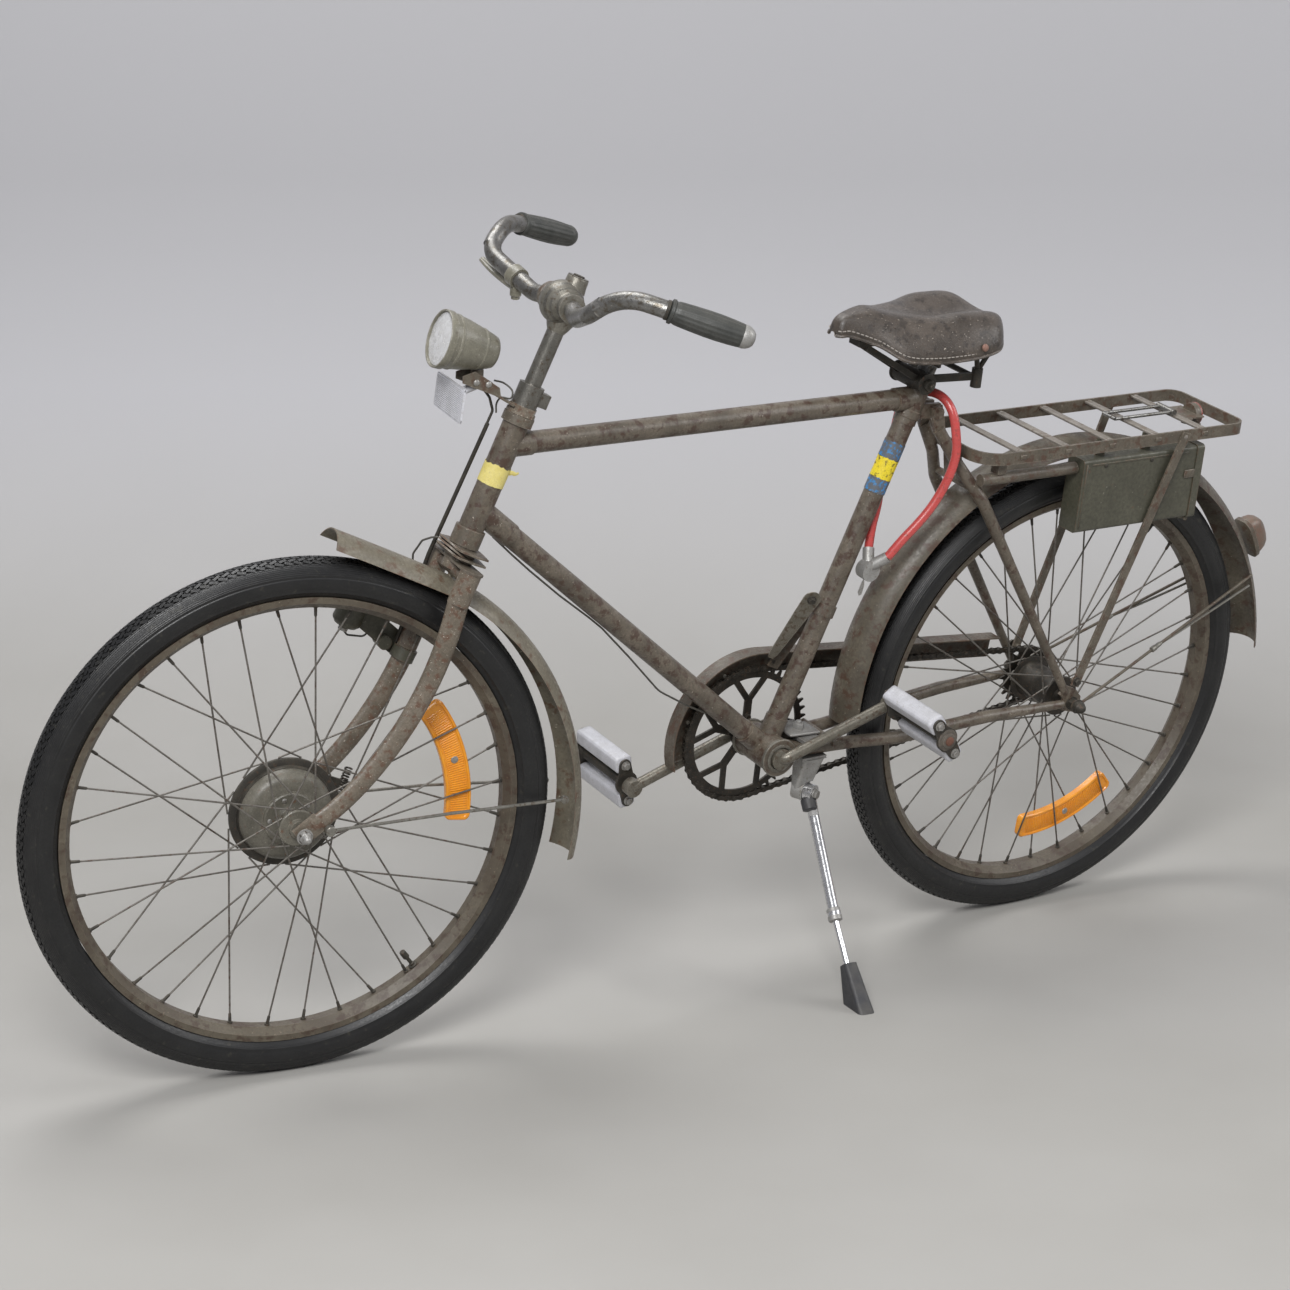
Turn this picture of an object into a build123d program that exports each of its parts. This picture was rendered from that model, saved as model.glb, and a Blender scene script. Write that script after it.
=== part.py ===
"""An army bicycle with carrier, tool box and side stand, parked on that stand.

Everything is drawn upright in the bicycle's own frame: origin on the rear axle, X forward,
Y to the rider's left, Z up. At the end the front fork is turned to its parked angle, the whole
bicycle is leaned over until both tyres and the stand's foot touch the floor, and the origin
moves to the middle of the floor area that it covers.
"""
from build123d import *
from math import atan2, cos, degrees, pi, radians, sin, sqrt, tan
import os

os.makedirs("parts", exist_ok=True)

# ------------------------------------------------------------------ driving dimensions (mm, degrees)
WHEEL_RADIUS = 345.0          # tyre's outside
TYRE_WIDTH = 52.0
TYRE_WALL = 4.0
TYRE_HEIGHT = 47.0            # from the rim's edge to the tread
RIM_OUTER_RADIUS = WHEEL_RADIUS - TYRE_HEIGHT
RIM_DEPTH = 17.0
RIM_INNER_RADIUS = RIM_OUTER_RADIUS - RIM_DEPTH     # where the spoke nipples sit
RIM_WIDTH = 34.0
SPOKE_COUNT = 36
SPOKE_RADIUS = 1.2
WHEELBASE = 1206.0

HEAD_ANGLE = 68.0             # steering axis to the wheelbase
FORK_OFFSET = 70.5            # front axle ahead of the steering axis
STEER_PARKED = -9.4           # fork turned to the rider's right when parked
LEAN_PARKED = 9.6             # lean to the rider's left when parked

BRACKET_X = 491.0             # crank axis ahead of the rear axle
BRACKET_Z = -15.0             # crank axis below the rear axle
BRACKET_RADIUS = 25.0
BRACKET_WIDTH = 70.0
SEAT_ANGLE = 69.4
TOP_TUBE_Z = 471.0
TUBE_RADIUS = 14.2
TUBE_WALL = 1.6
LUG_THICKNESS = 1.6
HEAD_TUBE_RADIUS = 16.5
HEAD_TUBE_BOTTOM = 424.0      # along the steering axis from the foot of the front axle's normal
HEAD_TUBE_TOP = 566.0
STEERER_RADIUS = 12.7
SEAT_TUBE_TOP_Z = 486.0
SEAT_POST_GAP = 0.1
SEAT_POST_RADIUS = TUBE_RADIUS - TUBE_WALL - SEAT_POST_GAP

CHAIN_STAY_RADIUS = 9.0
SEAT_STAY_RADIUS = 8.5
DROPOUT_Y = 59.0
DROPOUT_THICKNESS = 5.0
AXLE_RADIUS = 4.8
FORK_DROPOUT_Y = 50.0

CRANK_LENGTH = 170.0
CRANK_PARKED = 155.5          # left crank's angle from forward, turning up
CHAINRING_TEETH = 48
SPROCKET_TEETH = 20
CHAIN_PITCH = 12.7
CHAIN_LINE = -48.0

MUDGUARD_HALF_WIDTH = 32.0
MUDGUARD_DROP = 19.0          # how far its side edges turn down from the crest
SHEET = 1.6
REFLECTOR_SHARE = 0.16         # half thickness of a spoke reflector for each mm of its hub's half width
REFLECTOR_OUTER = 240.0        # from the axle
REFLECTOR_INNER = 206.0
REFLECTOR_ARC = 43.0

CARRIER_TOP_Z = 406.0
CARRIER_HALF_WIDTH = 79.0
CARRIER_FRONT_X = 238.0
CARRIER_REAR_X = -236.0
CARRIER_BAR_HEIGHT = 17.0
CARRIER_BAR_THICKNESS = 3.0

CLEAR = 0.4                   # running clearance of turning fits

# ------------------------------------------------------------------ worked-out geometry
UP_AXIS = Vector(-cos(radians(HEAD_ANGLE)), 0, sin(radians(HEAD_ANGLE)))
AXIS_NORMAL = Vector(sin(radians(HEAD_ANGLE)), 0, cos(radians(HEAD_ANGLE)))
FRONT_AXLE = Vector(WHEELBASE, 0, 0)
STEER_FOOT = FRONT_AXLE - AXIS_NORMAL * FORK_OFFSET
BRACKET = Vector(BRACKET_X, 0, BRACKET_Z)
TYRE_RADIUS = TYRE_WIDTH / 2
TYRE_CENTRE_RADIUS = WHEEL_RADIUS - TYRE_RADIUS
CHAINRING_RADIUS = CHAINRING_TEETH * CHAIN_PITCH / (2 * pi)
SPROCKET_RADIUS = SPROCKET_TEETH * CHAIN_PITCH / (2 * pi)
SIDES = {"left": 1, "right": -1}


def on_steering(along, ahead=0.0, left=0.0):
    """The point at this distance up the steering axis, ahead of it and to the left of it."""
    return STEER_FOOT + UP_AXIS * along + AXIS_NORMAL * ahead + Vector(0, left, 0)


def fore(back, left, up):
    """The point this far back from the front axle, with the fork straight."""
    return Vector(WHEELBASE - back, left, up)


def seat_tube_point(z):
    """The point of the seat tube's axis at height z."""
    return Vector(BRACKET_X - (z - BRACKET_Z) / tan(radians(SEAT_ANGLE)), 0, z)


def round_wheel(radius, degrees_up, y=0.0, centre=Vector(0, 0, 0)):
    """A point on a circle about an axle, its angle counted upwards from forward."""
    angle = radians(degrees_up)
    return centre + Vector(radius * cos(angle), y, radius * sin(angle))


def toward(a, b, distance):
    """The point at this distance from a towards b."""
    return a + (b - a).normalized() * distance


def bar(a, b, radius, mode=Mode.ADD):
    """A straight round bar from a to b, in the piece being built."""
    with BuildSketch(Plane(origin=a, z_dir=b - a)) as section:
        Circle(radius)
    extrude(section.sketch, amount=(b - a).length, mode=mode)


def cone(a, b, radius_a, radius_b, mode=Mode.ADD):
    """A tapering round bar from a to b."""
    with BuildSketch(Plane(origin=a, z_dir=b - a)) as near:
        Circle(radius_a)
    with BuildSketch(Plane(origin=b, z_dir=b - a)) as far:
        Circle(radius_b)
    loft([near.sketch.face(), far.sketch.face()], mode=mode)


def pipe(points, radius, bends, mode=Mode.ADD):
    """A round bar through points, bent at each inner point with the radii in bends."""
    with BuildLine() as path:
        FilletPolyline(*points, radius=bends)
    route = path.wires()[0]
    with BuildSketch(Plane(origin=route @ 0, z_dir=route % 0)) as section:
        Circle(radius)
    sweep(section.sketch, path=route, mode=mode)


def flat_bar(a, b, width, thickness, face_normal, mode=Mode.ADD):
    """A straight flat bar from a to b; face_normal points out of its wide side."""
    along = b - a
    with BuildSketch(Plane(origin=a, x_dir=along.cross(face_normal), z_dir=along)) as section:
        Rectangle(width, thickness)
    extrude(section.sketch, amount=along.length, mode=mode)


def hexagon(a, b, across_flats, mode=Mode.ADD):
    """A hexagon nut or bolt head from a to b."""
    with BuildSketch(Plane(origin=a, z_dir=b - a)) as section:
        RegularPolygon(across_flats / 2, 6, major_radius=False)
    extrude(section.sketch, amount=(b - a).length, mode=mode)


PIECES = {}


def finish(piece, node, turns_with_fork=False):
    """Label a finished piece and note how it is placed when the bicycle is parked."""
    piece.part.label = node
    PIECES[node] = (piece, turns_with_fork)


# ================================================================== frame
HEAD_BOTTOM = on_steering(HEAD_TUBE_BOTTOM)
HEAD_TOP = on_steering(HEAD_TUBE_TOP)
TOP_TUBE_FRONT = on_steering((TOP_TUBE_Z - STEER_FOOT.Z) / UP_AXIS.Z)
TOP_TUBE_REAR = seat_tube_point(TOP_TUBE_Z)
DOWN_TUBE_FRONT = on_steering(HEAD_TUBE_BOTTOM + 25)
SEAT_TOP = seat_tube_point(SEAT_TUBE_TOP_Z)
LUG_RADIUS = TUBE_RADIUS + LUG_THICKNESS
TOP_TUBE_LUG_END = toward(TOP_TUBE_FRONT, TOP_TUBE_REAR, 34)
DOWN_TUBE_LUG_END = toward(DOWN_TUBE_FRONT, BRACKET, 62)
TOP_TUBE_SEAT_END = toward(TOP_TUBE_REAR, TOP_TUBE_FRONT, 34)
SEAT_LUG_BOTTOM = seat_tube_point(TOP_TUBE_Z - 34)
SEAT_TUBE_BRACKET_END = toward(BRACKET, SEAT_TOP, BRACKET_RADIUS + 22)
DOWN_TUBE_BRACKET_END = toward(BRACKET, DOWN_TUBE_FRONT, BRACKET_RADIUS + 24)

with BuildPart() as head_tube:
    bar(HEAD_BOTTOM, HEAD_TOP, HEAD_TUBE_RADIUS)
    bar(TOP_TUBE_FRONT, TOP_TUBE_LUG_END, LUG_RADIUS)
    bar(DOWN_TUBE_FRONT, DOWN_TUBE_LUG_END, LUG_RADIUS)
    bar(HEAD_BOTTOM, HEAD_TOP, STEERER_RADIUS + 1.5, Mode.SUBTRACT)
finish(head_tube, "head_tube")

with BuildPart() as main_tubes:
    for start, end in ((TOP_TUBE_LUG_END, TOP_TUBE_SEAT_END), (DOWN_TUBE_LUG_END, DOWN_TUBE_BRACKET_END),
                       (SEAT_TUBE_BRACKET_END, SEAT_LUG_BOTTOM)):
        bar(start, end, TUBE_RADIUS)
        bar(start, end, TUBE_RADIUS - TUBE_WALL, Mode.SUBTRACT)
finish(main_tubes, "main_tubes")

# seat lug: holds the top tube and the seat post, with ears for the bolt of the seat stays' caps
BINDER = Vector(279, 0, 452)
with BuildPart() as seat_lug:
    bar(SEAT_LUG_BOTTOM, SEAT_TOP, LUG_RADIUS)
    bar(TOP_TUBE_REAR, TOP_TUBE_SEAT_END, LUG_RADIUS)
    for side in SIDES.values():
        flat_bar(seat_tube_point(BINDER.Z + 2) + Vector(-6, 7.5 * side, 0),
                 BINDER + Vector(-9, 7.5 * side, 0), 20, 6, Vector(0, 1, 0))
    bar(SEAT_LUG_BOTTOM, SEAT_TOP, SEAT_POST_RADIUS + 0.1, Mode.SUBTRACT)
    bar(BINDER - Vector(0, 20, 0), BINDER + Vector(0, 20, 0), 4)
    bar(BINDER + Vector(0, 16.8, 0), BINDER + Vector(0, 21, 0), 8.5)
    hexagon(BINDER - Vector(0, 16.8, 0), BINDER - Vector(0, 22.5, 0), 13)
finish(seat_lug, "seat_lug")

# bottom bracket shell with short sockets for the down tube and the seat tube
HALF_SHELL = Vector(0, BRACKET_WIDTH / 2, 0)
YOKE = BRACKET + Vector(-BRACKET_RADIUS - 16, 0, 1)
with BuildPart() as bottom_bracket:
    bar(BRACKET - HALF_SHELL, BRACKET + HALF_SHELL, BRACKET_RADIUS)
    bar(BRACKET, SEAT_TUBE_BRACKET_END, LUG_RADIUS)
    bar(BRACKET, DOWN_TUBE_BRACKET_END, LUG_RADIUS)
    with BuildSketch(Plane.XY.offset(YOKE.Z)) as yoke_plan:
        with BuildLine():
            Polyline((BRACKET_X, -30), (BRACKET_X, 30), (YOKE.X, 33), (YOKE.X, 19), (YOKE.X + 14, 0),
                     (YOKE.X, -19), (YOKE.X, -33), close=True)
        make_face()
    extrude(yoke_plan.sketch, amount=9, both=True)
    for side in SIDES.values():
        shell_end = BRACKET + HALF_SHELL * side
        bar(shell_end, shell_end + Vector(0, 3.5, 0) * side, BRACKET_RADIUS + 0.8)
    bar(BRACKET - HALF_SHELL, BRACKET + HALF_SHELL, BRACKET_RADIUS - 3.5, Mode.SUBTRACT)
    bar(BRACKET - HALF_SHELL * 1.2, BRACKET + HALF_SHELL * 1.2, 17.5, Mode.SUBTRACT)
finish(bottom_bracket, "bottom_bracket")

# stays: from the bracket's yoke and the seat lug back to the dropouts, thinner at their ends
STAY_END_Y = DROPOUT_Y + 1.5
STAY_END_RADIUS = 6.0
CHAIN_STAY_BEND = Vector(150, 54, -1)
with BuildPart() as chain_stays:
    for side in SIDES.values():
        taper = Vector(CHAIN_STAY_BEND.X, CHAIN_STAY_BEND.Y * side, CHAIN_STAY_BEND.Z)
        pipe([(YOKE.X, 26 * side, YOKE.Z), (370, 32 * side, -13), (296, 46 * side, -12), taper],
             CHAIN_STAY_RADIUS, [100, 100])
        with Locations(taper):
            Sphere(CHAIN_STAY_RADIUS)
        cone(taper, Vector(16, STAY_END_Y * side, 0), CHAIN_STAY_RADIUS, STAY_END_RADIUS)
    bar(Vector(399, -40, -8), Vector(399, 40, -8), 5)
    add(bottom_bracket.part, mode=Mode.SUBTRACT)
finish(chain_stays, "chain_stays")

with BuildPart() as seat_stays:
    for side in SIDES.values():
        top = BINDER + Vector(-5, 17 * side, -24)
        low_bend = Vector(211, 54 * side, 330)
        foot = Vector(16, STAY_END_Y * side, 21)
        taper = toward(low_bend, foot, 22)
        pipe([top, (243, 27 * side, 380), low_bend, taper], SEAT_STAY_RADIUS, [60, 40])
        cone(taper, foot, SEAT_STAY_RADIUS, STAY_END_RADIUS)
        flat_bar(top + Vector(-3, 0, -6), BINDER + Vector(1, 13.7 * side, 8), 17, 6, Vector(0, 1, 0))
    add(seat_lug.part, mode=Mode.SUBTRACT)
finish(seat_stays, "seat_stays")

with BuildPart() as rear_dropouts:
    for side in SIDES.values():
        with BuildSketch(Plane.XZ.offset(-DROPOUT_Y * side)) as plate:
            with BuildLine():
                Polyline((16, -9), (16, 9), (24, 16), (12, 28), (-2, 22), (-16, 8), (-16, -10), (0, -14),
                         close=True)
            make_face()
            Circle(AXLE_RADIUS + 0.1, mode=Mode.SUBTRACT)
        extrude(plate.sketch, amount=DROPOUT_THICKNESS / 2, both=True)
    add(chain_stays.part, mode=Mode.SUBTRACT)
    add(seat_stays.part, mode=Mode.SUBTRACT)
finish(rear_dropouts, "rear_dropouts")

with BuildPart() as rear_axle:
    bar(Vector(0, -76, 0), Vector(0, 74, 0), AXLE_RADIUS)
    for side in SIDES.values():
        outside = DROPOUT_Y + DROPOUT_THICKNESS / 2
        bar(Vector(0, outside * side, 0), Vector(0, (outside + 2) * side, 0), 10)
        hexagon(Vector(0, (outside + 2) * side, 0), Vector(0, (outside + 10) * side, 0), 15)
        inside = DROPOUT_Y - DROPOUT_THICKNESS / 2
        bar(Vector(0, inside * side, 0), Vector(0, (inside - 4) * side, 0), 9)
finish(rear_axle, "rear_axle")

# ================================================================== wheels


def wheel_pieces(centre, prefix, fork, hub_radius, hub_half, flange_radii, reflector_at):
    """Tyre, rim, spokes, hub and spoke reflector of one wheel about the axle at centre.

    reflector_at is the angle of the reflector's middle, from straight ahead and up."""
    at_centre = Axis(centre, (0, 1, 0))
    middle = Plane(origin=centre, x_dir=(1, 0, 0), z_dir=(0, -1, 0))
    across = Plane(origin=centre, x_dir=(0, 1, 0), z_dir=(1, 0, 0))

    with BuildPart() as tyre:
        with BuildSketch(across) as section:
            with Locations((0, TYRE_CENTRE_RADIUS)):
                Circle(TYRE_RADIUS)
                Circle(TYRE_RADIUS - TYRE_WALL, mode=Mode.SUBTRACT)
            with Locations((0, RIM_OUTER_RADIUS - 10)):
                Rectangle(TYRE_WIDTH, 20, mode=Mode.SUBTRACT)
        revolve(section.sketch, axis=at_centre)
    finish(tyre, prefix + "_tyre", fork)

    with BuildPart() as rim:
        with BuildSketch(across) as section:
            with BuildLine():
                edge = RIM_WIDTH / 2
                top = RIM_OUTER_RADIUS
                Polyline((-edge, top), (-edge, top - 8), (-7, RIM_INNER_RADIUS + 1),
                         (7, RIM_INNER_RADIUS + 1), (edge, top - 8), (edge, top), (8, top), (8, top - 2),
                         (edge - 2, top - 2), (edge - 2, top - 7), (6, RIM_INNER_RADIUS + 3),
                         (-6, RIM_INNER_RADIUS + 3), (2 - edge, top - 7), (2 - edge, top - 2),
                         (-8, top - 2), (-8, top), close=True)
            make_face()
        revolve(section.sketch, axis=at_centre)
    finish(rim, prefix + "_rim", fork)

    with BuildPart() as hub:
        for side in SIDES.values():
            inner = centre + Vector(0, (hub_half - 3) * side, 0)
            outer = centre + Vector(0, hub_half * side, 0)
            bar(inner, outer, flange_radii[side])
            bar(outer, centre + Vector(0, (hub_half + 6) * side, 0), 13)
        bar(centre - Vector(0, hub_half, 0), centre + Vector(0, hub_half, 0), hub_radius)
        if fork:
            drum_back = centre - Vector(0, hub_half, 0)
            bar(drum_back, drum_back + Vector(0, DRUM_DEPTH, 0), DRUM_RADIUS - DRUM_WALL)
        bar(centre - Vector(0, 80, 0), centre + Vector(0, 80, 0), AXLE_RADIUS + CLEAR, Mode.SUBTRACT)
    finish(hub, prefix + "_hub", fork)

    with BuildPart() as spokes:
        for number in range(SPOKE_COUNT):
            side = 1 if number % 2 else -1
            lean = 1 if number % 4 < 2 else -1
            rim_angle = 360 * (number + 0.5) / SPOKE_COUNT
            hole = flange_radii[side] + SPOKE_RADIUS
            foot = round_wheel(hole, rim_angle + 62 * lean, (hub_half - 1.5) * side, centre)
            tip = round_wheel(RIM_INNER_RADIUS + 0.4, rim_angle, 1.5 * side, centre)
            bar(foot, tip, SPOKE_RADIUS)
    finish(spokes, prefix + "_spokes", fork)

    with BuildPart() as reflector:
        with BuildSketch(middle) as strip:
            begin = reflector_at - REFLECTOR_ARC / 2
            with BuildLine():
                outside = CenterArc((0, 0), REFLECTOR_OUTER, begin, REFLECTOR_ARC)
                inside = CenterArc((0, 0), REFLECTOR_INNER, begin, REFLECTOR_ARC)
                Line(outside @ 0, inside @ 0)
                Line(outside @ 1, inside @ 1)
            make_face()
            fillet(strip.vertices(), 9)
        extrude(strip.sketch, amount=REFLECTOR_SHARE * hub_half, both=True)
    finish(reflector, prefix + "_wheel_reflector", fork)


REAR_HUB_HALF = 36.0
FRONT_HUB_HALF = 30.0
DRUM_RADIUS = 72.0            # the front brake drum's flange, on the right
DRUM_WALL = 10.0              # its shell is this much smaller than its flange
DRUM_DEPTH = 24.0
wheel_pieces(Vector(0, 0, 0), "rear", False, 26.0, REAR_HUB_HALF, {1: 30.0, -1: 34.0}, 251.0)
wheel_pieces(FRONT_AXLE, "front", True, 14.0, FRONT_HUB_HALF, {1: 24.0, -1: DRUM_RADIUS}, 164.5)

# ================================================================== drive
LEFT_CRANK = Vector(cos(radians(CRANK_PARKED)), 0, sin(radians(CRANK_PARKED)))
PEDAL_EYE = {1: BRACKET + LEFT_CRANK * CRANK_LENGTH + Vector(0, 69, 0),
             -1: BRACKET - LEFT_CRANK * CRANK_LENGTH - Vector(0, 82, 0)}
ELBOW = {1: BRACKET + Vector(0, 46, 0), -1: BRACKET - Vector(0, 60, 0)}
CRANK_BAR_RADIUS = 8.0
PEDAL_LENGTH = 114.0
PEDAL_GAP = 6.0
PEDAL_BLOCKS = 55.0            # between the middles of a pedal's two blocks
PEDAL_PARKED = {1: 54.0, -1: 80.0}     # each pedal's pitch from level

with BuildPart() as crank:
    pipe([PEDAL_EYE[1], ELBOW[1], ELBOW[-1], PEDAL_EYE[-1]], CRANK_BAR_RADIUS, [14, 14])
    for side in SIDES.values():
        out = Vector(0, side, 0)
        bar(PEDAL_EYE[side] - out * 7, PEDAL_EYE[side] + out * 7, 12.5)
        bar(BRACKET + out * 20, BRACKET + out * 37, 15)
        bar(PEDAL_EYE[side], PEDAL_EYE[side] + out * (8 + PEDAL_GAP + PEDAL_LENGTH - 3), 5)
        bar(PEDAL_EYE[side], PEDAL_EYE[side] + out * (8 + PEDAL_GAP - 1), 7)
finish(crank, "crank")

CHAIN_PLANE = Plane(origin=(0, CHAIN_LINE, 0), x_dir=(1, 0, 0), z_dir=(0, -1, 0))
RING_PLANE = Plane(origin=BRACKET + Vector(0, CHAIN_LINE, 0), x_dir=(1, 0, 0), z_dir=(0, -1, 0))
with BuildPart() as chainring:
    with BuildSketch(RING_PLANE) as blank:
        Circle(CHAINRING_RADIUS - 4)
        Circle(CHAINRING_RADIUS - 13, mode=Mode.SUBTRACT)
        with PolarLocations(CHAINRING_RADIUS - 5, CHAINRING_TEETH):
            with Locations((4.5, 0)):
                Trapezoid(7, 9, 74, rotation=-90)
        Circle(22)
        for number in range(5):
            turn = 72 * number + 18
            with Locations((36 * cos(radians(turn)), 36 * sin(radians(turn)))):
                Rectangle(36, 12, rotation=turn)
            for spread in (-1, 1):
                start = Vector(50, 0).rotate(Axis.Z, turn)
                end = Vector(CHAINRING_RADIUS - 9, 0).rotate(Axis.Z, turn + 17 * spread)
                middle = (start + end) / 2
                with Locations((middle.X, middle.Y)):
                    Rectangle((end - start).length + 6, 8.5,
                              rotation=degrees(atan2(end.Y - start.Y, end.X - start.X)))
    extrude(blank.sketch, amount=1.5, both=True)
    bar(BRACKET + Vector(0, CHAIN_LINE + 1.5, 0), BRACKET + Vector(0, -41, 0), 20)
    add(crank.part, mode=Mode.SUBTRACT)
finish(chainring, "chainring")

with BuildPart() as sprocket:
    with BuildSketch(CHAIN_PLANE) as blank:
        Circle(SPROCKET_RADIUS - 4)
        with PolarLocations(SPROCKET_RADIUS - 5, SPROCKET_TEETH):
            with Locations((4.5, 0)):
                Trapezoid(7, 9, 74, rotation=-90)
    extrude(blank.sketch, amount=1.5, both=True)
    bar(Vector(0, -43, 0), Vector(0, CHAIN_LINE, 0), 18)
    bar(Vector(0, -40, 0), Vector(0, -60, 0), AXLE_RADIUS + CLEAR, Mode.SUBTRACT)
finish(sprocket, "rear_sprocket")

CHAIN_INSIDE = 4.6            # from the pitch line out to the links' outer web
with BuildPart() as chain:
    with BuildSketch(CHAIN_PLANE) as outside:
        Circle(SPROCKET_RADIUS + 6)
        with Locations((BRACKET_X, BRACKET_Z)):
            Circle(CHAINRING_RADIUS + 6)
        make_hull()
    with BuildSketch(CHAIN_PLANE) as inside:
        Circle(SPROCKET_RADIUS - 4)
        with Locations((BRACKET_X, BRACKET_Z)):
            Circle(CHAINRING_RADIUS - 4)
        make_hull()
    with BuildSketch(CHAIN_PLANE) as groove:
        Circle(SPROCKET_RADIUS + CHAIN_INSIDE)
        with Locations((BRACKET_X, BRACKET_Z)):
            Circle(CHAINRING_RADIUS + CHAIN_INSIDE)
        make_hull()
    extrude(outside.sketch, amount=4, both=True)
    extrude(inside.sketch, amount=5, both=True, mode=Mode.SUBTRACT)
    extrude(groove.sketch, amount=2.6, both=True, mode=Mode.SUBTRACT)
finish(chain, "chain")

# chain guard: an outer plate with a flange over the chain, open inwards and below
GUARD_RADIUS = CHAINRING_RADIUS + 27
GUARD_DEPTH = 37.0
GUARD_HALF = 11.5
GUARD_SLOPE = 5.2             # its straight run comes down towards the rear axle
GUARD_RUN = 418.0
GUARD_NOSE = -16.0


def guard_outline(top, depth, extra):
    """The guard's side view: an arc over the chainring and a straight run behind it."""
    centre = Vector(BRACKET_X, BRACKET_Z)
    crest = centre + Vector(0, top).rotate(Axis.Z, GUARD_SLOPE)
    root = centre + Vector(0, top - depth).rotate(Axis.Z, GUARD_SLOPE)
    back = Vector(-GUARD_RUN - extra, 0).rotate(Axis.Z, GUARD_SLOPE)
    start = GUARD_NOSE - extra
    sweep_angle = 90 + GUARD_SLOPE - start
    with BuildSketch(CHAIN_PLANE) as outline:
        with BuildLine():
            CenterArc((centre.X, centre.Y), top, start, sweep_angle)
            Polyline(crest, crest + back, root + back, root)
            CenterArc((centre.X, centre.Y), top - depth, start, sweep_angle)
            Line(centre + Vector(top, 0).rotate(Axis.Z, start),
                 centre + Vector(top - depth, 0).rotate(Axis.Z, start))
        make_face()
    return outline.sketch


with BuildPart() as chain_guard:
    extrude(guard_outline(GUARD_RADIUS, GUARD_DEPTH, 0), amount=GUARD_HALF, both=True)
    hollow = guard_outline(GUARD_RADIUS - SHEET, GUARD_DEPTH + 3, 2)
    extrude(hollow, amount=GUARD_HALF - SHEET, mode=Mode.SUBTRACT)
    extrude(hollow, amount=-GUARD_HALF - 2, mode=Mode.SUBTRACT)
    # bracket up to the seat tube
    flat_bar(Vector(463, CHAIN_LINE + GUARD_HALF - 3.5, 84), Vector(418, -17.2, 180), 18, 3, Vector(0, 1, 0))
    band = seat_tube_point(180)
    bar(toward(band, SEAT_TOP, -8), toward(band, SEAT_TOP, 8), TUBE_RADIUS + 2.2)
    bar(toward(band, SEAT_TOP, -9), toward(band, SEAT_TOP, 9), TUBE_RADIUS, Mode.SUBTRACT)
finish(chain_guard, "chain_guard")

for name, side in SIDES.items():
    out = Vector(0, side, 0)
    inner = PEDAL_EYE[side] + out * (8 + PEDAL_GAP)
    across = Vector(cos(radians(PEDAL_PARKED[side])), 0, sin(radians(PEDAL_PARKED[side])))
    with BuildPart() as pedal:
        bar(inner, inner + out * PEDAL_LENGTH, 9)
        for step in (0, PEDAL_LENGTH - 3):
            bar(inner + out * step, inner + out * (step + 3), 17)
            with BuildSketch(Plane(origin=inner + out * step, x_dir=across, z_dir=out)) as plate:
                SlotCenterToCenter(PEDAL_BLOCKS, 18)
            extrude(plate.sketch, amount=3)
        for half in (-PEDAL_BLOCKS / 2, PEDAL_BLOCKS / 2):
            block_end = inner + across * half + out * 3
            with BuildSketch(Plane(origin=block_end, x_dir=across, z_dir=out)) as block:
                RectangleRounded(23, 25, 6)
            extrude(block.sketch, amount=PEDAL_LENGTH - 6)
        bar(inner - out, inner + out * (PEDAL_LENGTH - 2), 5 + CLEAR, Mode.SUBTRACT)
    finish(pedal, name + "_pedal")

# ================================================================== mudguards


def mudguard(points, tip, across):
    """A crowned sheet swept along an arc through three points and on to its tip.

    across points to the side from which the wheel lies on the left of the way travelled."""
    with BuildLine() as path:
        crown = ThreePointArc(*points)
        TangentArc(crown @ 1, tip, tangent=crown % 1)
    route = path.wires()[0]
    edge = MUDGUARD_HALF_WIDTH
    with BuildSketch(Plane(origin=route @ 0, x_dir=across, z_dir=route % 0)) as section:
        with BuildLine():
            ThreePointArc((edge, MUDGUARD_DROP), (0, 0), (-edge, MUDGUARD_DROP))
            Line((-edge, MUDGUARD_DROP), (SHEET - edge, MUDGUARD_DROP))
            ThreePointArc((SHEET - edge, MUDGUARD_DROP), (0, SHEET), (edge - SHEET, MUDGUARD_DROP))
            Line((edge - SHEET, MUDGUARD_DROP), (edge, MUDGUARD_DROP))
        make_face()
    sweep(section.sketch, path=route)


with BuildPart() as rear_mudguard:
    mudguard([round_wheel(377, 1), round_wheel(390, 45), round_wheel(386, 95)],
             round_wheel(396, 177), (0, 1, 0))
finish(rear_mudguard, "rear_mudguard")
# mudguard stays: a wire on each side from the axle to the mudguard's edge
REAR_STAY_TOP = round_wheel(369.4, 157.5)
with BuildPart() as rear_mudguard_stays:
    for side in SIDES.values():
        bar(Vector(-5, side * 73.4, 2), REAR_STAY_TOP + Vector(0, side * 34, 0), 2.2)
        bar(Vector(0, side * 71.6, 0), Vector(0, side * 75, 0), 9)
    add(rear_axle.part, mode=Mode.SUBTRACT)
finish(rear_mudguard_stays, "rear_mudguard_stays")

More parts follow.
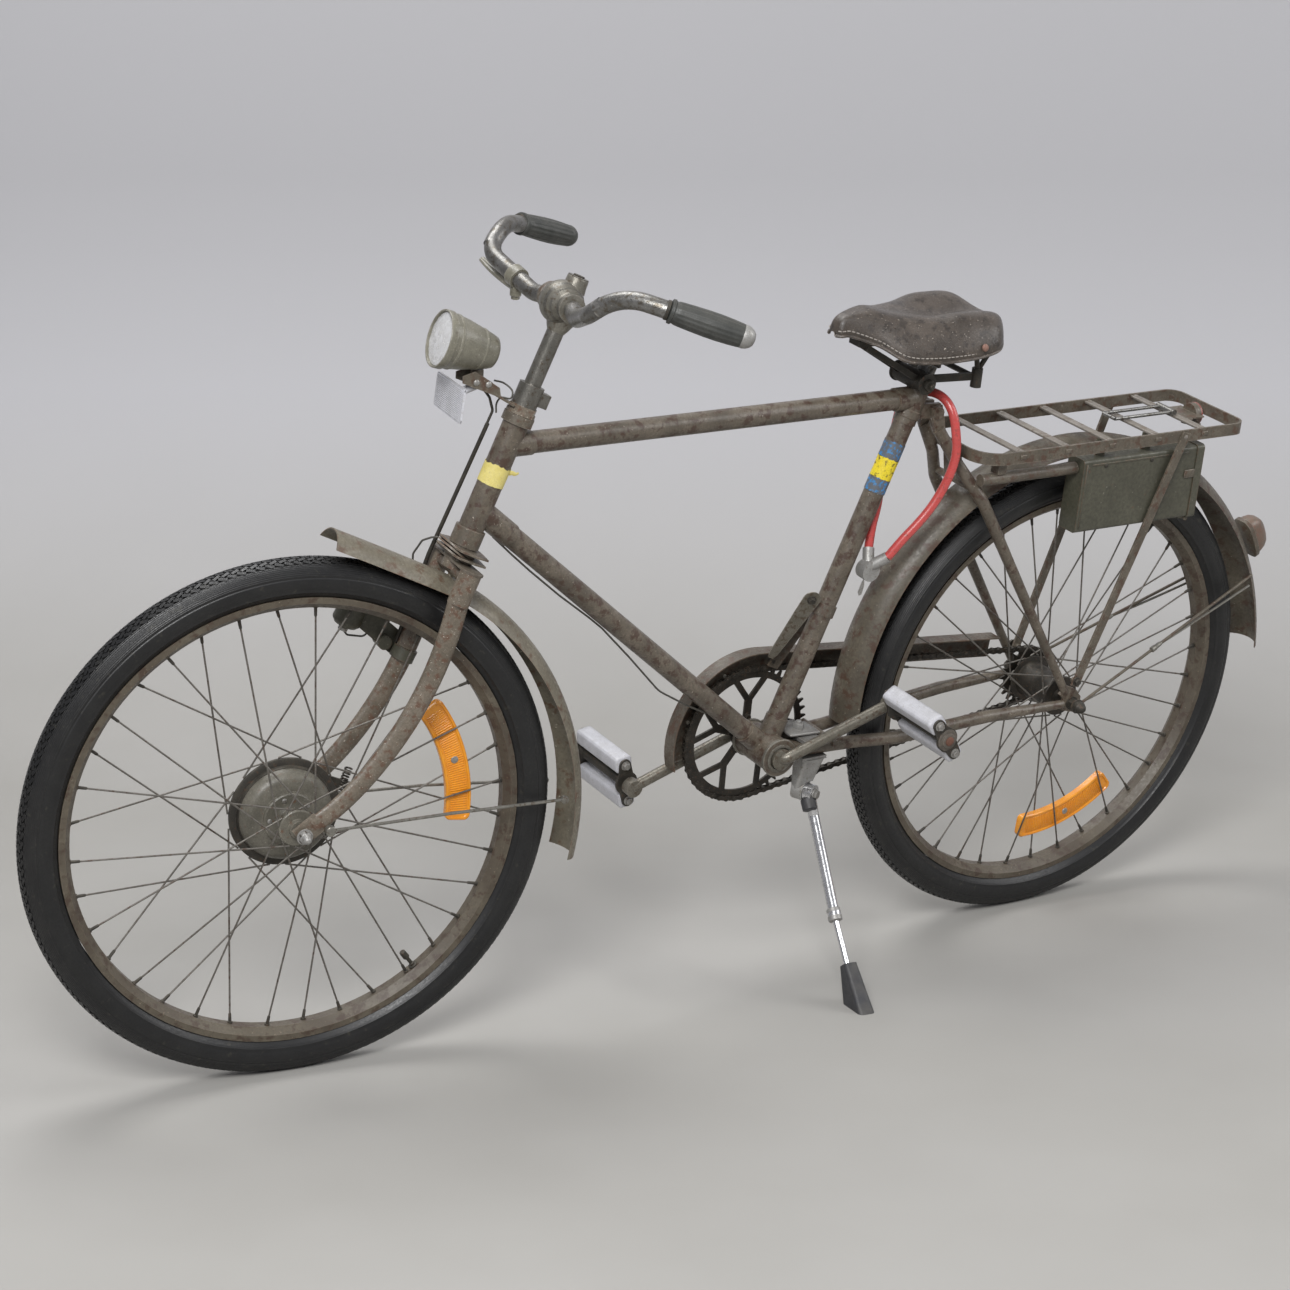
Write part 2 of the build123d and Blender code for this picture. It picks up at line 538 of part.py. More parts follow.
# ================================================================== front fork
CROWN_ALONG = 350.0
CROWN_HALF_HEIGHT = 13.5
FORK_TOP = on_steering(CROWN_ALONG - CROWN_HALF_HEIGHT)
UPPER_RACE = HEAD_TUBE_TOP + 12
STEERER_TOP = UPPER_RACE + 12
CROWN_BRIDGE = 369.0          # the crown arches over the mudguard between its two sockets
CROWN_BRIDGE_RADIUS = 8.5
PLATE_TILT = 18.0
PLATE_UP = Vector(-sin(radians(90 - HEAD_ANGLE + PLATE_TILT)), 0, cos(radians(90 - HEAD_ANGLE + PLATE_TILT)))
with BuildPart() as fork_crown:
    bar(on_steering(CROWN_BRIDGE - 2), on_steering(STEERER_TOP), STEERER_RADIUS)
    bar(on_steering(CROWN_BRIDGE, 0, -FORK_DROPOUT_Y), on_steering(CROWN_BRIDGE, 0, FORK_DROPOUT_Y),
        CROWN_BRIDGE_RADIUS)
    for side in SIDES.values():
        bar(on_steering(CROWN_ALONG - CROWN_HALF_HEIGHT, 0, side * FORK_DROPOUT_Y),
            on_steering(CROWN_BRIDGE + CROWN_BRIDGE_RADIUS + 1.5, 0, side * FORK_DROPOUT_Y), 14)
    bar(on_steering(CROWN_BRIDGE), on_steering(HEAD_TUBE_BOTTOM - 24), 17.2)
    # a stack of thin brackets on the crown, tilted forward and up
    for along in (385, 389.5, 394):
        with BuildSketch(Plane(origin=on_steering(along, 8), x_dir=(0, 1, 0), z_dir=PLATE_UP)) as plate:
            Ellipse(26, 27)
        extrude(plate.sketch, amount=2.2)
    hexagon(on_steering(UPPER_RACE + CLEAR), on_steering(STEERER_TOP), 34)
    bar(on_steering(UPPER_RACE + CLEAR), on_steering(UPPER_RACE + 5), 19)
finish(fork_crown, "fork_crown", True)

GUARD_BOLT_RADIUS = 4.0
GUARD_BOLT_END = CROWN_BRIDGE - 21
with BuildPart() as front_mudguard:
    mudguard([round_wheel(396, 193, 0, FRONT_AXLE), round_wheel(384, 160, 0, FRONT_AXLE),
              round_wheel(364, 120, 0, FRONT_AXLE)], round_wheel(381, 97, 0, FRONT_AXLE), (0, -1, 0))
    bar(on_steering(GUARD_BOLT_END), on_steering(CROWN_BRIDGE), GUARD_BOLT_RADIUS)
    hexagon(on_steering(GUARD_BOLT_END + 2), on_steering(GUARD_BOLT_END + 7), 13)
    add(fork_crown.part, mode=Mode.SUBTRACT)
finish(front_mudguard, "front_mudguard", True)

# each blade is an oval tube, as wide all the way seen from the side, thinner towards its tip and
# curving forward
BLADE_LINE = [(FORK_TOP.X, FORK_TOP.Z, 14, 9.5), (WHEELBASE - 171, 215, 14, 9),
              (WHEELBASE - 141, 151, 13.5, 8.5), (WHEELBASE - 104, 95, 13, 7.5),
              (WHEELBASE - 58, 44, 12.5, 6.5), (WHEELBASE - 14, 10, 12, 4)]
with BuildPart() as fork_blades:
    for side in SIDES.values():
        stations = []
        for index, (x, z, ahead, across) in enumerate(BLADE_LINE):
            before = BLADE_LINE[max(index - 1, 0)]
            after = BLADE_LINE[min(index + 1, len(BLADE_LINE) - 1)]
            way = Vector(after[0] - before[0], 0, after[1] - before[1])
            if index == 0:
                way = -UP_AXIS
            across_blade = Plane(origin=(x, side * FORK_DROPOUT_Y, z), x_dir=(0, 1, 0), z_dir=way)
            with BuildSketch(across_blade) as station:
                Ellipse(across, ahead)
            stations.append(station.sketch.face())
        loft(stations)
        eye = FRONT_AXLE + Vector(0, side * FORK_DROPOUT_Y, 0)
        flat_bar(fore(22, side * FORK_DROPOUT_Y, 16), eye - Vector(-6, 0, 5), 26, 5, Vector(0, 1, 0))
        bar(eye - Vector(0, 4, 0), eye + Vector(0, 4, 0), AXLE_RADIUS, Mode.SUBTRACT)
finish(fork_blades, "fork_blades", True)

with BuildPart() as front_axle:
    bar(FRONT_AXLE + Vector(0, -64, 0), FRONT_AXLE + Vector(0, 64, 0), AXLE_RADIUS)
    for side in SIDES.values():
        bar(FRONT_AXLE + Vector(0, side * 38, 0), FRONT_AXLE + Vector(0, side * 47.5, 0), 8)
        hexagon(FRONT_AXLE + Vector(0, side * 58, 0), FRONT_AXLE + Vector(0, side * 65, 0), 15)
        cone(FRONT_AXLE + Vector(0, side * 65, 0), FRONT_AXLE + Vector(0, side * 69, 0), 6.8, 3.5)
finish(front_axle, "front_axle", True)

with BuildPart() as headset_cups:
    bar(on_steering(HEAD_TUBE_BOTTOM - 23), on_steering(HEAD_TUBE_BOTTOM), 19.5)
    bar(on_steering(HEAD_TUBE_TOP), on_steering(UPPER_RACE), 20)
    bar(on_steering(HEAD_TUBE_BOTTOM - 30), on_steering(HEAD_TUBE_TOP + 20), STEERER_RADIUS + CLEAR,
        Mode.SUBTRACT)
finish(headset_cups, "headset_cups")

STEM_TOP = 725.0
STEM_RADIUS = 11.0
COLLAR_TOP = STEERER_TOP + 28
# stem: a tube with a round head through which the handlebar passes
BAR_RADIUS = 11.0
STEM_HEAD = on_steering(STEM_TOP, 8)
BAR_ROUTE = [fore(321, 69, 645), fore(297, 165, 676), fore(322, 190, 705), fore(364, 235, 695)]
GRIP_END = fore(456, 273, 666)
GRIP_LENGTH = 96.0


def mirrored(point):
    """The same point on the other side of the bicycle."""
    return Vector(point.X, -point.Y, point.Z)


half_route = [STEM_HEAD + Vector(0, 36, 0)] + BAR_ROUTE + [toward(GRIP_END, BAR_ROUTE[-1], 12)]
bar_points = [mirrored(point) for point in reversed(half_route)] + half_route
bar_bends = [60, 45, 39, 80, 120]
with BuildPart() as handlebar:
    pipe(bar_points, BAR_RADIUS, bar_bends[::-1] + bar_bends)
finish(handlebar, "handlebar", True)

with BuildPart() as stem:
    bar(on_steering(STEERER_TOP), on_steering(STEM_TOP - 8), STEM_RADIUS)
    bar(on_steering(STEERER_TOP), on_steering(COLLAR_TOP), 16.5)
    collar_middle = (STEERER_TOP + COLLAR_TOP) / 2
    flat_bar(on_steering(collar_middle, -14), on_steering(collar_middle, -27), 16, 18, UP_AXIS)
    with Locations(STEM_HEAD):
        Sphere(28)
    bar(on_steering(STEM_TOP), on_steering(STEM_TOP + 37), 13.5)
    bar(STEM_HEAD - Vector(0, 34, 0), STEM_HEAD + Vector(0, 34, 0), 17)
    add(handlebar.part, mode=Mode.SUBTRACT)
finish(stem, "stem", True)

with BuildPart() as grips:
    for place in (lambda point: point, mirrored):
        start = place(toward(GRIP_END, BAR_ROUTE[-1], GRIP_LENGTH))
        end = place(GRIP_END)
        cone(start, toward(start, end, 50), 13.5, 16)
        cone(toward(start, end, 50), toward(end, start, 12), 16, 14)
        cone(toward(end, start, 12), toward(end, start, -4), 14, 8)
    add(handlebar.part, mode=Mode.SUBTRACT)
finish(grips, "grips", True)

# front brake hand lever, clamped under the right half of the handlebar
LEVER_CLAMP = mirrored(toward(BAR_ROUTE[0], BAR_ROUTE[1], 40))
LEVER_UNDER = LEVER_CLAMP - Vector(0, 0, BAR_RADIUS + 5)
with BuildPart() as brake_lever:
    around = mirrored(BAR_ROUTE[1]) - mirrored(BAR_ROUTE[0])
    bar(toward(LEVER_CLAMP, LEVER_CLAMP + around, -7), toward(LEVER_CLAMP, LEVER_CLAMP + around, 7),
        BAR_RADIUS + 3)
    bar(LEVER_CLAMP, LEVER_UNDER - Vector(0, 0, 6), 7)
    bar(LEVER_UNDER, LEVER_UNDER + Vector(10, -92, 17), 4)
    add(handlebar.part, mode=Mode.SUBTRACT)
finish(brake_lever, "brake_lever", True)

# ================================================================== head lamp
LAMP_BACK = fore(245.2, 0, 588.9)
LAMP_RIM = fore(171.4, 0, 610.8)
LAMP_RADIUS = 36.5
LAMP_BACK_RADIUS = 21.0
LAMP_GLASS_THICKNESS = 3.0
with BuildPart() as lamp_shell:
    cone(LAMP_BACK, toward(LAMP_BACK, LAMP_RIM, 45), LAMP_BACK_RADIUS, LAMP_RADIUS - 4)
    cone(toward(LAMP_BACK, LAMP_RIM, 45), toward(LAMP_RIM, LAMP_BACK, 9), LAMP_RADIUS - 4, LAMP_RADIUS - 1)
    bar(toward(LAMP_RIM, LAMP_BACK, 9), LAMP_RIM, LAMP_RADIUS)
    cone(toward(LAMP_BACK, LAMP_RIM, 5), LAMP_RIM, LAMP_BACK_RADIUS - 4, LAMP_RADIUS - 4, Mode.SUBTRACT)
finish(lamp_shell, "lamp_shell", True)
with BuildPart() as lamp_glass:
    bar(toward(LAMP_RIM, LAMP_BACK, LAMP_GLASS_THICKNESS), LAMP_RIM, LAMP_RADIUS - 3)
    add(lamp_shell.part, mode=Mode.SUBTRACT)
finish(lamp_glass, "lamp_glass", True)

LAMP_FOOT = fore(221, 0, 553)
with BuildPart() as lamp_bracket:
    foot = on_steering(UPPER_RACE + 9, 17.2)
    flat_bar(foot, fore(251, 0, 535), 24, 3, UP_AXIS)
    flat_bar(fore(253, 0, 534), LAMP_FOOT, 24, 3, Vector(-0.5, 0, 0.8))
    bar(LAMP_FOOT - Vector(2, 0, 6), LAMP_FOOT + Vector(-2, 0, 18), 8)
    cone(LAMP_BACK, toward(LAMP_BACK, LAMP_RIM, 45), LAMP_BACK_RADIUS, LAMP_RADIUS - 4, Mode.SUBTRACT)
    add(fork_crown.part, mode=Mode.SUBTRACT)
finish(lamp_bracket, "lamp_bracket", True)

REFLECTOR_WIDTH = 92.0
REFLECTOR_HEIGHT = 43.0
REFLECTOR_CENTRE = fore(190, 0, 536)
with BuildPart() as front_reflector:
    with BuildSketch(Plane(origin=REFLECTOR_CENTRE, x_dir=(0, 1, 0), z_dir=(1, 0, 0.1))) as plate:
        RectangleRounded(REFLECTOR_WIDTH, REFLECTOR_HEIGHT, 6)
    extrude(plate.sketch, amount=3)
    bar(fore(222, 0, 549), REFLECTOR_CENTRE + Vector(1, 0, 2), 5)
    add(lamp_bracket.part, mode=Mode.SUBTRACT)
finish(front_reflector, "front_reflector", True)

# bottle dynamo on the right fork blade, swung away from the tyre
DYNAMO_FOOT = fore(90, -70, 232)
DYNAMO_WAY = Vector(-31, 10, 79).normalized()
DYNAMO_RADIUS = 19.0
DYNAMO_BODY = 48.0
DYNAMO_CLAMP = fore(160, -FORK_DROPOUT_Y, 190)
with BuildPart() as dynamo:
    bar(DYNAMO_FOOT, DYNAMO_FOOT + DYNAMO_WAY * DYNAMO_BODY, DYNAMO_RADIUS)
    dynamo_top = DYNAMO_FOOT + DYNAMO_WAY * DYNAMO_BODY
    cone(dynamo_top, dynamo_top + DYNAMO_WAY * 8, DYNAMO_RADIUS, 9)
    cone(DYNAMO_FOOT, DYNAMO_FOOT - DYNAMO_WAY * 5, DYNAMO_RADIUS, 15)
    bar(DYNAMO_FOOT, DYNAMO_FOOT - DYNAMO_WAY * 13, 6)
    bar(DYNAMO_FOOT + DYNAMO_WAY * DYNAMO_BODY, DYNAMO_FOOT + DYNAMO_WAY * (DYNAMO_BODY + 15), 5)
    bar(DYNAMO_FOOT + DYNAMO_WAY * (DYNAMO_BODY + 12), DYNAMO_FOOT + DYNAMO_WAY * (DYNAMO_BODY + 30), 10)
    blade_way = Vector(1065 - 1035, 0, 151 - 215).normalized()
    bar(DYNAMO_CLAMP - blade_way * 8, DYNAMO_CLAMP + blade_way * 8, 16)
    flat_bar(DYNAMO_CLAMP + Vector(0, -14, 4), DYNAMO_FOOT + DYNAMO_WAY * 20, 30, 6, Vector(0, 1, 0))
    bar(fore(136, -76, 204), fore(136, -52, 204), 9)
    add(fork_blades.part, mode=Mode.SUBTRACT)
finish(dynamo, "dynamo", True)

# ================================================================== saddle
SADDLE_CLAMP = Vector(316, 0, 500)
SEAT_POST_TOP = seat_tube_point(516)
with BuildPart() as seat_post:
    bar(seat_tube_point(TOP_TUBE_Z - 34), SEAT_POST_TOP, SEAT_POST_RADIUS)
finish(seat_post, "seat_post")

# saddle cover, in sections from nose to back: place, crest, half width, lower edge and how high
# its shoulders stand, as a share of the way from edge to crest
SADDLE_SECTIONS = [(458, 579, 8, 571, 0.6), (440, 599, 20, 572, 0.6), (408, 605, 42, 562, 0.5),
                   (380, 603, 68, 547, 0.45), (345, 600, 84, 546, 0.5), (305, 594, 91, 548, 0.7),
                   (270, 591, 92, 551, 0.86), (243, 590, 87, 556, 0.93), (222, 588, 64, 560, 0.9),
                   (209, 583, 38, 566, 0.8)]
with BuildPart() as saddle_cover:
    ribs = []
    for x, top, half_width, low, shoulder in SADDLE_SECTIONS:
        at_shoulder = low + (top - low) * shoulder
        with BuildSketch(Plane(origin=(x, 0, 0), x_dir=(0, 1, 0), z_dir=(-1, 0, 0))) as rib:
            with BuildLine():
                Spline((-half_width, -low), (-half_width * 0.8, -at_shoulder), (0, -top),
                       (half_width * 0.8, -at_shoulder), (half_width, -low))
                Line((half_width, -low), (-half_width, -low))
            make_face()
        ribs.append(rib.sketch.face())
    loft(ribs)
finish(saddle_cover, "saddle_cover")

# saddle frame: a clamp on the post, a strap to the nose, two rails and a wire loop at each back end
SADDLE_RAIL_Y = 22.0
SPRING_FOOT = Vector(243, 0, 494)
with BuildPart() as saddle_frame:
    bar(SADDLE_CLAMP - Vector(0, 30, 0), SADDLE_CLAMP + Vector(0, 30, 0), 13)
    for side in SIDES.values():
        rail = Vector(0, side * SADDLE_RAIL_Y, 0)
        flat_bar(SADDLE_CLAMP + rail, Vector(405, 0, 552) + rail * 0.4, 8, 5, Vector(0, 1, 0))
        flat_bar(SADDLE_CLAMP + rail + Vector(-4, 0, 4), SPRING_FOOT + rail * 2 + Vector(-2, 0, 15), 10, 5,
                 Vector(0, 1, 0))
        bar(SPRING_FOOT + rail * 2, SPRING_FOOT + rail * 2 + Vector(0, 0, 26), 7.5)
        bar(SPRING_FOOT + rail * 2 + Vector(0, 0, 22), Vector(228, side * 58, 562), 3.5)
        bar(SPRING_FOOT + rail * 2 + Vector(0, 0, 22), Vector(262, side * 58, 556), 3.5)
    flat_bar(Vector(405, -12, 558), Vector(405, 12, 558), 30, 8, Vector(0, 0, 1))
    bar(Vector(243, -SADDLE_RAIL_Y * 2, 506), Vector(243, SADDLE_RAIL_Y * 2, 506), 4)
    bar(seat_tube_point(440), SEAT_POST_TOP, SEAT_POST_RADIUS, Mode.SUBTRACT)
    add(seat_lug.part, mode=Mode.SUBTRACT)
    add(saddle_cover.part, mode=Mode.SUBTRACT)
finish(saddle_frame, "saddle_frame")

# ================================================================== carrier
CARRIER_FRONT_CORNER = 40.0
CARRIER_REAR_CORNER = 22.0
SLATS = (171, 92, 14, -69, -155)
SLAT_WIDTH = 11.0
SLAT_BOTTOM = CARRIER_TOP_Z - 5
with BuildPart() as carrier_frame:
    with BuildSketch(Plane.XY.offset(CARRIER_TOP_Z - CARRIER_BAR_HEIGHT)) as loop:
        with BuildLine():
            FilletPolyline((CARRIER_FRONT_X, -CARRIER_HALF_WIDTH), (CARRIER_FRONT_X, CARRIER_HALF_WIDTH),
                           (CARRIER_REAR_X, CARRIER_HALF_WIDTH), (CARRIER_REAR_X, -CARRIER_HALF_WIDTH),
                           radius=[CARRIER_FRONT_CORNER] * 2 + [CARRIER_REAR_CORNER] * 2, close=True)
        make_face()
        offset(amount=-CARRIER_BAR_THICKNESS, mode=Mode.SUBTRACT)
    extrude(loop.sketch, amount=CARRIER_BAR_HEIGHT)
    inner = CARRIER_HALF_WIDTH - CARRIER_BAR_THICKNESS
    for x in SLATS:
        with Locations((x, 0, CARRIER_TOP_Z - 3.5)):
            Box(SLAT_WIDTH, 2 * inner, 3)
finish(carrier_frame, "carrier_frame")

LEG_TOP = Vector(-118, CARRIER_HALF_WIDTH + 1.5, CARRIER_TOP_Z - 9)
LEG_FOOT = Vector(4, 69, 37)
STRAP_TOP = Vector(CARRIER_FRONT_X - CARRIER_BAR_THICKNESS - 1.5, 13, CARRIER_TOP_Z - 2)
STRAP_FOOT = Vector(222, 13, 343)
STAY_BRIDGE = Vector(220, 0, 345)
with BuildPart() as carrier_legs:
    for place in (lambda point: point, mirrored):
        flat_bar(place(LEG_TOP + Vector(-2, 0, 6)), place(LEG_FOOT + Vector(2, 0, -7)), 14, 3, Vector(0, 1, 0))
        bar(place(LEG_FOOT + Vector(0, -7.4, 0)), place(LEG_FOOT + Vector(0, 5, 0)), 4.5)
        # strap from the front bar down to the bridge between the seat stays
        flat_bar(place(STRAP_TOP), place(STRAP_FOOT), 12, 3, Vector(1, 0, 0))
    bar(STAY_BRIDGE - Vector(0, 48, 0), STAY_BRIDGE + Vector(0, 48, 0), 5)
    add(seat_stays.part, mode=Mode.SUBTRACT)
    add(carrier_frame.part, mode=Mode.SUBTRACT)
finish(carrier_legs, "carrier_legs")

# spring clip that holds a load down on the carrier
with BuildPart() as carrier_clip:
    for side in SIDES.values():
        bar(Vector(-44, side * 13, CARRIER_TOP_Z + 2.6), Vector(-150, side * 13, CARRIER_TOP_Z + 2.6), 2.5)
    bar(Vector(-44, -13, CARRIER_TOP_Z + 2.6), Vector(-44, 13, CARRIER_TOP_Z + 2.6), 2.5)
    bar(Vector(-150, -18, CARRIER_TOP_Z + 2.6), Vector(-150, 18, CARRIER_TOP_Z + 2.6), 4.5)
finish(carrier_clip, "carrier_clip")

PUMP_FRONT = Vector(222, 56, 362)
PUMP_REAR = Vector(56, 56, 362)
with BuildPart() as side_tube:
    bar(PUMP_FRONT, PUMP_REAR, 8.5)
    flat_bar(PUMP_FRONT + Vector(-30, 0, 8), PUMP_FRONT + Vector(-30, 0, 27), 14, 16, Vector(0, 1, 0))
finish(side_tube, "side_tube")

BOX_FRONT = 54.0
BOX_REAR = -152.0
BOX_INNER = 38.0
BOX_OUTER = 73.0
BOX_BOTTOM = 270.0
BOX_TOP = 377.0
BOX_WALL = 1.5
LID_DEPTH = 13.0
BOX_CENTRE_Y = (BOX_INNER + BOX_OUTER) / 2
BOX_CENTRE_Z = (BOX_BOTTOM + BOX_TOP) / 2
BOX_SECTION = Plane(origin=(BOX_REAR, BOX_CENTRE_Y, BOX_CENTRE_Z), x_dir=(0, 1, 0), z_dir=(1, 0, 0))
# hinge along the box's lower rear edge: the box holds the pin, the lid the middle knuckle
KNUCKLE_RADIUS = 3.2
PIN_RADIUS = 1.4
KNUCKLE_HALF = 6.0
HINGE_HALF = 14.0
LID_HINGE = Vector(BOX_REAR - 3, BOX_CENTRE_Y, BOX_BOTTOM - KNUCKLE_RADIUS)
with BuildPart() as toolbox:
    with BuildSketch(BOX_SECTION) as outside:
        RectangleRounded(BOX_OUTER - BOX_INNER, BOX_TOP - BOX_BOTTOM, 5)
    extrude(outside.sketch, amount=BOX_FRONT - BOX_REAR)
    with BuildSketch(BOX_SECTION) as inside:
        RectangleRounded(BOX_OUTER - BOX_INNER - 2 * BOX_WALL, BOX_TOP - BOX_BOTTOM - 2 * BOX_WALL, 3.5)
    extrude(inside.sketch, amount=BOX_FRONT - BOX_REAR - BOX_WALL, mode=Mode.SUBTRACT)
    # two straps up to the carrier's slats
    for x in (SLATS[2], SLATS[3]):
        with Locations((x, BOX_CENTRE_Y, (BOX_TOP - BOX_WALL / 2 + SLAT_BOTTOM) / 2)):
            Box(16, 3, SLAT_BOTTOM - BOX_TOP + BOX_WALL / 2)
    with Locations((BOX_REAR + 5.5, BOX_CENTRE_Y, BOX_BOTTOM - 0.7)):
        Box(14, 2 * HINGE_HALF, 1.8)
    bar(LID_HINGE - Vector(0, HINGE_HALF, 0), LID_HINGE + Vector(0, HINGE_HALF, 0), KNUCKLE_RADIUS)
    middle = Vector(0, KNUCKLE_HALF + CLEAR, 0)
    bar(LID_HINGE - middle, LID_HINGE + middle, KNUCKLE_RADIUS + CLEAR, Mode.SUBTRACT)
    with Locations((BOX_REAR - 3, BOX_CENTRE_Y, BOX_BOTTOM - 0.7)):
        Box(6.2, 2 * middle.Y, 3, mode=Mode.SUBTRACT)
    bar(LID_HINGE - middle, LID_HINGE + middle, PIN_RADIUS)
finish(toolbox, "toolbox")
with BuildPart() as toolbox_lid:
    with BuildSketch(BOX_SECTION.offset(-CLEAR)) as cap:
        RectangleRounded(BOX_OUTER - BOX_INNER + 3, BOX_TOP - BOX_BOTTOM + 3, 6)
    extrude(cap.sketch, amount=-LID_DEPTH)
    with BuildSketch(BOX_SECTION.offset(-CLEAR)) as hollow_cap:
        RectangleRounded(BOX_OUTER - BOX_INNER - 2 * BOX_WALL, BOX_TOP - BOX_BOTTOM - 2 * BOX_WALL, 3.5)
    extrude(hollow_cap.sketch, amount=-LID_DEPTH + BOX_WALL, mode=Mode.SUBTRACT)
    with Locations((BOX_REAR - LID_DEPTH / 2, BOX_CENTRE_Y, BOX_BOTTOM - 0.9)):
        Box(LID_DEPTH + 4, 2 * HINGE_HALF + 1, 2.4, mode=Mode.SUBTRACT)
    with Locations((BOX_REAR - CLEAR - 3.5, BOX_CENTRE_Y, BOX_BOTTOM - 0.6)):
        Box(7, 2 * KNUCKLE_HALF, 4.4)
    bar(LID_HINGE - Vector(0, KNUCKLE_HALF, 0), LID_HINGE + Vector(0, KNUCKLE_HALF, 0), KNUCKLE_RADIUS)
    bar(LID_HINGE - Vector(0, HINGE_HALF, 0), LID_HINGE + Vector(0, HINGE_HALF, 0), PIN_RADIUS + CLEAR,
        Mode.SUBTRACT)
finish(toolbox_lid, "toolbox_lid")

# ================================================================== lamps and reflector at the back
TAIL_BASE = round_wheel(396, 152)
GUARD_AT_TAIL_LAMP = 385.4
TAIL_OUT = Vector(cos(radians(152)), 0, sin(radians(152)))
with BuildPart() as tail_lamp:
    with BuildSketch(Plane(origin=TAIL_BASE + TAIL_OUT * 0.2, x_dir=(0, 1, 0), z_dir=TAIL_OUT)) as base:
        RectangleRounded(40, 66, 14)
    with BuildSketch(Plane(origin=TAIL_BASE + TAIL_OUT * 34, x_dir=(0, 1, 0), z_dir=TAIL_OUT)) as crest:
        RectangleRounded(30, 46, 12)
    loft([base.sketch.face(), crest.sketch.face()])
    bar(round_wheel(GUARD_AT_TAIL_LAMP, 152), TAIL_BASE + TAIL_OUT * 2, 6)
    add(rear_mudguard.part, mode=Mode.SUBTRACT)
finish(tail_lamp, "tail_lamp")

with BuildPart() as rear_reflector:
    bar(Vector(-196, 0, 396), Vector(-206, 0, 396), 16)
    with Locations((-201, 0, 386.4)):
        Box(3, 40, 3)
    for side in SIDES.values():
        bar(Vector(-170, side * 24, 394), Vector(-170, side * 24, 401), 8)
    flat_bar(Vector(-155, 0, 399.5), Vector(-202, 0, 399.5), 50, 2, Vector(0, 0, 1))
finish(rear_reflector, "rear_reflector")

# ================================================================== the floor the bicycle stands on
# in the upright frame: the plane under both tyres when the bicycle leans on its stand


def turned_with_fork(point):
    """Where a point of the fork comes to when the fork is at its parked angle."""
    return STEER_FOOT + (point - STEER_FOOT).rotate(Axis((0, 0, 0), UP_AXIS), STEER_PARKED)


def lowest_of_tyre(centre, axle, up):
    """How far the tyre's lowest point lies along up."""
    tilt = up.dot(axle)
    return up.dot(centre) - TYRE_CENTRE_RADIUS * sqrt(1 - tilt * tilt) - TYRE_RADIUS


PARKED_FRONT = turned_with_fork(FRONT_AXLE)
PARKED_FRONT_AXIS = turned_with_fork(FRONT_AXLE + Vector(0, 1, 0)) - PARKED_FRONT
LEAN = radians(LEAN_PARKED)
pitch = 0.0
for _ in range(8):
    floor_up = Vector(sin(pitch), -sin(LEAN) * cos(pitch), cos(LEAN) * cos(pitch))
    rear_low = lowest_of_tyre(Vector(0, 0, 0), Vector(0, 1, 0), floor_up)
    front_low = lowest_of_tyre(PARKED_FRONT, PARKED_FRONT_AXIS, floor_up)
    pitch += (rear_low - front_low) / WHEELBASE
FLOOR_UP = floor_up
FLOOR_LEVEL = rear_low


def on_floor(x, y):
    """The point of the floor with these upright x and y."""
    return Vector(x, y, (FLOOR_LEVEL - FLOOR_UP.X * x - FLOOR_UP.Y * y) / FLOOR_UP.Z)


# ================================================================== side stand
STAND_HINGE = Vector(431, 27, -80)
STAND_AXIS = Vector(-0.4446, 0.8957, 0).normalized()
FOOT_CENTRE = on_floor(459.5, 236.8)
FOOT_LONG = (on_floor(463.2, 263) - FOOT_CENTRE).normalized()
LEG_BEND = Vector(424, 42, -112)
LEG_COLLAR = Vector(451, 150, -211)
FOOT_TOP = Vector(457.5, 196, -258)
ROD_END = toward(FOOT_TOP, LEG_COLLAR, -8)
ROD_RADIUS = 4.5
with BuildPart() as stand_bracket:
    for plate_z, plate_length in ((-25.3, 40), (-3, 30)):
        with Locations((432, 1, plate_z)):
            Box(plate_length, 76, 5)
    bar(Vector(432, 0, -30), Vector(432, 0, 2), 5)
    hexagon(Vector(432, 0, -2), Vector(432, 0, 5), 15)
    with BuildSketch(Plane(origin=(431, 24, -26), x_dir=(1, 0, 0), z_dir=(0, 0, -1))) as collar_top:
        RectangleRounded(34, 34, 6)
    housing_low = STAND_HINGE - STAND_AXIS * 9 + Vector(0, 0, 4)
    with BuildSketch(Plane(origin=housing_low, x_dir=(1, 0, 0), z_dir=(0, 0, -1))) as low:
        RectangleRounded(26, 16, 6)
    loft([collar_top.sketch.face(), low.sketch.face()])
    bar(STAND_HINGE - STAND_AXIS * 17, STAND_HINGE, 14)
    bar(STAND_HINGE, STAND_HINGE + STAND_AXIS * 30, 16, Mode.SUBTRACT)
    bar(STAND_HINGE - STAND_AXIS * 17, STAND_HINGE + STAND_AXIS * 15, 5)
    bar(STAND_HINGE + STAND_AXIS * 13.4, STAND_HINGE + STAND_AXIS * 15, 8)
    add(bottom_bracket.part, mode=Mode.SUBTRACT)
    add(chain_stays.part, mode=Mode.SUBTRACT)
finish(stand_bracket, "stand_bracket")

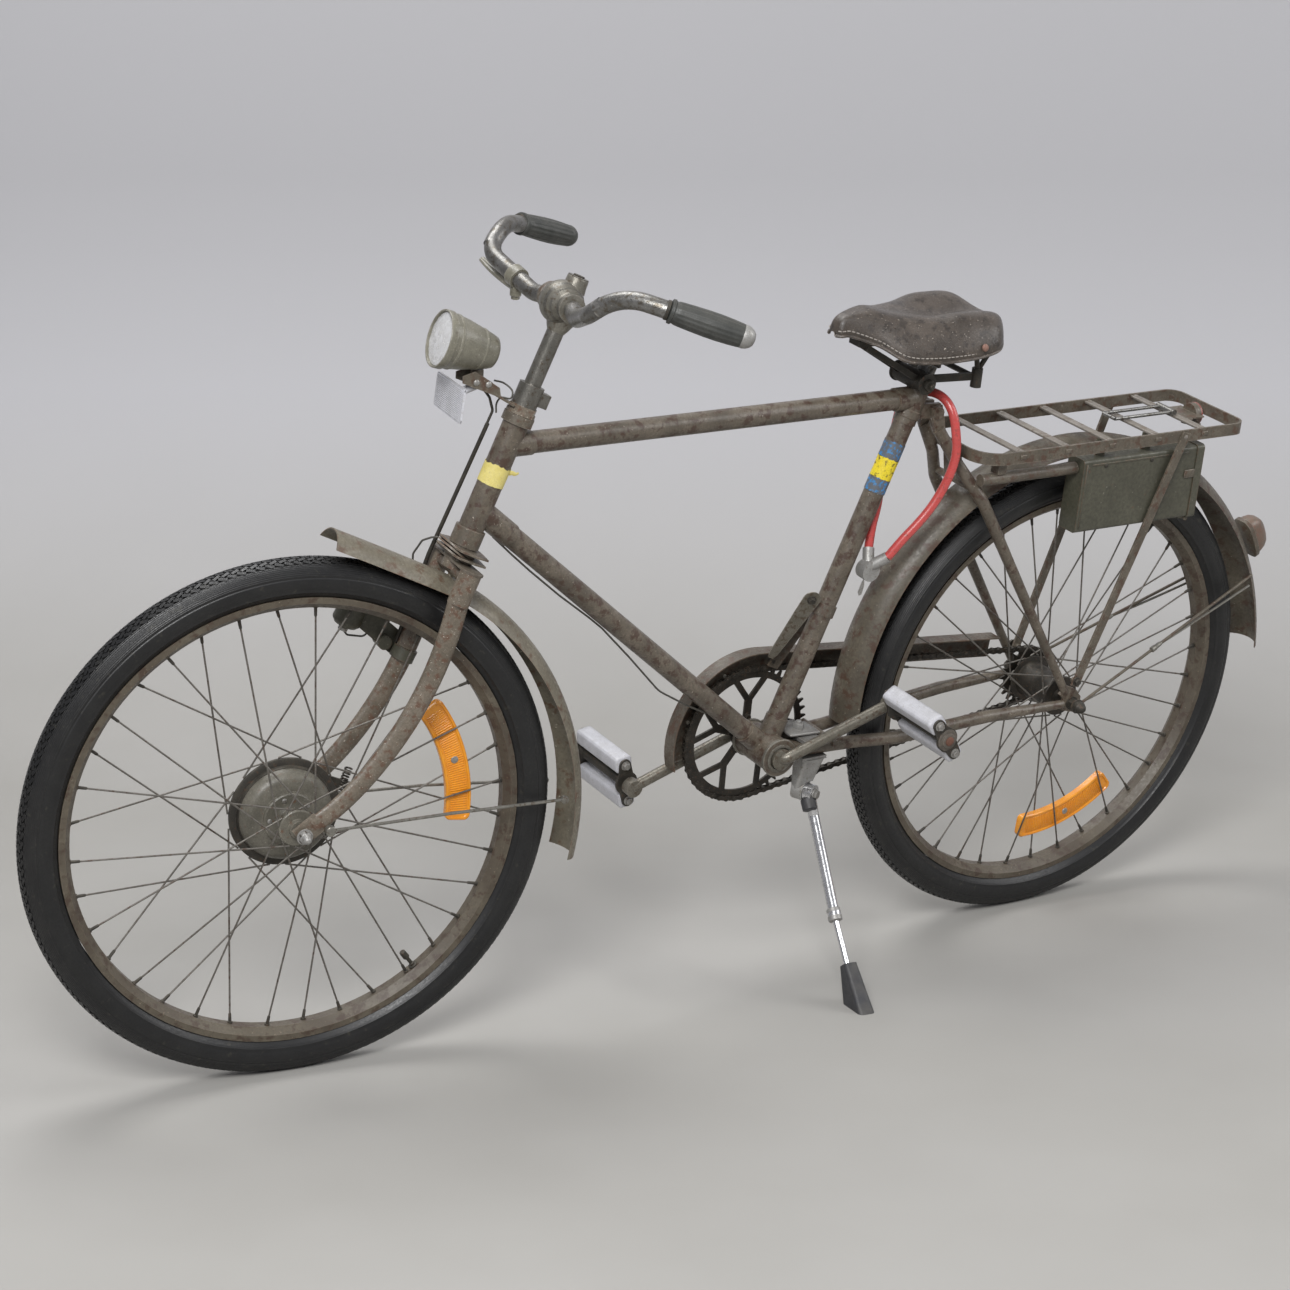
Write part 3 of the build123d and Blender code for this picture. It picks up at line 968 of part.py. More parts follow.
with BuildPart() as stand_leg:
    bar(STAND_HINGE + STAND_AXIS * CLEAR, STAND_HINGE + STAND_AXIS * 13, 12.5)
    start = STAND_HINGE + STAND_AXIS * 6.5
    bar(start, LEG_BEND, 7.5)
    with Locations(LEG_BEND):
        Sphere(7.5)
    bar(LEG_BEND, LEG_COLLAR, 7.5)
    bar(toward(LEG_COLLAR, LEG_BEND, 8), toward(LEG_COLLAR, LEG_BEND, -4), 9.5)
    bar(LEG_COLLAR, ROD_END, ROD_RADIUS)
    bar(STAND_HINGE - STAND_AXIS * 9, STAND_HINGE + STAND_AXIS * CLEAR, 14.5, Mode.SUBTRACT)
    bar(STAND_HINGE + STAND_AXIS * 13, STAND_HINGE + STAND_AXIS * 17, 12.5, Mode.SUBTRACT)
    bar(STAND_HINGE - STAND_AXIS * 1, STAND_HINGE + STAND_AXIS * 16, 5 + CLEAR, Mode.SUBTRACT)
finish(stand_leg, "stand_leg")
with BuildPart() as stand_foot:
    with BuildSketch(Plane(origin=FOOT_CENTRE, x_dir=FOOT_LONG, z_dir=FLOOR_UP)) as sole:
        RectangleRounded(53, 24, 7)
    foot_crest = Plane(origin=FOOT_TOP + Vector(0, 4, 0), x_dir=FOOT_LONG, z_dir=(LEG_COLLAR - FOOT_TOP))
    with BuildSketch(foot_crest) as top:
        RectangleRounded(20, 20, 6)
    loft([sole.sketch.face(), top.sketch.face()])
    bar(LEG_COLLAR, ROD_END, ROD_RADIUS, Mode.SUBTRACT)
finish(stand_foot, "stand_foot")

# ================================================================== cable lock and lamp lead
LOCK_BODY = Vector(364, 17, 240)
LOCK_RADIUS = 6.3
LOCK_ROUTE = [Vector(357, 4, 262), Vector(354, 0, 289), Vector(345, -4, 316), Vector(337, -13, 343),
              Vector(325, -23, 371), Vector(313, -30, 400), Vector(305, -35, 428), Vector(302, -35, 451),
              Vector(292, -23, 470), Vector(280, 0, 477), Vector(274, 23, 474), Vector(270, 40, 457),
              Vector(267, 47, 431), Vector(263, 49, 404), Vector(267, 48, 378), Vector(277, 46, 351),
              Vector(291, 44, 326), Vector(309, 41, 303), Vector(328, 36, 281), Vector(344, 31, 257)]
with BuildPart() as lock_cable:
    lock_bends = []
    for before, here, after in zip(LOCK_ROUTE, LOCK_ROUTE[1:], LOCK_ROUTE[2:]):
        turn = (here - before).get_angle(after - here)
        shorter = min((here - before).length, (after - here).length)
        lock_bends.append(0.45 * shorter / tan(radians(turn / 2)))
    pipe(LOCK_ROUTE, LOCK_RADIUS, lock_bends)
finish(lock_cable, "lock_cable")
with BuildPart() as cable_lock:
    bar(LOCK_BODY, LOCK_ROUTE[0], 8)
    bar(LOCK_BODY, LOCK_ROUTE[-1], 8)
    bar(LOCK_BODY + Vector(0, -9, -4), LOCK_BODY + Vector(0, 9, -4), 14)
    add(lock_cable.part, mode=Mode.SUBTRACT)
finish(cable_lock, "cable_lock")

# wires that the bicycle holds all the way, and the brake rod down the right fork blade
LEAD_RADIUS = 1.3
LAMP_LEAD = [DYNAMO_FOOT - DYNAMO_WAY * 12, fore(94, -78, 210), fore(116, -78, 206), fore(144, -74, 236),
             fore(159, -60, 264), fore(165, -43, 298), fore(163, -37, 326), fore(172, -30, 345),
             fore(182, -24, 350), fore(189, -20.5, 351)]
with BuildPart() as lamp_lead:
    pipe(LAMP_LEAD, LEAD_RADIUS, [5, 8, 12, 12, 12, 10, 8, 8])
    add(dynamo.part, mode=Mode.SUBTRACT)
    add(fork_crown.part, mode=Mode.SUBTRACT)
finish(lamp_lead, "lamp_lead", True)

BRAKE_ROD_TOP = fore(243, -8, 498)
BRAKE_ROD_RADIUS = 2.7
with BuildPart() as brake_rod:
    pipe([fore(232, -5, 546), fore(244, -8, 531), fore(249, -8, 514), BRAKE_ROD_TOP + Vector(3, -2, -8)],
         1.7, [6, 8])
    bar(BRAKE_ROD_TOP, fore(184.5, -38, 324.6), BRAKE_ROD_RADIUS)
    with Locations(fore(184.5, -38, 324.6)):
        Sphere(BRAKE_ROD_RADIUS + 0.05)
    bar(fore(184.5, -38, 324.6), DYNAMO_CLAMP + Vector(8, -6, 14), BRAKE_ROD_RADIUS)
    add(dynamo.part, mode=Mode.SUBTRACT)
    add(fork_blades.part, mode=Mode.SUBTRACT)
    add(lamp_bracket.part, mode=Mode.SUBTRACT)
finish(brake_rod, "brake_rod", True)

# the tail lamp's wire hangs in two slack bows under the down tube: along it, and away from it
DOWN_TUBE_WAY = Vector(0.7655, 0, 0.6434)
DOWN_TUBE_UNDER = Vector(0.6434, 0, -0.7655)
FRAME_LEAD = [(586, 14.7), (545, 17), (507, 18.2), (445, 18.4), (383, 16), (356, 16), (289, 22.5),
              (213, 32), (158, 23), (122, 14.7)]
with BuildPart() as frame_lead:
    pipe([BRACKET + DOWN_TUBE_WAY * along + DOWN_TUBE_UNDER * under for along, under in FRAME_LEAD],
         LEAD_RADIUS, [40, 60, 60, 60, 30, 60, 60, 40])
    add(main_tubes.part, mode=Mode.SUBTRACT)
    add(head_tube.part, mode=Mode.SUBTRACT)
    add(bottom_bracket.part, mode=Mode.SUBTRACT)
finish(frame_lead, "frame_lead")

# ================================================================== parked placement and export
STEERING_AXIS = Axis(STEER_FOOT, UP_AXIS)
floor_ahead = (Vector(1, 0, 0) - FLOOR_UP * FLOOR_UP.X).normalized()
STANDING = Plane(origin=FLOOR_UP * FLOOR_LEVEL, x_dir=floor_ahead, z_dir=FLOOR_UP)
placed = {}
for node, (piece, turns_with_fork) in PIECES.items():
    part = piece.part.rotate(STEERING_AXIS, STEER_PARKED) if turns_with_fork else piece.part
    placed[node] = STANDING.to_local_coords(part)
boxes = [part.bounding_box() for part in placed.values()]
low = Vector(*(min(values) for values in zip(*(tuple(box.min) for box in boxes))))
high = Vector(*(max(values) for values in zip(*(tuple(box.max) for box in boxes))))
middle = Location((-(low.X + high.X) / 2, -(low.Y + high.Y) / 2, 0))
for node, part in placed.items():
    piece = PIECES[node][0]
    piece.part = part.moved(middle)
    piece.part.label = node
    export_step(piece.part, f"parts/{node}.step")
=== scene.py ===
import logging
from collections.abc import Callable, Sequence
from dataclasses import dataclass
from enum import Enum
from math import asin, atan2, cos, exp, hypot, log, pi, radians, sin, tau

import bmesh
import bpy
from mathutils import Matrix, Vector


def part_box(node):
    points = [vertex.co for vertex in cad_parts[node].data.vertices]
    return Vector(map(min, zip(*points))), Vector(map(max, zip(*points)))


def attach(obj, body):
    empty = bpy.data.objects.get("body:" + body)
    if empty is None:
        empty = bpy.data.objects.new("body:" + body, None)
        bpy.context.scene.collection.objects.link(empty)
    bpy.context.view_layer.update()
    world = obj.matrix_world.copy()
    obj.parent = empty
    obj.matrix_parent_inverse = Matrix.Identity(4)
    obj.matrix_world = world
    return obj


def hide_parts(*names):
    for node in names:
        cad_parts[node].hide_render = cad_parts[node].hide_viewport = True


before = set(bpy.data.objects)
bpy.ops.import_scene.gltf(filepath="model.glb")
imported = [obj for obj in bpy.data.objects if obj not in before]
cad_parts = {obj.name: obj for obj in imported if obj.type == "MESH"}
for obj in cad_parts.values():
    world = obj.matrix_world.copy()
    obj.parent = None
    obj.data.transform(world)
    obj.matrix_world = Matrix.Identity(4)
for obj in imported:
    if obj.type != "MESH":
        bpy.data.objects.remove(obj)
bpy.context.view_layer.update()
LOG = logging.getLogger("bicycle")
MM = 0.001
WHEELBASE = 1206.0
BRACKET_X, BRACKET_Z = 491.0, -15.0
SEAT_ANGLE = radians(69.4)
HEAD_ANGLE = radians(68)
FORK_OFFSET = 70.5


def vec(x: float, y: float, z: float) -> Vector:
    """A point or a direction, in millimetres where it is drawn."""
    return Vector((x, y, z))


ORIGIN = vec(0, 0, 0)
LEFTWARD = vec(0, 1, 0)
UPWARD = vec(0, 0, 1)


# ---- places


class Place:
    """Where the bicycle, drawn upright in millimetres from its rear axle, stands in the shared frame."""

    PITCH = radians(0.0554)
    LEAN = radians(9.6)
    STEERED = radians(-9.4)
    UP = vec(-cos(HEAD_ANGLE), 0, sin(HEAD_ANGLE))
    AHEAD = vec(sin(HEAD_ANGLE), 0, cos(HEAD_ANGLE))
    FOOT = vec(WHEELBASE, 0, 0) - AHEAD * FORK_OFFSET

    def __init__(self) -> None:
        """Works out the leaning frame's and the turned fork's matrices."""
        up = vec(sin(self.PITCH), -sin(self.LEAN) * cos(self.PITCH),
                 cos(self.LEAN) * cos(self.PITCH))
        ahead = (vec(1, 0, 0) - up * up.x).normalized()
        low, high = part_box("rear_tyre")
        self.home = (low + high) / 2
        turn = Matrix((ahead, up.cross(ahead), up)).to_4x4()
        self.frame = Matrix.Translation(self.home) @ turn @ Matrix.Scale(MM, 4)
        swing = Matrix.Rotation(self.STEERED, 4, self.UP)
        self.fork = self.frame @ Matrix.Translation(self.FOOT) @ swing @ Matrix.Translation(-self.FOOT)

    def on(self, body: str) -> Matrix:
        """The matrix of the upright drawing for a piece on a body."""
        return self.fork if body in ("fork", "front_wheel") else self.frame

    def wheel(self, body: str) -> Matrix:
        """The matrix of a wheel drawn flat, its axle along z towards the right side."""
        centre = vec(WHEELBASE, 0, 0) if body in ("fork", "front_wheel") else vec(0, 0, 0)
        basis = Matrix(((1, 0, 0, 0), (0, 0, -1, 0), (0, 1, 0, 0), (0, 0, 0, 1)))
        return self.on(body) @ Matrix.Translation(centre) @ basis

    def steering(self, along: float, ahead: float = 0, left: float = 0) -> Vector:
        """A point near the steering axis, in the upright drawing.

        Args:
            along: distance up the axis from its foot.
            ahead: distance in front of it.
            left: distance to its left.

        Returns:
            The point, in millimetres.
        """
        return self.FOOT + self.UP * along + self.AHEAD * ahead + vec(0, left, 0)


PLACE = Place()


def polar(radius: float, degrees: float, left: float = 0, centre: float = 0) -> Vector:
    """A point of a wheel: radius and angle from straight ahead, and how far to the left.

    Args:
        radius: distance from the axle.
        degrees: angle up from straight ahead.
        left: distance to the left of the wheel's plane.
        centre: how far ahead of the rear axle the wheel's own axle is.

    Returns:
        The point, in millimetres.
    """
    turn = radians(degrees)
    return vec(centre + radius * cos(turn), left, radius * sin(turn))


def aside(side: Vector, way: Vector, turn: float) -> Vector:
    """The direction at an angle round an axis, counted from one that is square to it."""
    return side * cos(turn) + way.cross(side) * sin(turn)


def smooth_line(points: Sequence[Vector], steps: int = 6) -> list[Vector]:
    """A smooth line through points.

    Args:
        points: where it passes.
        steps: pieces between two of them.

    Returns:
        The line's points.
    """
    ends = [points[0] * 2 - points[1], *points, points[-1] * 2 - points[-2]]
    line = []
    for a, b, c, d in zip(ends, ends[1:], ends[2:], ends[3:]):
        for step in range(steps):
            t = step / steps
            line.append(
                0.5 * (2 * b + (c - a) * t + (2 * a - 5 * b + 4 * c - d) * t * t + (3 * b - a - 3 * c + d) * t * t * t))
    return [*line, points[-1].copy()]


# ---- mesh work


class Draft:
    """A mesh drawn in millimetres, placed in the shared frame when it is finished."""

    def __init__(self) -> None:
        """Starts an empty mesh."""
        self.mesh = bmesh.new()

    def _ring(self, centre: Vector, across: Vector, up: Vector, radius: float, steps: int) -> list:
        """Adds a ring of vertices round a point."""
        turns = [2 * pi * step / steps for step in range(steps)]
        return [self.mesh.verts.new(centre + (across * cos(a) + up * sin(a)) * radius) for a in turns]

    def skin(self, rings: list[list], closed: bool = False) -> None:
        """Joins rings of vertices with faces and closes the ends."""
        pairs = list(zip(rings, rings[1:])) + ([(rings[-1], rings[0])] if closed else [])
        for low, high in pairs:
            count = len(low)
            for index in range(count):
                after = (index + 1) % count
                self.mesh.faces.new((low[index], low[after], high[after], high[index]))
        if not closed:
            self.mesh.faces.new(rings[0][::-1])
            self.mesh.faces.new(rings[-1])

    def tube(self, points: Sequence[Vector], radii: float | Sequence[float], steps: int = 12,
             flat: float = 1.0, closed: bool = False) -> "Draft":
        """A round or flattened rod along a line.

        Args:
            points: the line.
            radii: one radius, or one for each point.
            steps: faces round it.
            flat: thickness across, as a share of its width.
            closed: whether its end joins its start.

        Returns:
            The draft itself.
        """
        sizes = [radii] * len(points) if isinstance(radii, (int, float)) else list(radii)
        up = None
        rings = []
        for index, point in enumerate(points):
            if closed:
                way = points[(index + 1) % len(points)] - points[index - 1]
            else:
                way = points[min(index + 1, len(points) - 1)] - points[max(index - 1, 0)]
            way.normalize()
            if up is None:
                up = LEFTWARD if abs(way.y) < 0.9 else UPWARD
            up = (up - way * up.dot(way)).normalized()
            rings.append(self._ring(Vector(point), up.cross(way), up * flat, sizes[index], steps))
        self.skin(rings, closed)
        return self

    def lathe(self, profile: Sequence[tuple[float, float]], base: Vector, axis: Vector, steps: int = 32,
              closed: bool = False) -> "Draft":
        """A turned shape.

        Args:
            profile: (distance along the axis, radius) pairs.
            base: where the distances start.
            axis: the way that they go.
            steps: faces round it.
            closed: whether the profile's end joins its start, as on a ring.

        Returns:
            The draft itself.
        """
        way = axis.normalized()
        side = way.orthogonal().normalized()
        self.skin([self._ring(base + way * along, side, way.cross(side), max(radius, 0.05), steps) for along,
                   radius in profile], closed)
        return self

    def rod(self, start: Vector, end: Vector, radius: float, steps: int = 12, bevel: float = 0.15) -> "Draft":
        """A straight round bar with softened ends.

        Args:
            start: one end.
            end: the other.
            radius: its radius.
            steps: faces round it.
            bevel: how far its ends are chamfered, as a share of the radius.

        Returns:
            The draft itself.
        """
        length = (end - start).length
        cut = min(radius * bevel, length / 3)
        return self.lathe([(0, radius - cut), (cut, radius), (length - cut, radius), (length, radius - cut)], start,
                          end - start, steps)

    def nut(self, start: Vector, end: Vector, radius: float) -> "Draft":
        """A hexagon nut between two points."""
        length = (end - start).length
        return self.lathe(
            [(0, radius * 0.93), (0.8, radius), (length - 0.8, radius), (length, radius * 0.93)], start, end - start, 6)

    def slab(self, outline: Sequence[Vector], thickness: Vector) -> "Draft":
        """A plate.

        Args:
            outline: its corners, in order.
            thickness: how far and which way it goes from them.

        Returns:
            The draft itself.
        """
        low = [self.mesh.verts.new(point) for point in outline]
        high = [self.mesh.verts.new(point + thickness) for point in outline]
        self.skin([low, high])
        return self

    def block(self, centre: Vector, long: Vector, wide: Vector, tall: Vector, round_off: float = 0.0) -> "Draft":
        """A block with eased corners.

        Args:
            centre: its middle.
            long: half its length, with its direction.
            wide: half its width.
            tall: half its height.
            round_off: how much of each corner is cut off, in millimetres.

        Returns:
            The draft itself.
        """
        def section(at: Vector, shrink: float) -> list:
            """The octagon across the block at a point."""
            w, t = wide.length - shrink, tall.length - shrink
            e = round_off
            corners = [(w, e - t), (w, t - e), (w - e, t), (e - w, t), (-w, t - e), (-w, e - t), (e - w, -t),
                       (w - e, -t)]
            if e == 0:
                corners = [(w, -t), (w, t), (-w, t), (-w, -t)]
            return [self.mesh.verts.new(at + wide.normalized() * a + tall.normalized() * b) for a, b in corners]
        ease = long.normalized() * round_off
        rings = [section(centre - long, round_off * 0.7), section(centre - long + ease, 0),
                 section(centre + long - ease, 0), section(centre + long, round_off * 0.7)]
        self.skin(rings if round_off else [rings[0], rings[-1]])
        return self

    def grid(self, rows: Sequence[Sequence[Vector]], closed: bool = False) -> "Draft":
        """A sheet through rows of points.

        Args:
            rows: the points, row by row, as many in each.
            closed: whether each row is a ring.

        Returns:
            The draft itself.
        """
        made = [[self.mesh.verts.new(point) for point in row] for row in rows]
        for low, high in zip(made, made[1:]):
            count = len(low)
            for index in range(count if closed else count - 1):
                after = (index + 1) % count
                self.mesh.faces.new((low[index], low[after], high[after], high[index]))
        return self

    def finish(self, name: str, matrix: Matrix, sharp: float = 38) -> bpy.types.Object:
        """Makes the object, at the origin with its place in its mesh.

        Args:
            name: the piece's name.
            matrix: from the drawing to the shared frame.
            sharp: edges sharper than this many degrees stay crisp.

        Returns:
            The object.
        """
        bmesh.ops.recalc_face_normals(self.mesh, faces=self.mesh.faces)
        self.mesh.transform(matrix)
        data = bpy.data.meshes.new(name)
        self.mesh.to_mesh(data)
        self.mesh.free()
        data.shade_smooth()
        data.set_sharp_from_angle(angle=radians(sharp))
        made = bpy.data.objects.new(name, data)
        bpy.context.scene.collection.objects.link(made)
        return made


def fit(piece: bpy.types.Object, body: str, slot: str, material: bpy.types.Material,
        replaces: Sequence[str] = ()) -> bpy.types.Object:
    """Gives a piece its material and puts it on its body.

    Args:
        piece: the finished piece.
        body: the body that it moves with.
        slot: the record's material slot; not used.
        material: its finish.
        replaces: nodes that it stands for.

    Returns:
        The piece.
    """
    if not piece.data.materials:
        piece.data.materials.append(material)
    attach(piece, body)
    if replaces:
        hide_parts(*replaces)
    LOG.info("%s on %s", piece.name, body)
    return piece


# ---- node trees


class Web:
    """Adds nodes to a tree and joins them."""

    def __init__(self, tree: bpy.types.NodeTree) -> None:
        """Keeps the tree."""
        self.tree = tree

    def add(self, kind: str, inputs: dict | None = None, **settings: object) -> bpy.types.Node:
        """Adds a node.

        Args:
            kind: its type's name.
            inputs: values or output sockets for its inputs, by name or number.
            settings: its own properties.

        Returns:
            The node.
        """
        node = self.tree.nodes.new(kind)
        for key, value in settings.items():
            setattr(node, key, value)
        for key, value in (inputs or {}).items():
            self.feed(node.inputs[key], value)
        return node

    def feed(self, socket: bpy.types.NodeSocket, value: object) -> None:
        """Sets an input socket, or links an output to it."""
        if isinstance(value, bpy.types.NodeSocket):
            self.tree.links.new(value, socket)
        else:
            socket.default_value = value

    def math(self, operation: str, a: object, b: object = 0.0, clamp: bool = False) -> bpy.types.NodeSocket:
        """A sum of two values."""
        return self.add("ShaderNodeMath", {0: a, 1: b}, operation=operation, use_clamp=clamp).outputs[0]

    def mix(self, share: object, a: object, b: object, blend: str = "MIX") -> bpy.types.NodeSocket:
        """A blend of two colours."""
        node = self.add("ShaderNodeMix", data_type="RGBA", blend_type=blend)
        self.feed(node.inputs["Factor"], share)
        self.feed(node.inputs[6], a)
        self.feed(node.inputs[7], b)
        return node.outputs[2]

    def span(self, value: object, low: float, high: float, to_low: float = 0.0,
             to_high: float = 1.0) -> bpy.types.NodeSocket:
        """A value stretched from one range to another."""
        return self.add("ShaderNodeMapRange", {0: value, 1: low, 2: high, 3: to_low, 4: to_high}).outputs[0]


def rgba(colour: Sequence[float]) -> tuple[float, float, float, float]:
    """A colour with full alpha."""
    return (colour[0], colour[1], colour[2], 1.0)


class Groups:
    """Shader node groups that several finishes share, each built once."""

    def __init__(self) -> None:
        """Builds the groups."""
        self.drawing = {"frame": self._drawing("frame", PLACE.frame), "fork": self._drawing("fork", PLACE.fork)}
        self.blotch = self._blotch()
        self.wear = self._wear()
        self.dust = self._dust()

    def _new(self, name: str, inputs: dict[str, tuple[str, object]], outputs: dict[str, str]) -> tuple:
        """An empty group with its sockets."""
        tree = bpy.data.node_groups.new(name, "ShaderNodeTree")
        for key, (kind, value) in inputs.items():
            socket = tree.interface.new_socket(key, in_out="INPUT", socket_type=kind)
            if value is not None:
                socket.default_value = value
        for key, kind in outputs.items():
            tree.interface.new_socket(key, in_out="OUTPUT", socket_type=kind)
        web = Web(tree)
        return tree, web, web.add("NodeGroupInput"), web.add("NodeGroupOutput")

    def _drawing(self, name: str, matrix: Matrix) -> bpy.types.NodeTree:
        """Object coordinates turned back to the upright drawing, in millimetres."""
        tree, web, _, out = self._new("drawing_" + name, {}, {"Vector": "NodeSocketVector"})
        back = matrix.inverted()
        place, turn, size = back.decompose()
        coordinates = web.add("ShaderNodeTexCoord")
        mapped = web.add(
            "ShaderNodeMapping", {"Vector": coordinates.outputs["Object"], "Location": place,
            "Rotation": turn.to_euler(), "Scale": size})
        web.feed(out.inputs["Vector"], mapped.outputs[0])
        return tree

    def _blotch(self) -> bpy.types.NodeTree:
        """Patches of a size, from sharp spots to soft clouds."""
        tree, web, give, out = self._new(
            "blotch", {"Vector": ("NodeSocketVector", None), "Size": ("NodeSocketFloat", 30.0),
            "Detail": ("NodeSocketFloat", 4.0), "From": ("NodeSocketFloat", 0.45), "To": ("NodeSocketFloat", 0.6),
            "Shift": ("NodeSocketFloat", 0.0)}, {"Mask": "NodeSocketFloat"})
        moved = web.add("ShaderNodeVectorMath", {0: give.outputs["Vector"], 1: give.outputs["Shift"]}, operation="ADD")
        scale = web.math("DIVIDE", 1.0, give.outputs["Size"])
        noise = web.add(
            "ShaderNodeTexNoise", {"Vector": moved.outputs[0], "Scale": scale, "Detail": give.outputs["Detail"],
            "Roughness": 0.62})
        node = web.add("ShaderNodeMapRange", {0: noise.outputs[0], 1: give.outputs["From"], 2: give.outputs["To"]})
        web.feed(out.inputs["Mask"], node.outputs[0])
        return tree

    def _wear(self) -> bpy.types.NodeTree:
        """Where edges stand proud and the finish has rubbed off."""
        tree, web, give, out = self._new(
            "edge_wear", {"Vector": ("NodeSocketVector", None), "Reach": ("NodeSocketFloat", 0.0015),
            "Amount": ("NodeSocketFloat", 1.0), "Size": ("NodeSocketFloat", 9.0)}, {"Mask": "NodeSocketFloat"})
        soft = web.add("ShaderNodeBevel", {"Radius": give.outputs["Reach"]}, samples=3)
        true = web.add("ShaderNodeNewGeometry")
        dot = web.add("ShaderNodeVectorMath", {0: soft.outputs[0], 1: true.outputs["Normal"]}, operation="DOT_PRODUCT")
        bent = web.span(dot.outputs["Value"], 0.99, 0.85)
        scale = web.math("DIVIDE", 1.0, give.outputs["Size"])
        noise = web.add("ShaderNodeTexNoise", {"Vector": give.outputs["Vector"], "Scale": scale, "Detail": 5.0})
        rough = web.span(noise.outputs[0], 0.4, 0.62)
        web.feed(
            out.inputs["Mask"], web.math("MULTIPLY", web.math("MULTIPLY", bent, rough), give.outputs["Amount"], True))
        return tree

    def _dust(self) -> bpy.types.NodeTree:
        """Dust on what faces up."""
        tree, web, give, out = self._new(
            "dust", {"Vector": ("NodeSocketVector", None), "Amount": ("NodeSocketFloat", 0.4),
            "Size": ("NodeSocketFloat", 25.0)}, {"Mask": "NodeSocketFloat"})
        facing = web.add("ShaderNodeTexCoord")
        height = web.add("ShaderNodeSeparateXYZ", {0: facing.outputs["Normal"]}).outputs["Z"]
        scale = web.math("DIVIDE", 1.0, give.outputs["Size"])
        noise = web.add("ShaderNodeTexNoise", {"Vector": give.outputs["Vector"], "Scale": scale, "Detail": 6.0})
        upward = web.span(height, 0.1, 0.9)
        cover = web.math("MULTIPLY", upward, web.span(noise.outputs[0], 0.35, 0.65))
        web.feed(out.inputs["Mask"], web.math("MULTIPLY", cover, give.outputs["Amount"], True))
        return tree


class Side(Enum):
    """Which drawing a finish's pattern follows."""

    FRAME = "frame"
    FORK = "fork"


@dataclass(frozen=True)
class Finish:
    """A painted, plated or moulded surface with its stains, worn edges and dust."""

    name: str
    base: tuple[float, float, float]
    second: tuple[float, float, float]
    stain: tuple[float, float, float] = (0.13, 0.06, 0.035)
    stain_share: float = 0.0
    spots: tuple[float, float, float] = (0.3, 0.28, 0.24)
    spot_share: float = 0.0
    worn: tuple[float, float, float] = (0.3, 0.28, 0.25)
    wear: float = 0.0
    dust: float = 0.0
    dust_colour: tuple[float, float, float] = (0.22, 0.2, 0.16)
    metal: float = 0.0
    roughness: float = 0.6
    size: float = 45.0
    pits: float = 0.3
    pit_size: float = 1.6
    coat: float = 0.0

    def make(self, groups: Groups, side: Side = Side.FRAME) -> bpy.types.Material:
        """Builds the material.

        Args:
            groups: the shared node groups.
            side: which drawing its pattern follows.

        Returns:
            The material.
        """
        name = f"{self.name}_{side.value}"
        if name in bpy.data.materials:
            return bpy.data.materials[name]
        material = bpy.data.materials.new(name)
        material.use_nodes = True
        web = Web(material.node_tree)
        shader = material.node_tree.nodes["Principled BSDF"]
        place = web.add("ShaderNodeGroup", node_tree=groups.drawing[side.value]).outputs[0]

        def blotch(size: float, low: float, high: float, shift: float, detail: float = 5.0) -> bpy.types.NodeSocket:
            """One mask of patches."""
            return web.add(
                "ShaderNodeGroup", {"Vector": place, "Size": size, "From": low, "To": high, "Shift": shift,
                "Detail": detail}, node_tree=groups.blotch).outputs[0]

        clouds = blotch(self.size, 0.36, 0.64, 0)
        colour = web.mix(clouds, rgba(self.base), rgba(self.second))
        fine = blotch(self.size / 14, 0.35, 0.65, 31, 4)
        colour = web.mix(web.math("MULTIPLY", fine, 0.5), colour, rgba([c * 0.55 for c in self.base]))
        rough = web.span(fine, 0, 1, self.roughness - 0.08, min(self.roughness + 0.12, 1))
        if self.stain_share:
            edge = 0.66 - 0.28 * self.stain_share
            wide = blotch(self.size * 0.26, edge, edge + 0.09, 73, 8)
            colour = web.mix(web.math("MULTIPLY", wide, 0.85), colour, rgba(self.stain))
        if self.spot_share:
            edge = 0.74 - 0.2 * self.spot_share
            colour = web.mix(blotch(self.size / 14, edge, edge + 0.05, 121, 4), colour, rgba(self.spots))
        if self.wear:
            rubbed = web.add(
                "ShaderNodeGroup", {"Vector": place, "Amount": self.wear}, node_tree=groups.wear).outputs[0]
            colour = web.mix(rubbed, colour, rgba(self.worn))
        if self.dust:
            lying = web.add("ShaderNodeGroup", {"Vector": place, "Amount": self.dust}, node_tree=groups.dust).outputs[0]
            colour = web.mix(lying, colour, rgba(self.dust_colour))
            rough = web.math("ADD", rough, web.math("MULTIPLY", lying, 0.2), True)
        web.feed(shader.inputs["Base Color"], colour)
        web.feed(shader.inputs["Roughness"], rough)
        shader.inputs["Metallic"].default_value = self.metal
        shader.inputs["Coat Weight"].default_value = self.coat
        shader.inputs["Coat Roughness"].default_value = 0.25
        if self.pits:
            height = blotch(self.pit_size, 0.3, 0.7, 211, 3)
            bump = web.add("ShaderNodeBump", {"Height": height, "Strength": self.pits, "Distance": 0.0004})
            web.feed(shader.inputs["Normal"], bump.outputs[0])
        return material


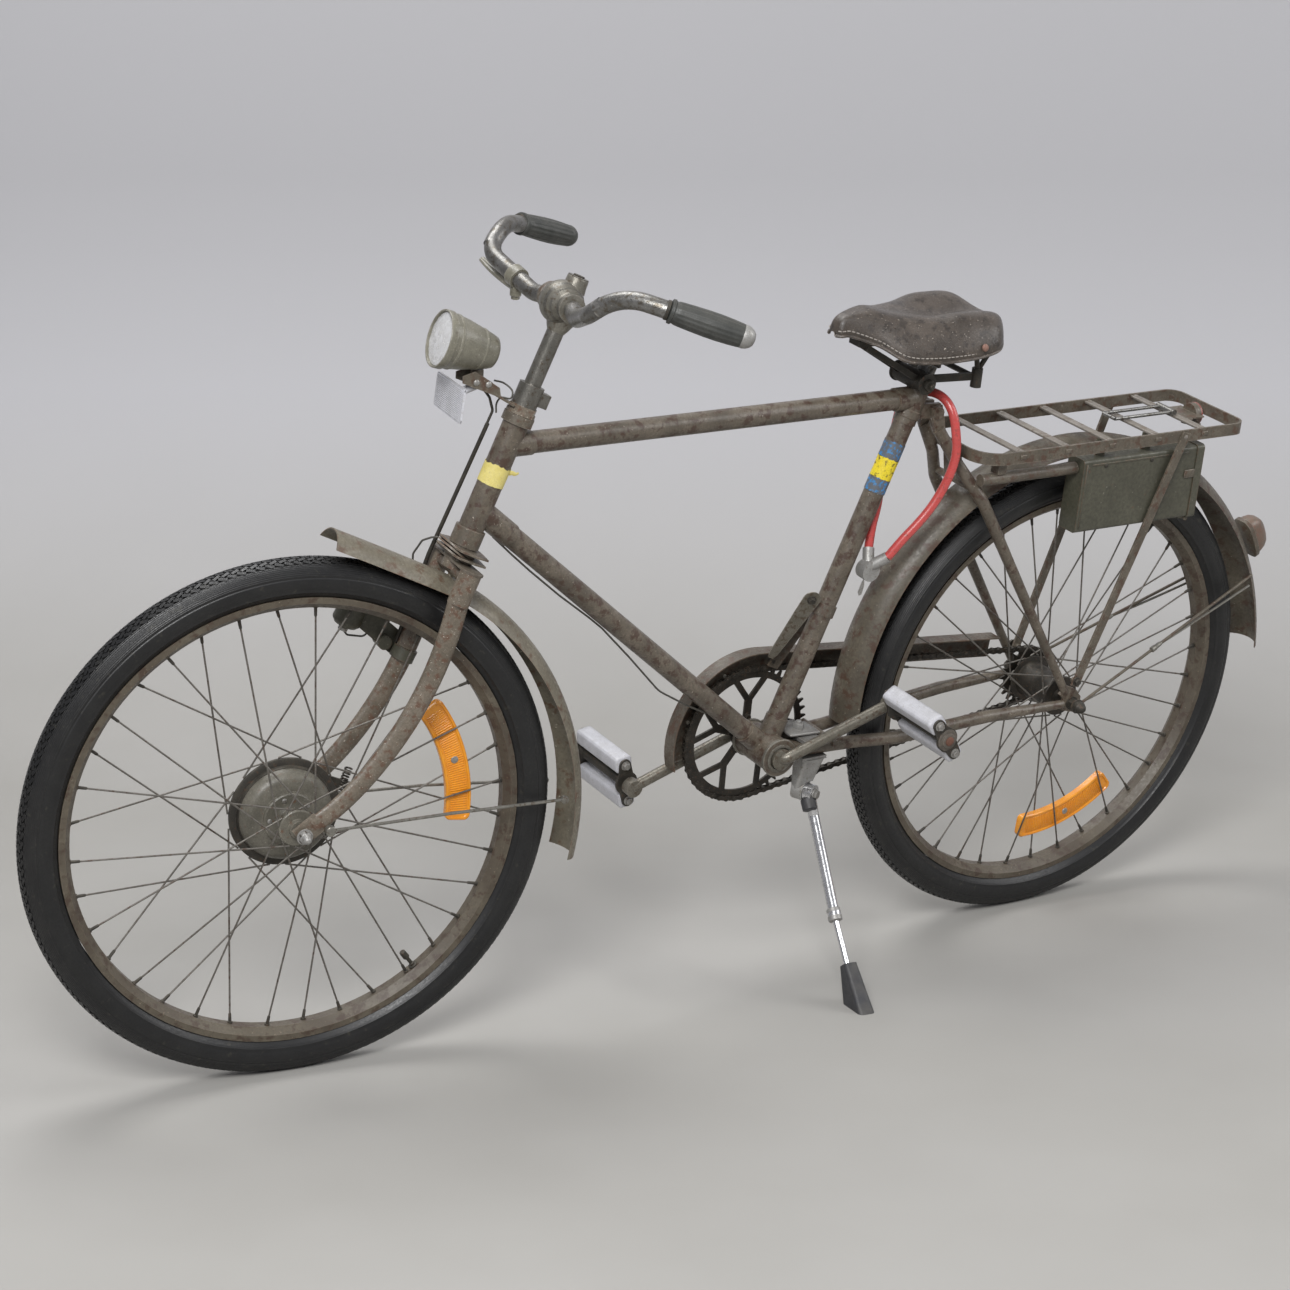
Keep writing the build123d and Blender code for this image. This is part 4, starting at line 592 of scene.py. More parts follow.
PAINT = Finish(
    "olive_paint", (0.088, 0.072, 0.053), (0.16, 0.132, 0.1), stain=(0.05, 0.024, 0.015), stain_share=0.52,
    spots=(0.34, 0.3, 0.25), spot_share=0.42, worn=(0.24, 0.18, 0.13), wear=0.9, dust=0.1, roughness=0.38, coat=0.15)
FORK_PAINT = Finish(
    "fork_paint", (0.12, 0.099, 0.073), (0.2, 0.166, 0.128), stain=(0.105, 0.053, 0.032), stain_share=0.5,
    spots=(0.42, 0.38, 0.32), spot_share=0.55, worn=(0.3, 0.25, 0.2), wear=0.9, dust=0.08, roughness=0.38, size=38,
    coat=0.12)
GUARD_PAINT = Finish(
    "guard_paint", (0.135, 0.118, 0.086), (0.2, 0.178, 0.134), stain=(0.09, 0.048, 0.028), stain_share=0.38,
    spots=(0.34, 0.31, 0.25), spot_share=0.4, worn=(0.16, 0.08, 0.045), wear=0.9, dust=0.1, roughness=0.4, size=60)
REAR_GUARD_PAINT = Finish(
    "rear_guard_paint", (0.078, 0.065, 0.047), (0.13, 0.112, 0.083), stain=(0.062, 0.032, 0.02), stain_share=0.5,
    spots=(0.28, 0.25, 0.2), spot_share=0.4, worn=(0.15, 0.08, 0.045), wear=0.9, dust=0.1, roughness=0.4, size=60)
BOX_PAINT = Finish(
    "box_paint", (0.06, 0.058, 0.041), (0.09, 0.087, 0.062), stain=(0.13, 0.06, 0.034), stain_share=0.12,
    spots=(0.22, 0.21, 0.17), spot_share=0.3, worn=(0.16, 0.08, 0.045), wear=1.1, dust=0.08, roughness=0.4, size=70)
CARRIER_PAINT = Finish(
    "carrier_paint", (0.09, 0.075, 0.056), (0.15, 0.127, 0.096), stain=(0.078, 0.041, 0.026), stain_share=0.5,
    spots=(0.36, 0.32, 0.27), spot_share=0.45, worn=(0.32, 0.27, 0.22), wear=0.9, dust=0.1, roughness=0.4, size=40)
RIM_PAINT = Finish(
    "rim_paint", (0.115, 0.097, 0.07), (0.066, 0.05, 0.035), stain=(0.05, 0.03, 0.02), stain_share=0.5,
    spots=(0.22, 0.18, 0.13), spot_share=0.4, worn=(0.2, 0.16, 0.12), wear=0.7, dust=0.06, roughness=0.42, size=50)
LAMP_PAINT = Finish(
    "lamp_paint", (0.15, 0.142, 0.108), (0.215, 0.202, 0.157), stain=(0.1, 0.085, 0.06), stain_share=0.3,
    spots=(0.46, 0.43, 0.38), spot_share=0.5, worn=(0.46, 0.43, 0.38), wear=0.8, dust=0.06, roughness=0.34, size=26,
    coat=0.2)
DRUM_PAINT = Finish(
    "drum_paint", (0.1, 0.093, 0.073), (0.17, 0.158, 0.128), stain=(0.13, 0.06, 0.03), stain_share=0.2,
    spots=(0.36, 0.33, 0.28), spot_share=0.45, worn=(0.4, 0.37, 0.31), wear=0.9, dust=0.06, roughness=0.36, size=30)
WORN_STEEL = Finish(
    "worn_steel", (0.27, 0.265, 0.255), (0.15, 0.145, 0.135), stain=(0.1, 0.085, 0.065), stain_share=0.5,
    spots=(0.42, 0.4, 0.37), spot_share=0.4, worn=(0.5, 0.48, 0.45), wear=0.5, dust=0.15, metal=0.75, roughness=0.32,
    size=30)
BALL_STEEL = Finish(
    "ball_steel", (0.16, 0.15, 0.125), (0.25, 0.235, 0.2), stain=(0.1, 0.075, 0.05), stain_share=0.4,
    spots=(0.4, 0.38, 0.34), spot_share=0.4, worn=(0.45, 0.42, 0.38), wear=0.6, dust=0.12, metal=0.5, roughness=0.36,
    size=24)
CRANK_STEEL = Finish(
    "crank_steel", (0.14, 0.128, 0.1), (0.21, 0.193, 0.16), stain=(0.085, 0.06, 0.04), stain_share=0.48,
    spots=(0.36, 0.34, 0.29), spot_share=0.45, worn=(0.4, 0.37, 0.31), wear=0.7, dust=0.06, metal=0.4, roughness=0.34,
    size=22)
DARK_STEEL = Finish(
    "dark_steel", (0.035, 0.032, 0.027), (0.062, 0.055, 0.043), stain=(0.09, 0.052, 0.032), stain_share=0.3,
    worn=(0.15, 0.13, 0.11), wear=0.6, dust=0.3, metal=0.35, roughness=0.55, size=22)
GREASY = Finish(
    "greasy_steel", (0.022, 0.02, 0.016), (0.045, 0.038, 0.03), stain=(0.075, 0.045, 0.028), stain_share=0.35,
    worn=(0.12, 0.1, 0.085), wear=0.5, dust=0.15, metal=0.4, roughness=0.45, size=14)
BRIGHT_STEEL = Finish(
    "bright_steel", (0.78, 0.78, 0.79), (0.66, 0.66, 0.67), stain=(0.45, 0.44, 0.42), stain_share=0.1,
    worn=(0.8, 0.8, 0.8), metal=0.9, roughness=0.2, size=40, pits=0.05)
CAST = Finish(
    "cast_aluminium", (0.42, 0.415, 0.4), (0.3, 0.29, 0.275), stain=(0.2, 0.18, 0.15), stain_share=0.3,
    spots=(0.55, 0.54, 0.52), spot_share=0.3, worn=(0.6, 0.59, 0.57), wear=0.6, dust=0.3, metal=0.5, roughness=0.45,
    size=18)
SPOKE_STEEL = Finish(
    "spoke_steel", (0.13, 0.12, 0.105), (0.2, 0.185, 0.165), stain=(0.08, 0.05, 0.035), stain_share=0.4, metal=0.5,
    roughness=0.45, size=26, pits=0.0)
STAY_STEEL = Finish(
    "stay_steel", (0.2, 0.19, 0.165), (0.28, 0.27, 0.24), stain=(0.11, 0.08, 0.055), stain_share=0.4, metal=0.6,
    roughness=0.4, size=20, pits=0.0)
SCREW_STEEL = Finish(
    "screw_steel", (0.4, 0.39, 0.37), (0.26, 0.25, 0.23), stain=(0.15, 0.1, 0.07), stain_share=0.4,
    worn=(0.5, 0.5, 0.48), wear=0.6, metal=0.6, roughness=0.4, size=8)
RUBBER = Finish(
    "tyre_rubber", (0.006, 0.006, 0.0065), (0.012, 0.012, 0.012), spots=(0.075, 0.07, 0.055), spot_share=0.1,
    stain=(0.03, 0.028, 0.022), stain_share=0.22, worn=(0.06, 0.058, 0.055), wear=0.5, dust=0.02,
    dust_colour=(0.11, 0.107, 0.1), roughness=0.4, size=38, pits=0.12, pit_size=0.9)
GRIP = Finish(
    "grip_rubber", (0.034, 0.036, 0.033), (0.066, 0.067, 0.061), spots=(0.14, 0.135, 0.12), spot_share=0.25,
    worn=(0.11, 0.11, 0.1), wear=0.7, dust=0.12, roughness=0.42, size=26)
FOOT_RUBBER = Finish(
    "foot_rubber", (0.03, 0.03, 0.034), (0.045, 0.045, 0.05), worn=(0.1, 0.1, 0.1), wear=0.5, dust=0.3, roughness=0.5,
    size=12)
AMBER = Finish(
    "amber_plastic", (0.85, 0.33, 0.012), (0.74, 0.25, 0.008), stain=(0.6, 0.16, 0.01), stain_share=0.25, dust=0.03,
    roughness=0.22, size=20, pits=0.05, coat=0.5)
WHITE = Finish(
    "white_plastic", (0.62, 0.62, 0.66), (0.52, 0.52, 0.55), stain=(0.4, 0.39, 0.38), stain_share=0.25,
    spots=(0.72, 0.72, 0.74), spot_share=0.3, worn=(0.45, 0.44, 0.43), wear=0.4, dust=0.2, roughness=0.4, size=16,
    coat=0.3)
HIDE = Finish(
    "saddle_hide", (0.046, 0.036, 0.028), (0.092, 0.074, 0.06), stain=(0.026, 0.02, 0.016), stain_share=0.5,
    spots=(0.42, 0.37, 0.31), spot_share=0.42, worn=(0.34, 0.28, 0.23), wear=0.9, dust=0.08,
    dust_colour=(0.17, 0.15, 0.125), roughness=0.33, size=46, pits=0.45, pit_size=1.1, coat=0.12)
PIPING = Finish(
    "piping", (0.42, 0.39, 0.35), (0.28, 0.25, 0.22), stain=(0.12, 0.1, 0.085), stain_share=0.5, roughness=0.6, size=7)
RIVET_COPPER = Finish(
    "rivet", (0.3, 0.16, 0.12), (0.2, 0.12, 0.09), stain=(0.3, 0.27, 0.24), stain_share=0.3, metal=0.3, roughness=0.5,
    size=4)
CABLE_RED = Finish(
    "cable_red", (0.6, 0.075, 0.07), (0.5, 0.06, 0.055), stain=(0.26, 0.05, 0.04), stain_share=0.35,
    spots=(0.45, 0.16, 0.14), spot_share=0.4, dust=0.1, dust_colour=(0.33, 0.16, 0.14), roughness=0.28, size=18,
    coat=0.5)
RED_PLASTIC = Finish(
    "red_plastic", (0.3, 0.05, 0.04), (0.22, 0.035, 0.03), stain=(0.2, 0.12, 0.09), stain_share=0.3, dust=0.5,
    dust_colour=(0.3, 0.2, 0.16), roughness=0.35, size=10, coat=0.4)
TAIL_DOME = Finish(
    "tail_dome", (0.16, 0.09, 0.06), (0.13, 0.11, 0.085), stain=(0.2, 0.07, 0.045), stain_share=0.4,
    spots=(0.25, 0.2, 0.16), spot_share=0.3, dust=0.4, roughness=0.4, size=12, coat=0.3)
TAPE_YELLOW = Finish(
    "tape_yellow", (0.74, 0.64, 0.23), (0.66, 0.55, 0.14), stain=(0.45, 0.37, 0.17), stain_share=0.3,
    spots=(0.75, 0.72, 0.5), spot_share=0.5, roughness=0.5, size=9, pits=0.2)
BAND_YELLOW = Finish(
    "band_yellow", (0.82, 0.66, 0.03), (0.78, 0.6, 0.03), stain=(0.045, 0.03, 0.02), stain_share=0.42, roughness=0.4,
    size=26, pits=0.2)
BAND_BLUE = Finish(
    "band_blue", (0.035, 0.2, 0.47), (0.06, 0.24, 0.5), stain=(0.11, 0.094, 0.07), stain_share=0.95,
    spots=(0.25, 0.4, 0.55), spot_share=0.3, roughness=0.45, size=22, pits=0.2)
STEM_STEEL = Finish(
    "stem_steel", (0.13, 0.125, 0.11), (0.2, 0.19, 0.17), stain=(0.08, 0.06, 0.042), stain_share=0.4,
    spots=(0.4, 0.38, 0.34), spot_share=0.4, worn=(0.4, 0.37, 0.33), wear=0.7, dust=0.06, metal=0.6, roughness=0.32,
    size=24)
CHAIN_GUARD_PAINT = Finish(
    "chain_guard_paint", (0.08, 0.066, 0.05), (0.13, 0.11, 0.085), stain=(0.07, 0.038, 0.024), stain_share=0.55,
    spots=(0.26, 0.22, 0.18), spot_share=0.4, worn=(0.17, 0.1, 0.06), wear=1.0, dust=0.1, roughness=0.42, size=50)
WORN_CAP = Finish(
    "worn_cap", (0.09, 0.078, 0.065), (0.14, 0.122, 0.1), stain=(0.11, 0.055, 0.035), stain_share=0.3,
    worn=(0.3, 0.26, 0.21), wear=0.6, roughness=0.7, size=9)
RUSTY_NUB = Finish(
    "rusty_nub", (0.17, 0.07, 0.045), (0.12, 0.055, 0.035), spots=(0.32, 0.2, 0.15), spot_share=0.4, roughness=0.6,
    size=8)
WORN_SLATS = Finish(
    "worn_slats", (0.24, 0.215, 0.19), (0.17, 0.15, 0.128), stain=(0.12, 0.09, 0.065), stain_share=0.45,
    spots=(0.4, 0.38, 0.37), spot_share=0.3, worn=(0.4, 0.38, 0.36), wear=0.5, dust=0.3, roughness=0.5, size=28)
LEAD = Finish("lead_sheath", (0.05, 0.047, 0.04), (0.085, 0.078, 0.065), roughness=0.6, size=14, pits=0.0)


# ---- repeated shapes


class Repeat:
    """Geometry Nodes trees that copy a small shape round a ring, to places, or along a path."""

    def __init__(self) -> None:
        """Builds the three trees."""
        self.ring = self._ring()
        self.spots = self._spots()
        self.path = self._path()

    def _new(self, name: str, inputs: dict[str, tuple[str, object]]) -> tuple:
        """An empty tree that takes the shape and some sizes."""
        tree = bpy.data.node_groups.new(name, "GeometryNodeTree")
        tree.interface.new_socket("Shape", in_out="INPUT", socket_type="NodeSocketGeometry")
        for key, (kind, value) in inputs.items():
            socket = tree.interface.new_socket(key, in_out="INPUT", socket_type=kind)
            if value is not None:
                socket.default_value = value
        tree.interface.new_socket("Finish", in_out="INPUT", socket_type="NodeSocketMaterial")
        tree.interface.new_socket("Copies", in_out="OUTPUT", socket_type="NodeSocketGeometry")
        web = Web(tree)
        return tree, web, web.add("NodeGroupInput"), web.add("NodeGroupOutput")

    def _close(self, web: Web, give: bpy.types.Node, out: bpy.types.Node, copies: bpy.types.NodeSocket) -> None:
        """Makes the copies real and gives them their finish."""
        real = web.add("GeometryNodeRealizeInstances", {0: copies})
        dressed = web.add("GeometryNodeSetMaterial", {"Geometry": real.outputs[0], "Material": give.outputs["Finish"]})
        web.feed(out.inputs["Copies"], dressed.outputs[0])

    def _ring(self) -> bpy.types.NodeTree:
        """Copies turned about z, from a first angle by equal steps."""
        tree, web, give, out = self._new(
            "ring_of_copies", {"Count": ("NodeSocketInt", 12), "First": ("NodeSocketFloat", 0.0),
            "Step": ("NodeSocketFloat", 0.5)})
        points = web.add("GeometryNodePoints", {"Count": give.outputs["Count"]})
        index = web.add("GeometryNodeInputIndex").outputs[0]
        angle = web.math("ADD", give.outputs["First"], web.math("MULTIPLY", index, give.outputs["Step"]))
        turn = web.add("ShaderNodeCombineXYZ", {"Z": angle}).outputs[0]
        copies = web.add(
            "GeometryNodeInstanceOnPoints", {"Points": points.outputs[0], "Instance": give.outputs["Shape"],
            "Rotation": turn})
        self._close(web, give, out, copies.outputs[0])
        return tree

    def _spots(self) -> bpy.types.NodeTree:
        """Copies at an object's vertices, each turned by the vertex's own angles."""
        tree, web, give, out = self._new("copies_at_places", {"Places": ("NodeSocketObject", None)})
        info = web.add("GeometryNodeObjectInfo", {"Object": give.outputs["Places"]})
        turn = web.add("GeometryNodeInputNamedAttribute", {"Name": "turn"}, data_type="FLOAT_VECTOR")
        copies = web.add(
            "GeometryNodeInstanceOnPoints", {"Points": info.outputs["Geometry"], "Instance": give.outputs["Shape"],
            "Rotation": turn.outputs[0]})
        self._close(web, give, out, copies.outputs[0])
        return tree

    def _path(self) -> bpy.types.NodeTree:
        """Copies along a curve, every one or every other one."""
        tree, web, give, out = self._new(
            "copies_along_path", {"Path": ("NodeSocketObject", None), "Count": ("NodeSocketInt", 40),
            "Every": ("NodeSocketInt", 1), "Offset": ("NodeSocketInt", 0)})
        info = web.add("GeometryNodeObjectInfo", {"Object": give.outputs["Path"]})
        points = web.add(
            "GeometryNodeCurveToPoints", {"Curve": info.outputs["Geometry"], "Count": give.outputs["Count"]},
            mode="COUNT")
        index = web.add("GeometryNodeInputIndex").outputs[0]
        turn = web.math("MODULO", web.math("ADD", index, give.outputs["Offset"]), give.outputs["Every"])
        chosen = web.add("ShaderNodeMath", {0: turn, 1: 0.5}, operation="LESS_THAN").outputs[0]
        copies = web.add(
            "GeometryNodeInstanceOnPoints", {"Points": points.outputs["Points"], "Instance": give.outputs["Shape"],
            "Selection": chosen, "Rotation": points.outputs["Rotation"]})
        self._close(web, give, out, copies.outputs[0])
        return tree

    def make(self, tree: bpy.types.NodeTree, shape: Draft, name: str, matrix: Matrix, finish: bpy.types.Material,
             **inputs: object) -> bpy.types.Object:
        """Copies a shape and turns the result into one plain mesh.

        Args:
            tree: which way of copying.
            shape: the small shape, in millimetres.
            name: the piece's name.
            matrix: from the drawing to the shared frame.
            finish: its material.
            inputs: the tree's own inputs by name.

        Returns:
            The finished piece.
        """
        seed = shape.finish(name + "_shape", Matrix.Identity(4))
        modifier = seed.modifiers.new("copies", "NODES")
        modifier.node_group = tree
        for item in tree.interface.items_tree:
            if item.in_out == "INPUT" and item.name in inputs:
                modifier[item.identifier] = inputs[item.name]
            if item.in_out == "INPUT" and item.name == "Finish":
                modifier[item.identifier] = finish
        bpy.context.view_layer.update()
        ready = seed.evaluated_get(bpy.context.evaluated_depsgraph_get())
        data = bpy.data.meshes.new_from_object(ready)
        data.name = name
        data.transform(matrix)
        made = bpy.data.objects.new(name, data)
        bpy.context.scene.collection.objects.link(made)
        for spare in (seed, inputs.get("Path"), inputs.get("Places")):
            if isinstance(spare, bpy.types.Object):
                bpy.data.objects.remove(spare)
        return made


def places(spots: Sequence[tuple[Vector, Vector]]) -> bpy.types.Object:
    """A cloud of places for copies.

    Args:
        spots: each place and the way that its copy's z axis points.

    Returns:
        The object whose vertices they are.
    """
    data = bpy.data.meshes.new("places")
    data.from_pydata([tuple(spot) for spot, _ in spots], [], [])
    turns = data.attributes.new("turn", "FLOAT_VECTOR", "POINT")
    for index, (_, way) in enumerate(spots):
        turns.data[index].vector = way.to_track_quat("Z", "Y").to_euler()
    made = bpy.data.objects.new("places", data)
    bpy.context.scene.collection.objects.link(made)
    return made


def path_curve(points: Sequence[Vector], closed: bool) -> bpy.types.Object:
    """A poly curve in millimetres for copies to follow."""
    data = bpy.data.curves.new("path", "CURVE")
    data.dimensions = "3D"
    data.twist_mode = "Z_UP"
    spline = data.splines.new("POLY")
    spline.points.add(len(points) - 1)
    for point, place in zip(spline.points, points):
        point.co = (*place, 1)
    spline.use_cyclic_u = closed
    made = bpy.data.objects.new("path", data)
    bpy.context.scene.collection.objects.link(made)
    return made


def dome(radius: float, height: float, steps: int = 12) -> Draft:
    """A rivet's round head on the z axis, sunk a little below its foot."""
    return Draft().lathe(
        [(-0.6, radius), (0, radius), (height * 0.45, radius * 0.92), (height * 0.8, radius * 0.62),
        (height, radius * 0.15)], ORIGIN, UPWARD, steps)


def bolt_head(radius: float, height: float) -> Draft:
    """A hexagon bolt head on a washer."""
    draft = Draft().lathe([(-0.5, radius * 1.3), (0.9, radius * 1.3), (1.1, radius * 1.2)], ORIGIN, UPWARD, 16)
    return draft.nut(vec(0, 0, 0.8), vec(0, 0, height), radius)


class Shop:
    """What every sub-assembly needs: the node groups and the copying trees."""

    def __init__(self) -> None:
        """Builds both."""
        self.groups = Groups()
        self.repeat = Repeat()

    def look(self, finish: Finish, body: str = "frame") -> bpy.types.Material:
        """A finish's material for a piece on a body."""
        side = Side.FORK if body in ("fork", "front_wheel") else Side.FRAME
        return finish.make(self.groups, side)

    def fit(self, draft: Draft, name: str, body: str, slot: str, finish: Finish, replaces: Sequence[str] = (),
            matrix: Matrix | None = None, sharp: float = 38) -> bpy.types.Object:
        """Finishes a drawing as a piece of the bicycle.

        Args:
            draft: the drawing.
            name: the piece's name.
            body: the body that it moves with.
            slot: the record's slot; not used.
            finish: its finish.
            replaces: nodes that it stands for.
            matrix: its place, where it isn't the upright drawing's.
            sharp: edges sharper than this many degrees stay crisp.

        Returns:
            The piece.
        """
        made = draft.finish(name, matrix or PLACE.on(body), sharp)
        return fit(made, body, slot, self.look(finish, body), replaces)

    def studs(self, head: Draft, spots: Sequence[tuple[Vector, Vector]], name: str, body: str, slot: str,
              finish: Finish) -> bpy.types.Object:
        """Rivets, screws or bolts at places, as one piece."""
        look = self.look(finish, body)
        made = self.repeat.make(self.repeat.spots, head, name, PLACE.on(body), look, Places=places(spots))
        return fit(made, body, slot, look)

    def ring(self, shape: Draft, name: str, wheel: "Wheel", slot: str, finish: Finish, count: int, step: float,
             first: float = 0.0) -> bpy.types.Object:
        """Copies a shape round a wheel's axle, as one piece.

        Args:
            shape: the shape, in the wheel's flat drawing.
            name: the piece's name.
            wheel: the wheel.
            slot: the record's slot; not used.
            finish: its finish.
            count: how many copies.
            step: angle from one to the next, in radians.
            first: the first one's angle.

        Returns:
            The piece.
        """
        look = self.look(finish, wheel.body)
        made = self.repeat.make(self.repeat.ring, shape, name, wheel.matrix, look, Count=count, First=first, Step=step)
        return fit(made, wheel.body, slot, look)

    def dress(self, body: str, finish: Finish, *nodes: str) -> None:
        """Gives CAD nodes their finish."""
        for node in nodes:
            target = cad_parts[node]
            if not target.material_slots:
                target.data.materials.append(self.look(finish, body))
            for entry in target.material_slots:
                entry.material = self.look(finish, body)


# ---- the red cable


@dataclass
class CableLock:
    """The red covered steel cable looped through the frame, and its lock body."""

    diameter: float = 0.0126
    length: float = 0.52
    route: tuple[tuple[float, float, float], ...] = (
        (357, 4, 262), (354, 0, 289), (345, -4, 316), (337, -13, 343), (325, -23, 371), (313, -30, 400),
        (305, -35, 428), (302, -35, 451), (292, -23, 470), (280, 0, 477), (274, 23, 474), (270, 40, 457),
        (267, 47, 431), (263, 49, 404), (267, 48, 378), (277, 46, 351), (291, 44, 326), (309, 41, 303), (328, 36, 281),
        (344, 31, 257))

    def build(self, shop: Shop) -> None:
        """Lays the cable and dresses the lock."""
        data = bpy.data.curves.new("lock_cable_red", "CURVE")
        data.dimensions = "3D"
        data.bevel_depth = self.diameter / 2
        data.bevel_resolution = 5
        data.resolution_u = 10
        data.use_fill_caps = True
        spline = data.splines.new("NURBS")
        spline.points.add(len(self.route) - 1)
        line = [PLACE.frame @ Vector(point) for point in self.route]
        for point, place in zip(spline.points, line):
            point.co = (*place, 1)
        spline.order_u = 3
        spline.use_endpoint_u = True
        cable = bpy.data.objects.new("lock_cable_red", data)
        bpy.context.scene.collection.objects.link(cable)
        fit(cable, "frame", "red_cable", shop.look(CABLE_RED), ["lock_cable"])
        shop.dress("frame", CAST, "cable_lock")
        key = Draft().slab([vec(372, 21, 226), vec(377, 23, 221), vec(383, 25, 209), vec(381, 26, 204),
                            vec(376, 25, 205), vec(371, 22, 217)], vec(0.8, 1.6, 0.4))
        shop.fit(key, "lock_key", "frame", "cast_aluminium", SCREW_STEEL)
        tuple(line[0])


# ---- wheels


@dataclass
class Wheel:
    """A wheel: tyre, rim, spokes, hub, nipples, valve and spoke reflector."""

    prefix: str
    reflector_at: float
    hub_half: float
    drum: bool = False
    radius: float = 345.0
    tyre_radius: float = 26.0
    rim_inner: float = 281.0
    reflector_radii: tuple[float, float] = (206.0, 240.0)
    reflector_arc: float = 43.5
    reflector_ridges: int = 46
    tread_pitches: int = 180
    spokes: int = 36
    steps: int = 192

    @property
    def body(self) -> str:
        """The wheel's body."""
        return self.prefix + "_wheel"

    @property
    def matrix(self) -> Matrix:
        """The place of its flat drawing."""
        return PLACE.wheel(self.body)

    def section(self, degrees: float, depth: float = 0.0) -> tuple[float, float]:
        """A point of the tyre's section: across and radius, at an angle from the crown.

        Args:
            degrees: angle from the crown.
            depth: how far under the skin.

        Returns:
            (distance across, radius from the axle).
        """
        turn, size = radians(degrees), self.tyre_radius - depth
        return size * sin(turn), self.radius - self.tyre_radius + size * cos(turn)

    def tyre(self, shop: Shop) -> None:
        """The tyre with shoulder ribs and a ring of tread blocks."""
        def sunk(angle: float) -> float:
            """How far the casing lies under the largest section at an angle."""
            side = abs(angle)
            if side < 33:
                return 1.9
            if side < 70:
                return 0.25 + 0.55 * (0.5 - 0.5 * cos(radians((side - 33) * 360 / 5.2)))
            if 73 < side < 77:
                return 1.1
            if 118 < side < 122:
                return 0.0
            return 0.5
        ends = 142.5
        angles = [-ends, -130, -122.5, -121, -119, -117.5, -108, -98, -88, -80, -77.5, -76, -74, -72.5]
        angles += [-70 + 1.3 * step for step in range(29)] + [-32.5, -20, -8]
        outer = [*angles, *(-angle for angle in reversed(angles))]
        profile = [self.section(angle, sunk(angle)) for angle in outer]
        profile += [self.section(angle, 4) for angle in (138, 100, 60, 20, -20, -60, -100, -138)]
        draft = Draft().lathe(profile, ORIGIN, UPWARD, self.steps, closed=True)
        shop.fit(draft, self.prefix + "_tyre_casing", self.body, "tyre_rubber", RUBBER, [self.prefix + "_tyre"],
                 self.matrix, 50)
        block = Draft()
        pitch = 2 * pi * self.radius / self.tread_pitches
        for row, angle in enumerate((-27, -14, 0, 14, 27)):
            turn = radians(angle)
            out = vec(cos(turn), 0, sin(turn))
            across = vec(-sin(turn), 0, cos(turn))
            way = (LEFTWARD + across * (0.45 if row % 2 else -0.45)).normalized()
            centre = vec(self.radius - self.tyre_radius, 0, 0) + out * (self.tyre_radius - 1.2)
            shift = vec(0, pitch * 0.25 * (1 if row % 2 else -1), 0)
            block.block(centre + shift, way * pitch * 0.43, way.cross(out) * 2.1, out * 1.1)
        shop.ring(block, self.prefix + "_tread", self, "tyre_rubber", RUBBER, self.tread_pitches,
                  2 * pi / self.tread_pitches)

    def hub(self, shop: Shop) -> None:
        """The hub, with the brake drum on the front one's right side."""
        half = self.hub_half
        if self.drum:
            profile = [(-half - 6, 11.5), (-half, 12.5), (-half, 22.5), (1 - half, 24), (2.4 - half, 24),
                       (3 - half, 22.6), (3.4 - half, 19), (5 - half, 16.2), (9 - half, 14.6), (-8, 14.2), (-3, 15.4),
                       (-1, 18.6), (0, 22), (0.4, 30), (0.2, 33), (1.4, 34.4), (4.2, 35.2), (4.6, 37), (4.8, 48),
                       (5.6, 51.6), (8, 55), (12.5, 58.6), (18, 60.6), (25, 61.4), (26, 30), (30, 26), (30, 14),
                       (half + 6, 13)]
        else:
            profile = [(-half - 6, 12), (-half, 13), (-half, 29), (1 - half, 30), (2.4 - half, 30), (3 - half, 28.6),
                       (4 - half, 26.4), (7 - half, 26), (-6, 26), (-4, 24.8), (4, 24.8), (6, 26), (half - 7, 26),
                       (half - 4, 27), (half - 3, 32.6), (half - 2.4, 34), (half - 1, 34), (half, 33), (half, 14),
                       (half + 6, 12.4)]
        draft = Draft().lathe(profile, ORIGIN, UPWARD, 72)
        finish = DRUM_PAINT if self.drum else GREASY
        shop.fit(draft, self.prefix + "_hub_shell", self.body, "dark_steel", finish, [self.prefix + "_hub"],
                 self.matrix, 32)
        if self.drum:
            ring = Draft().lathe([(20, 61.6), (22, 62.4), (24.6, 63.2), (25.2, 70.4), (26, 72), (29.4, 72), (30, 71.2),
                                  (30, 62)], ORIGIN, UPWARD, 96)
            shop.fit(ring, "front_drum_flange", self.body, "dark_steel", DARK_STEEL, (), self.matrix, 32)
            head = Draft().lathe([(-0.6, 3.2), (1.0, 3.2), (1.6, 2.4), (1.9, 0.6)], vec(27, 0, 0.3), vec(0, 0, -1), 10)
            shop.ring(head, "front_drum_screws", self, "dark_steel", SCREW_STEEL, 5, tau / 5)

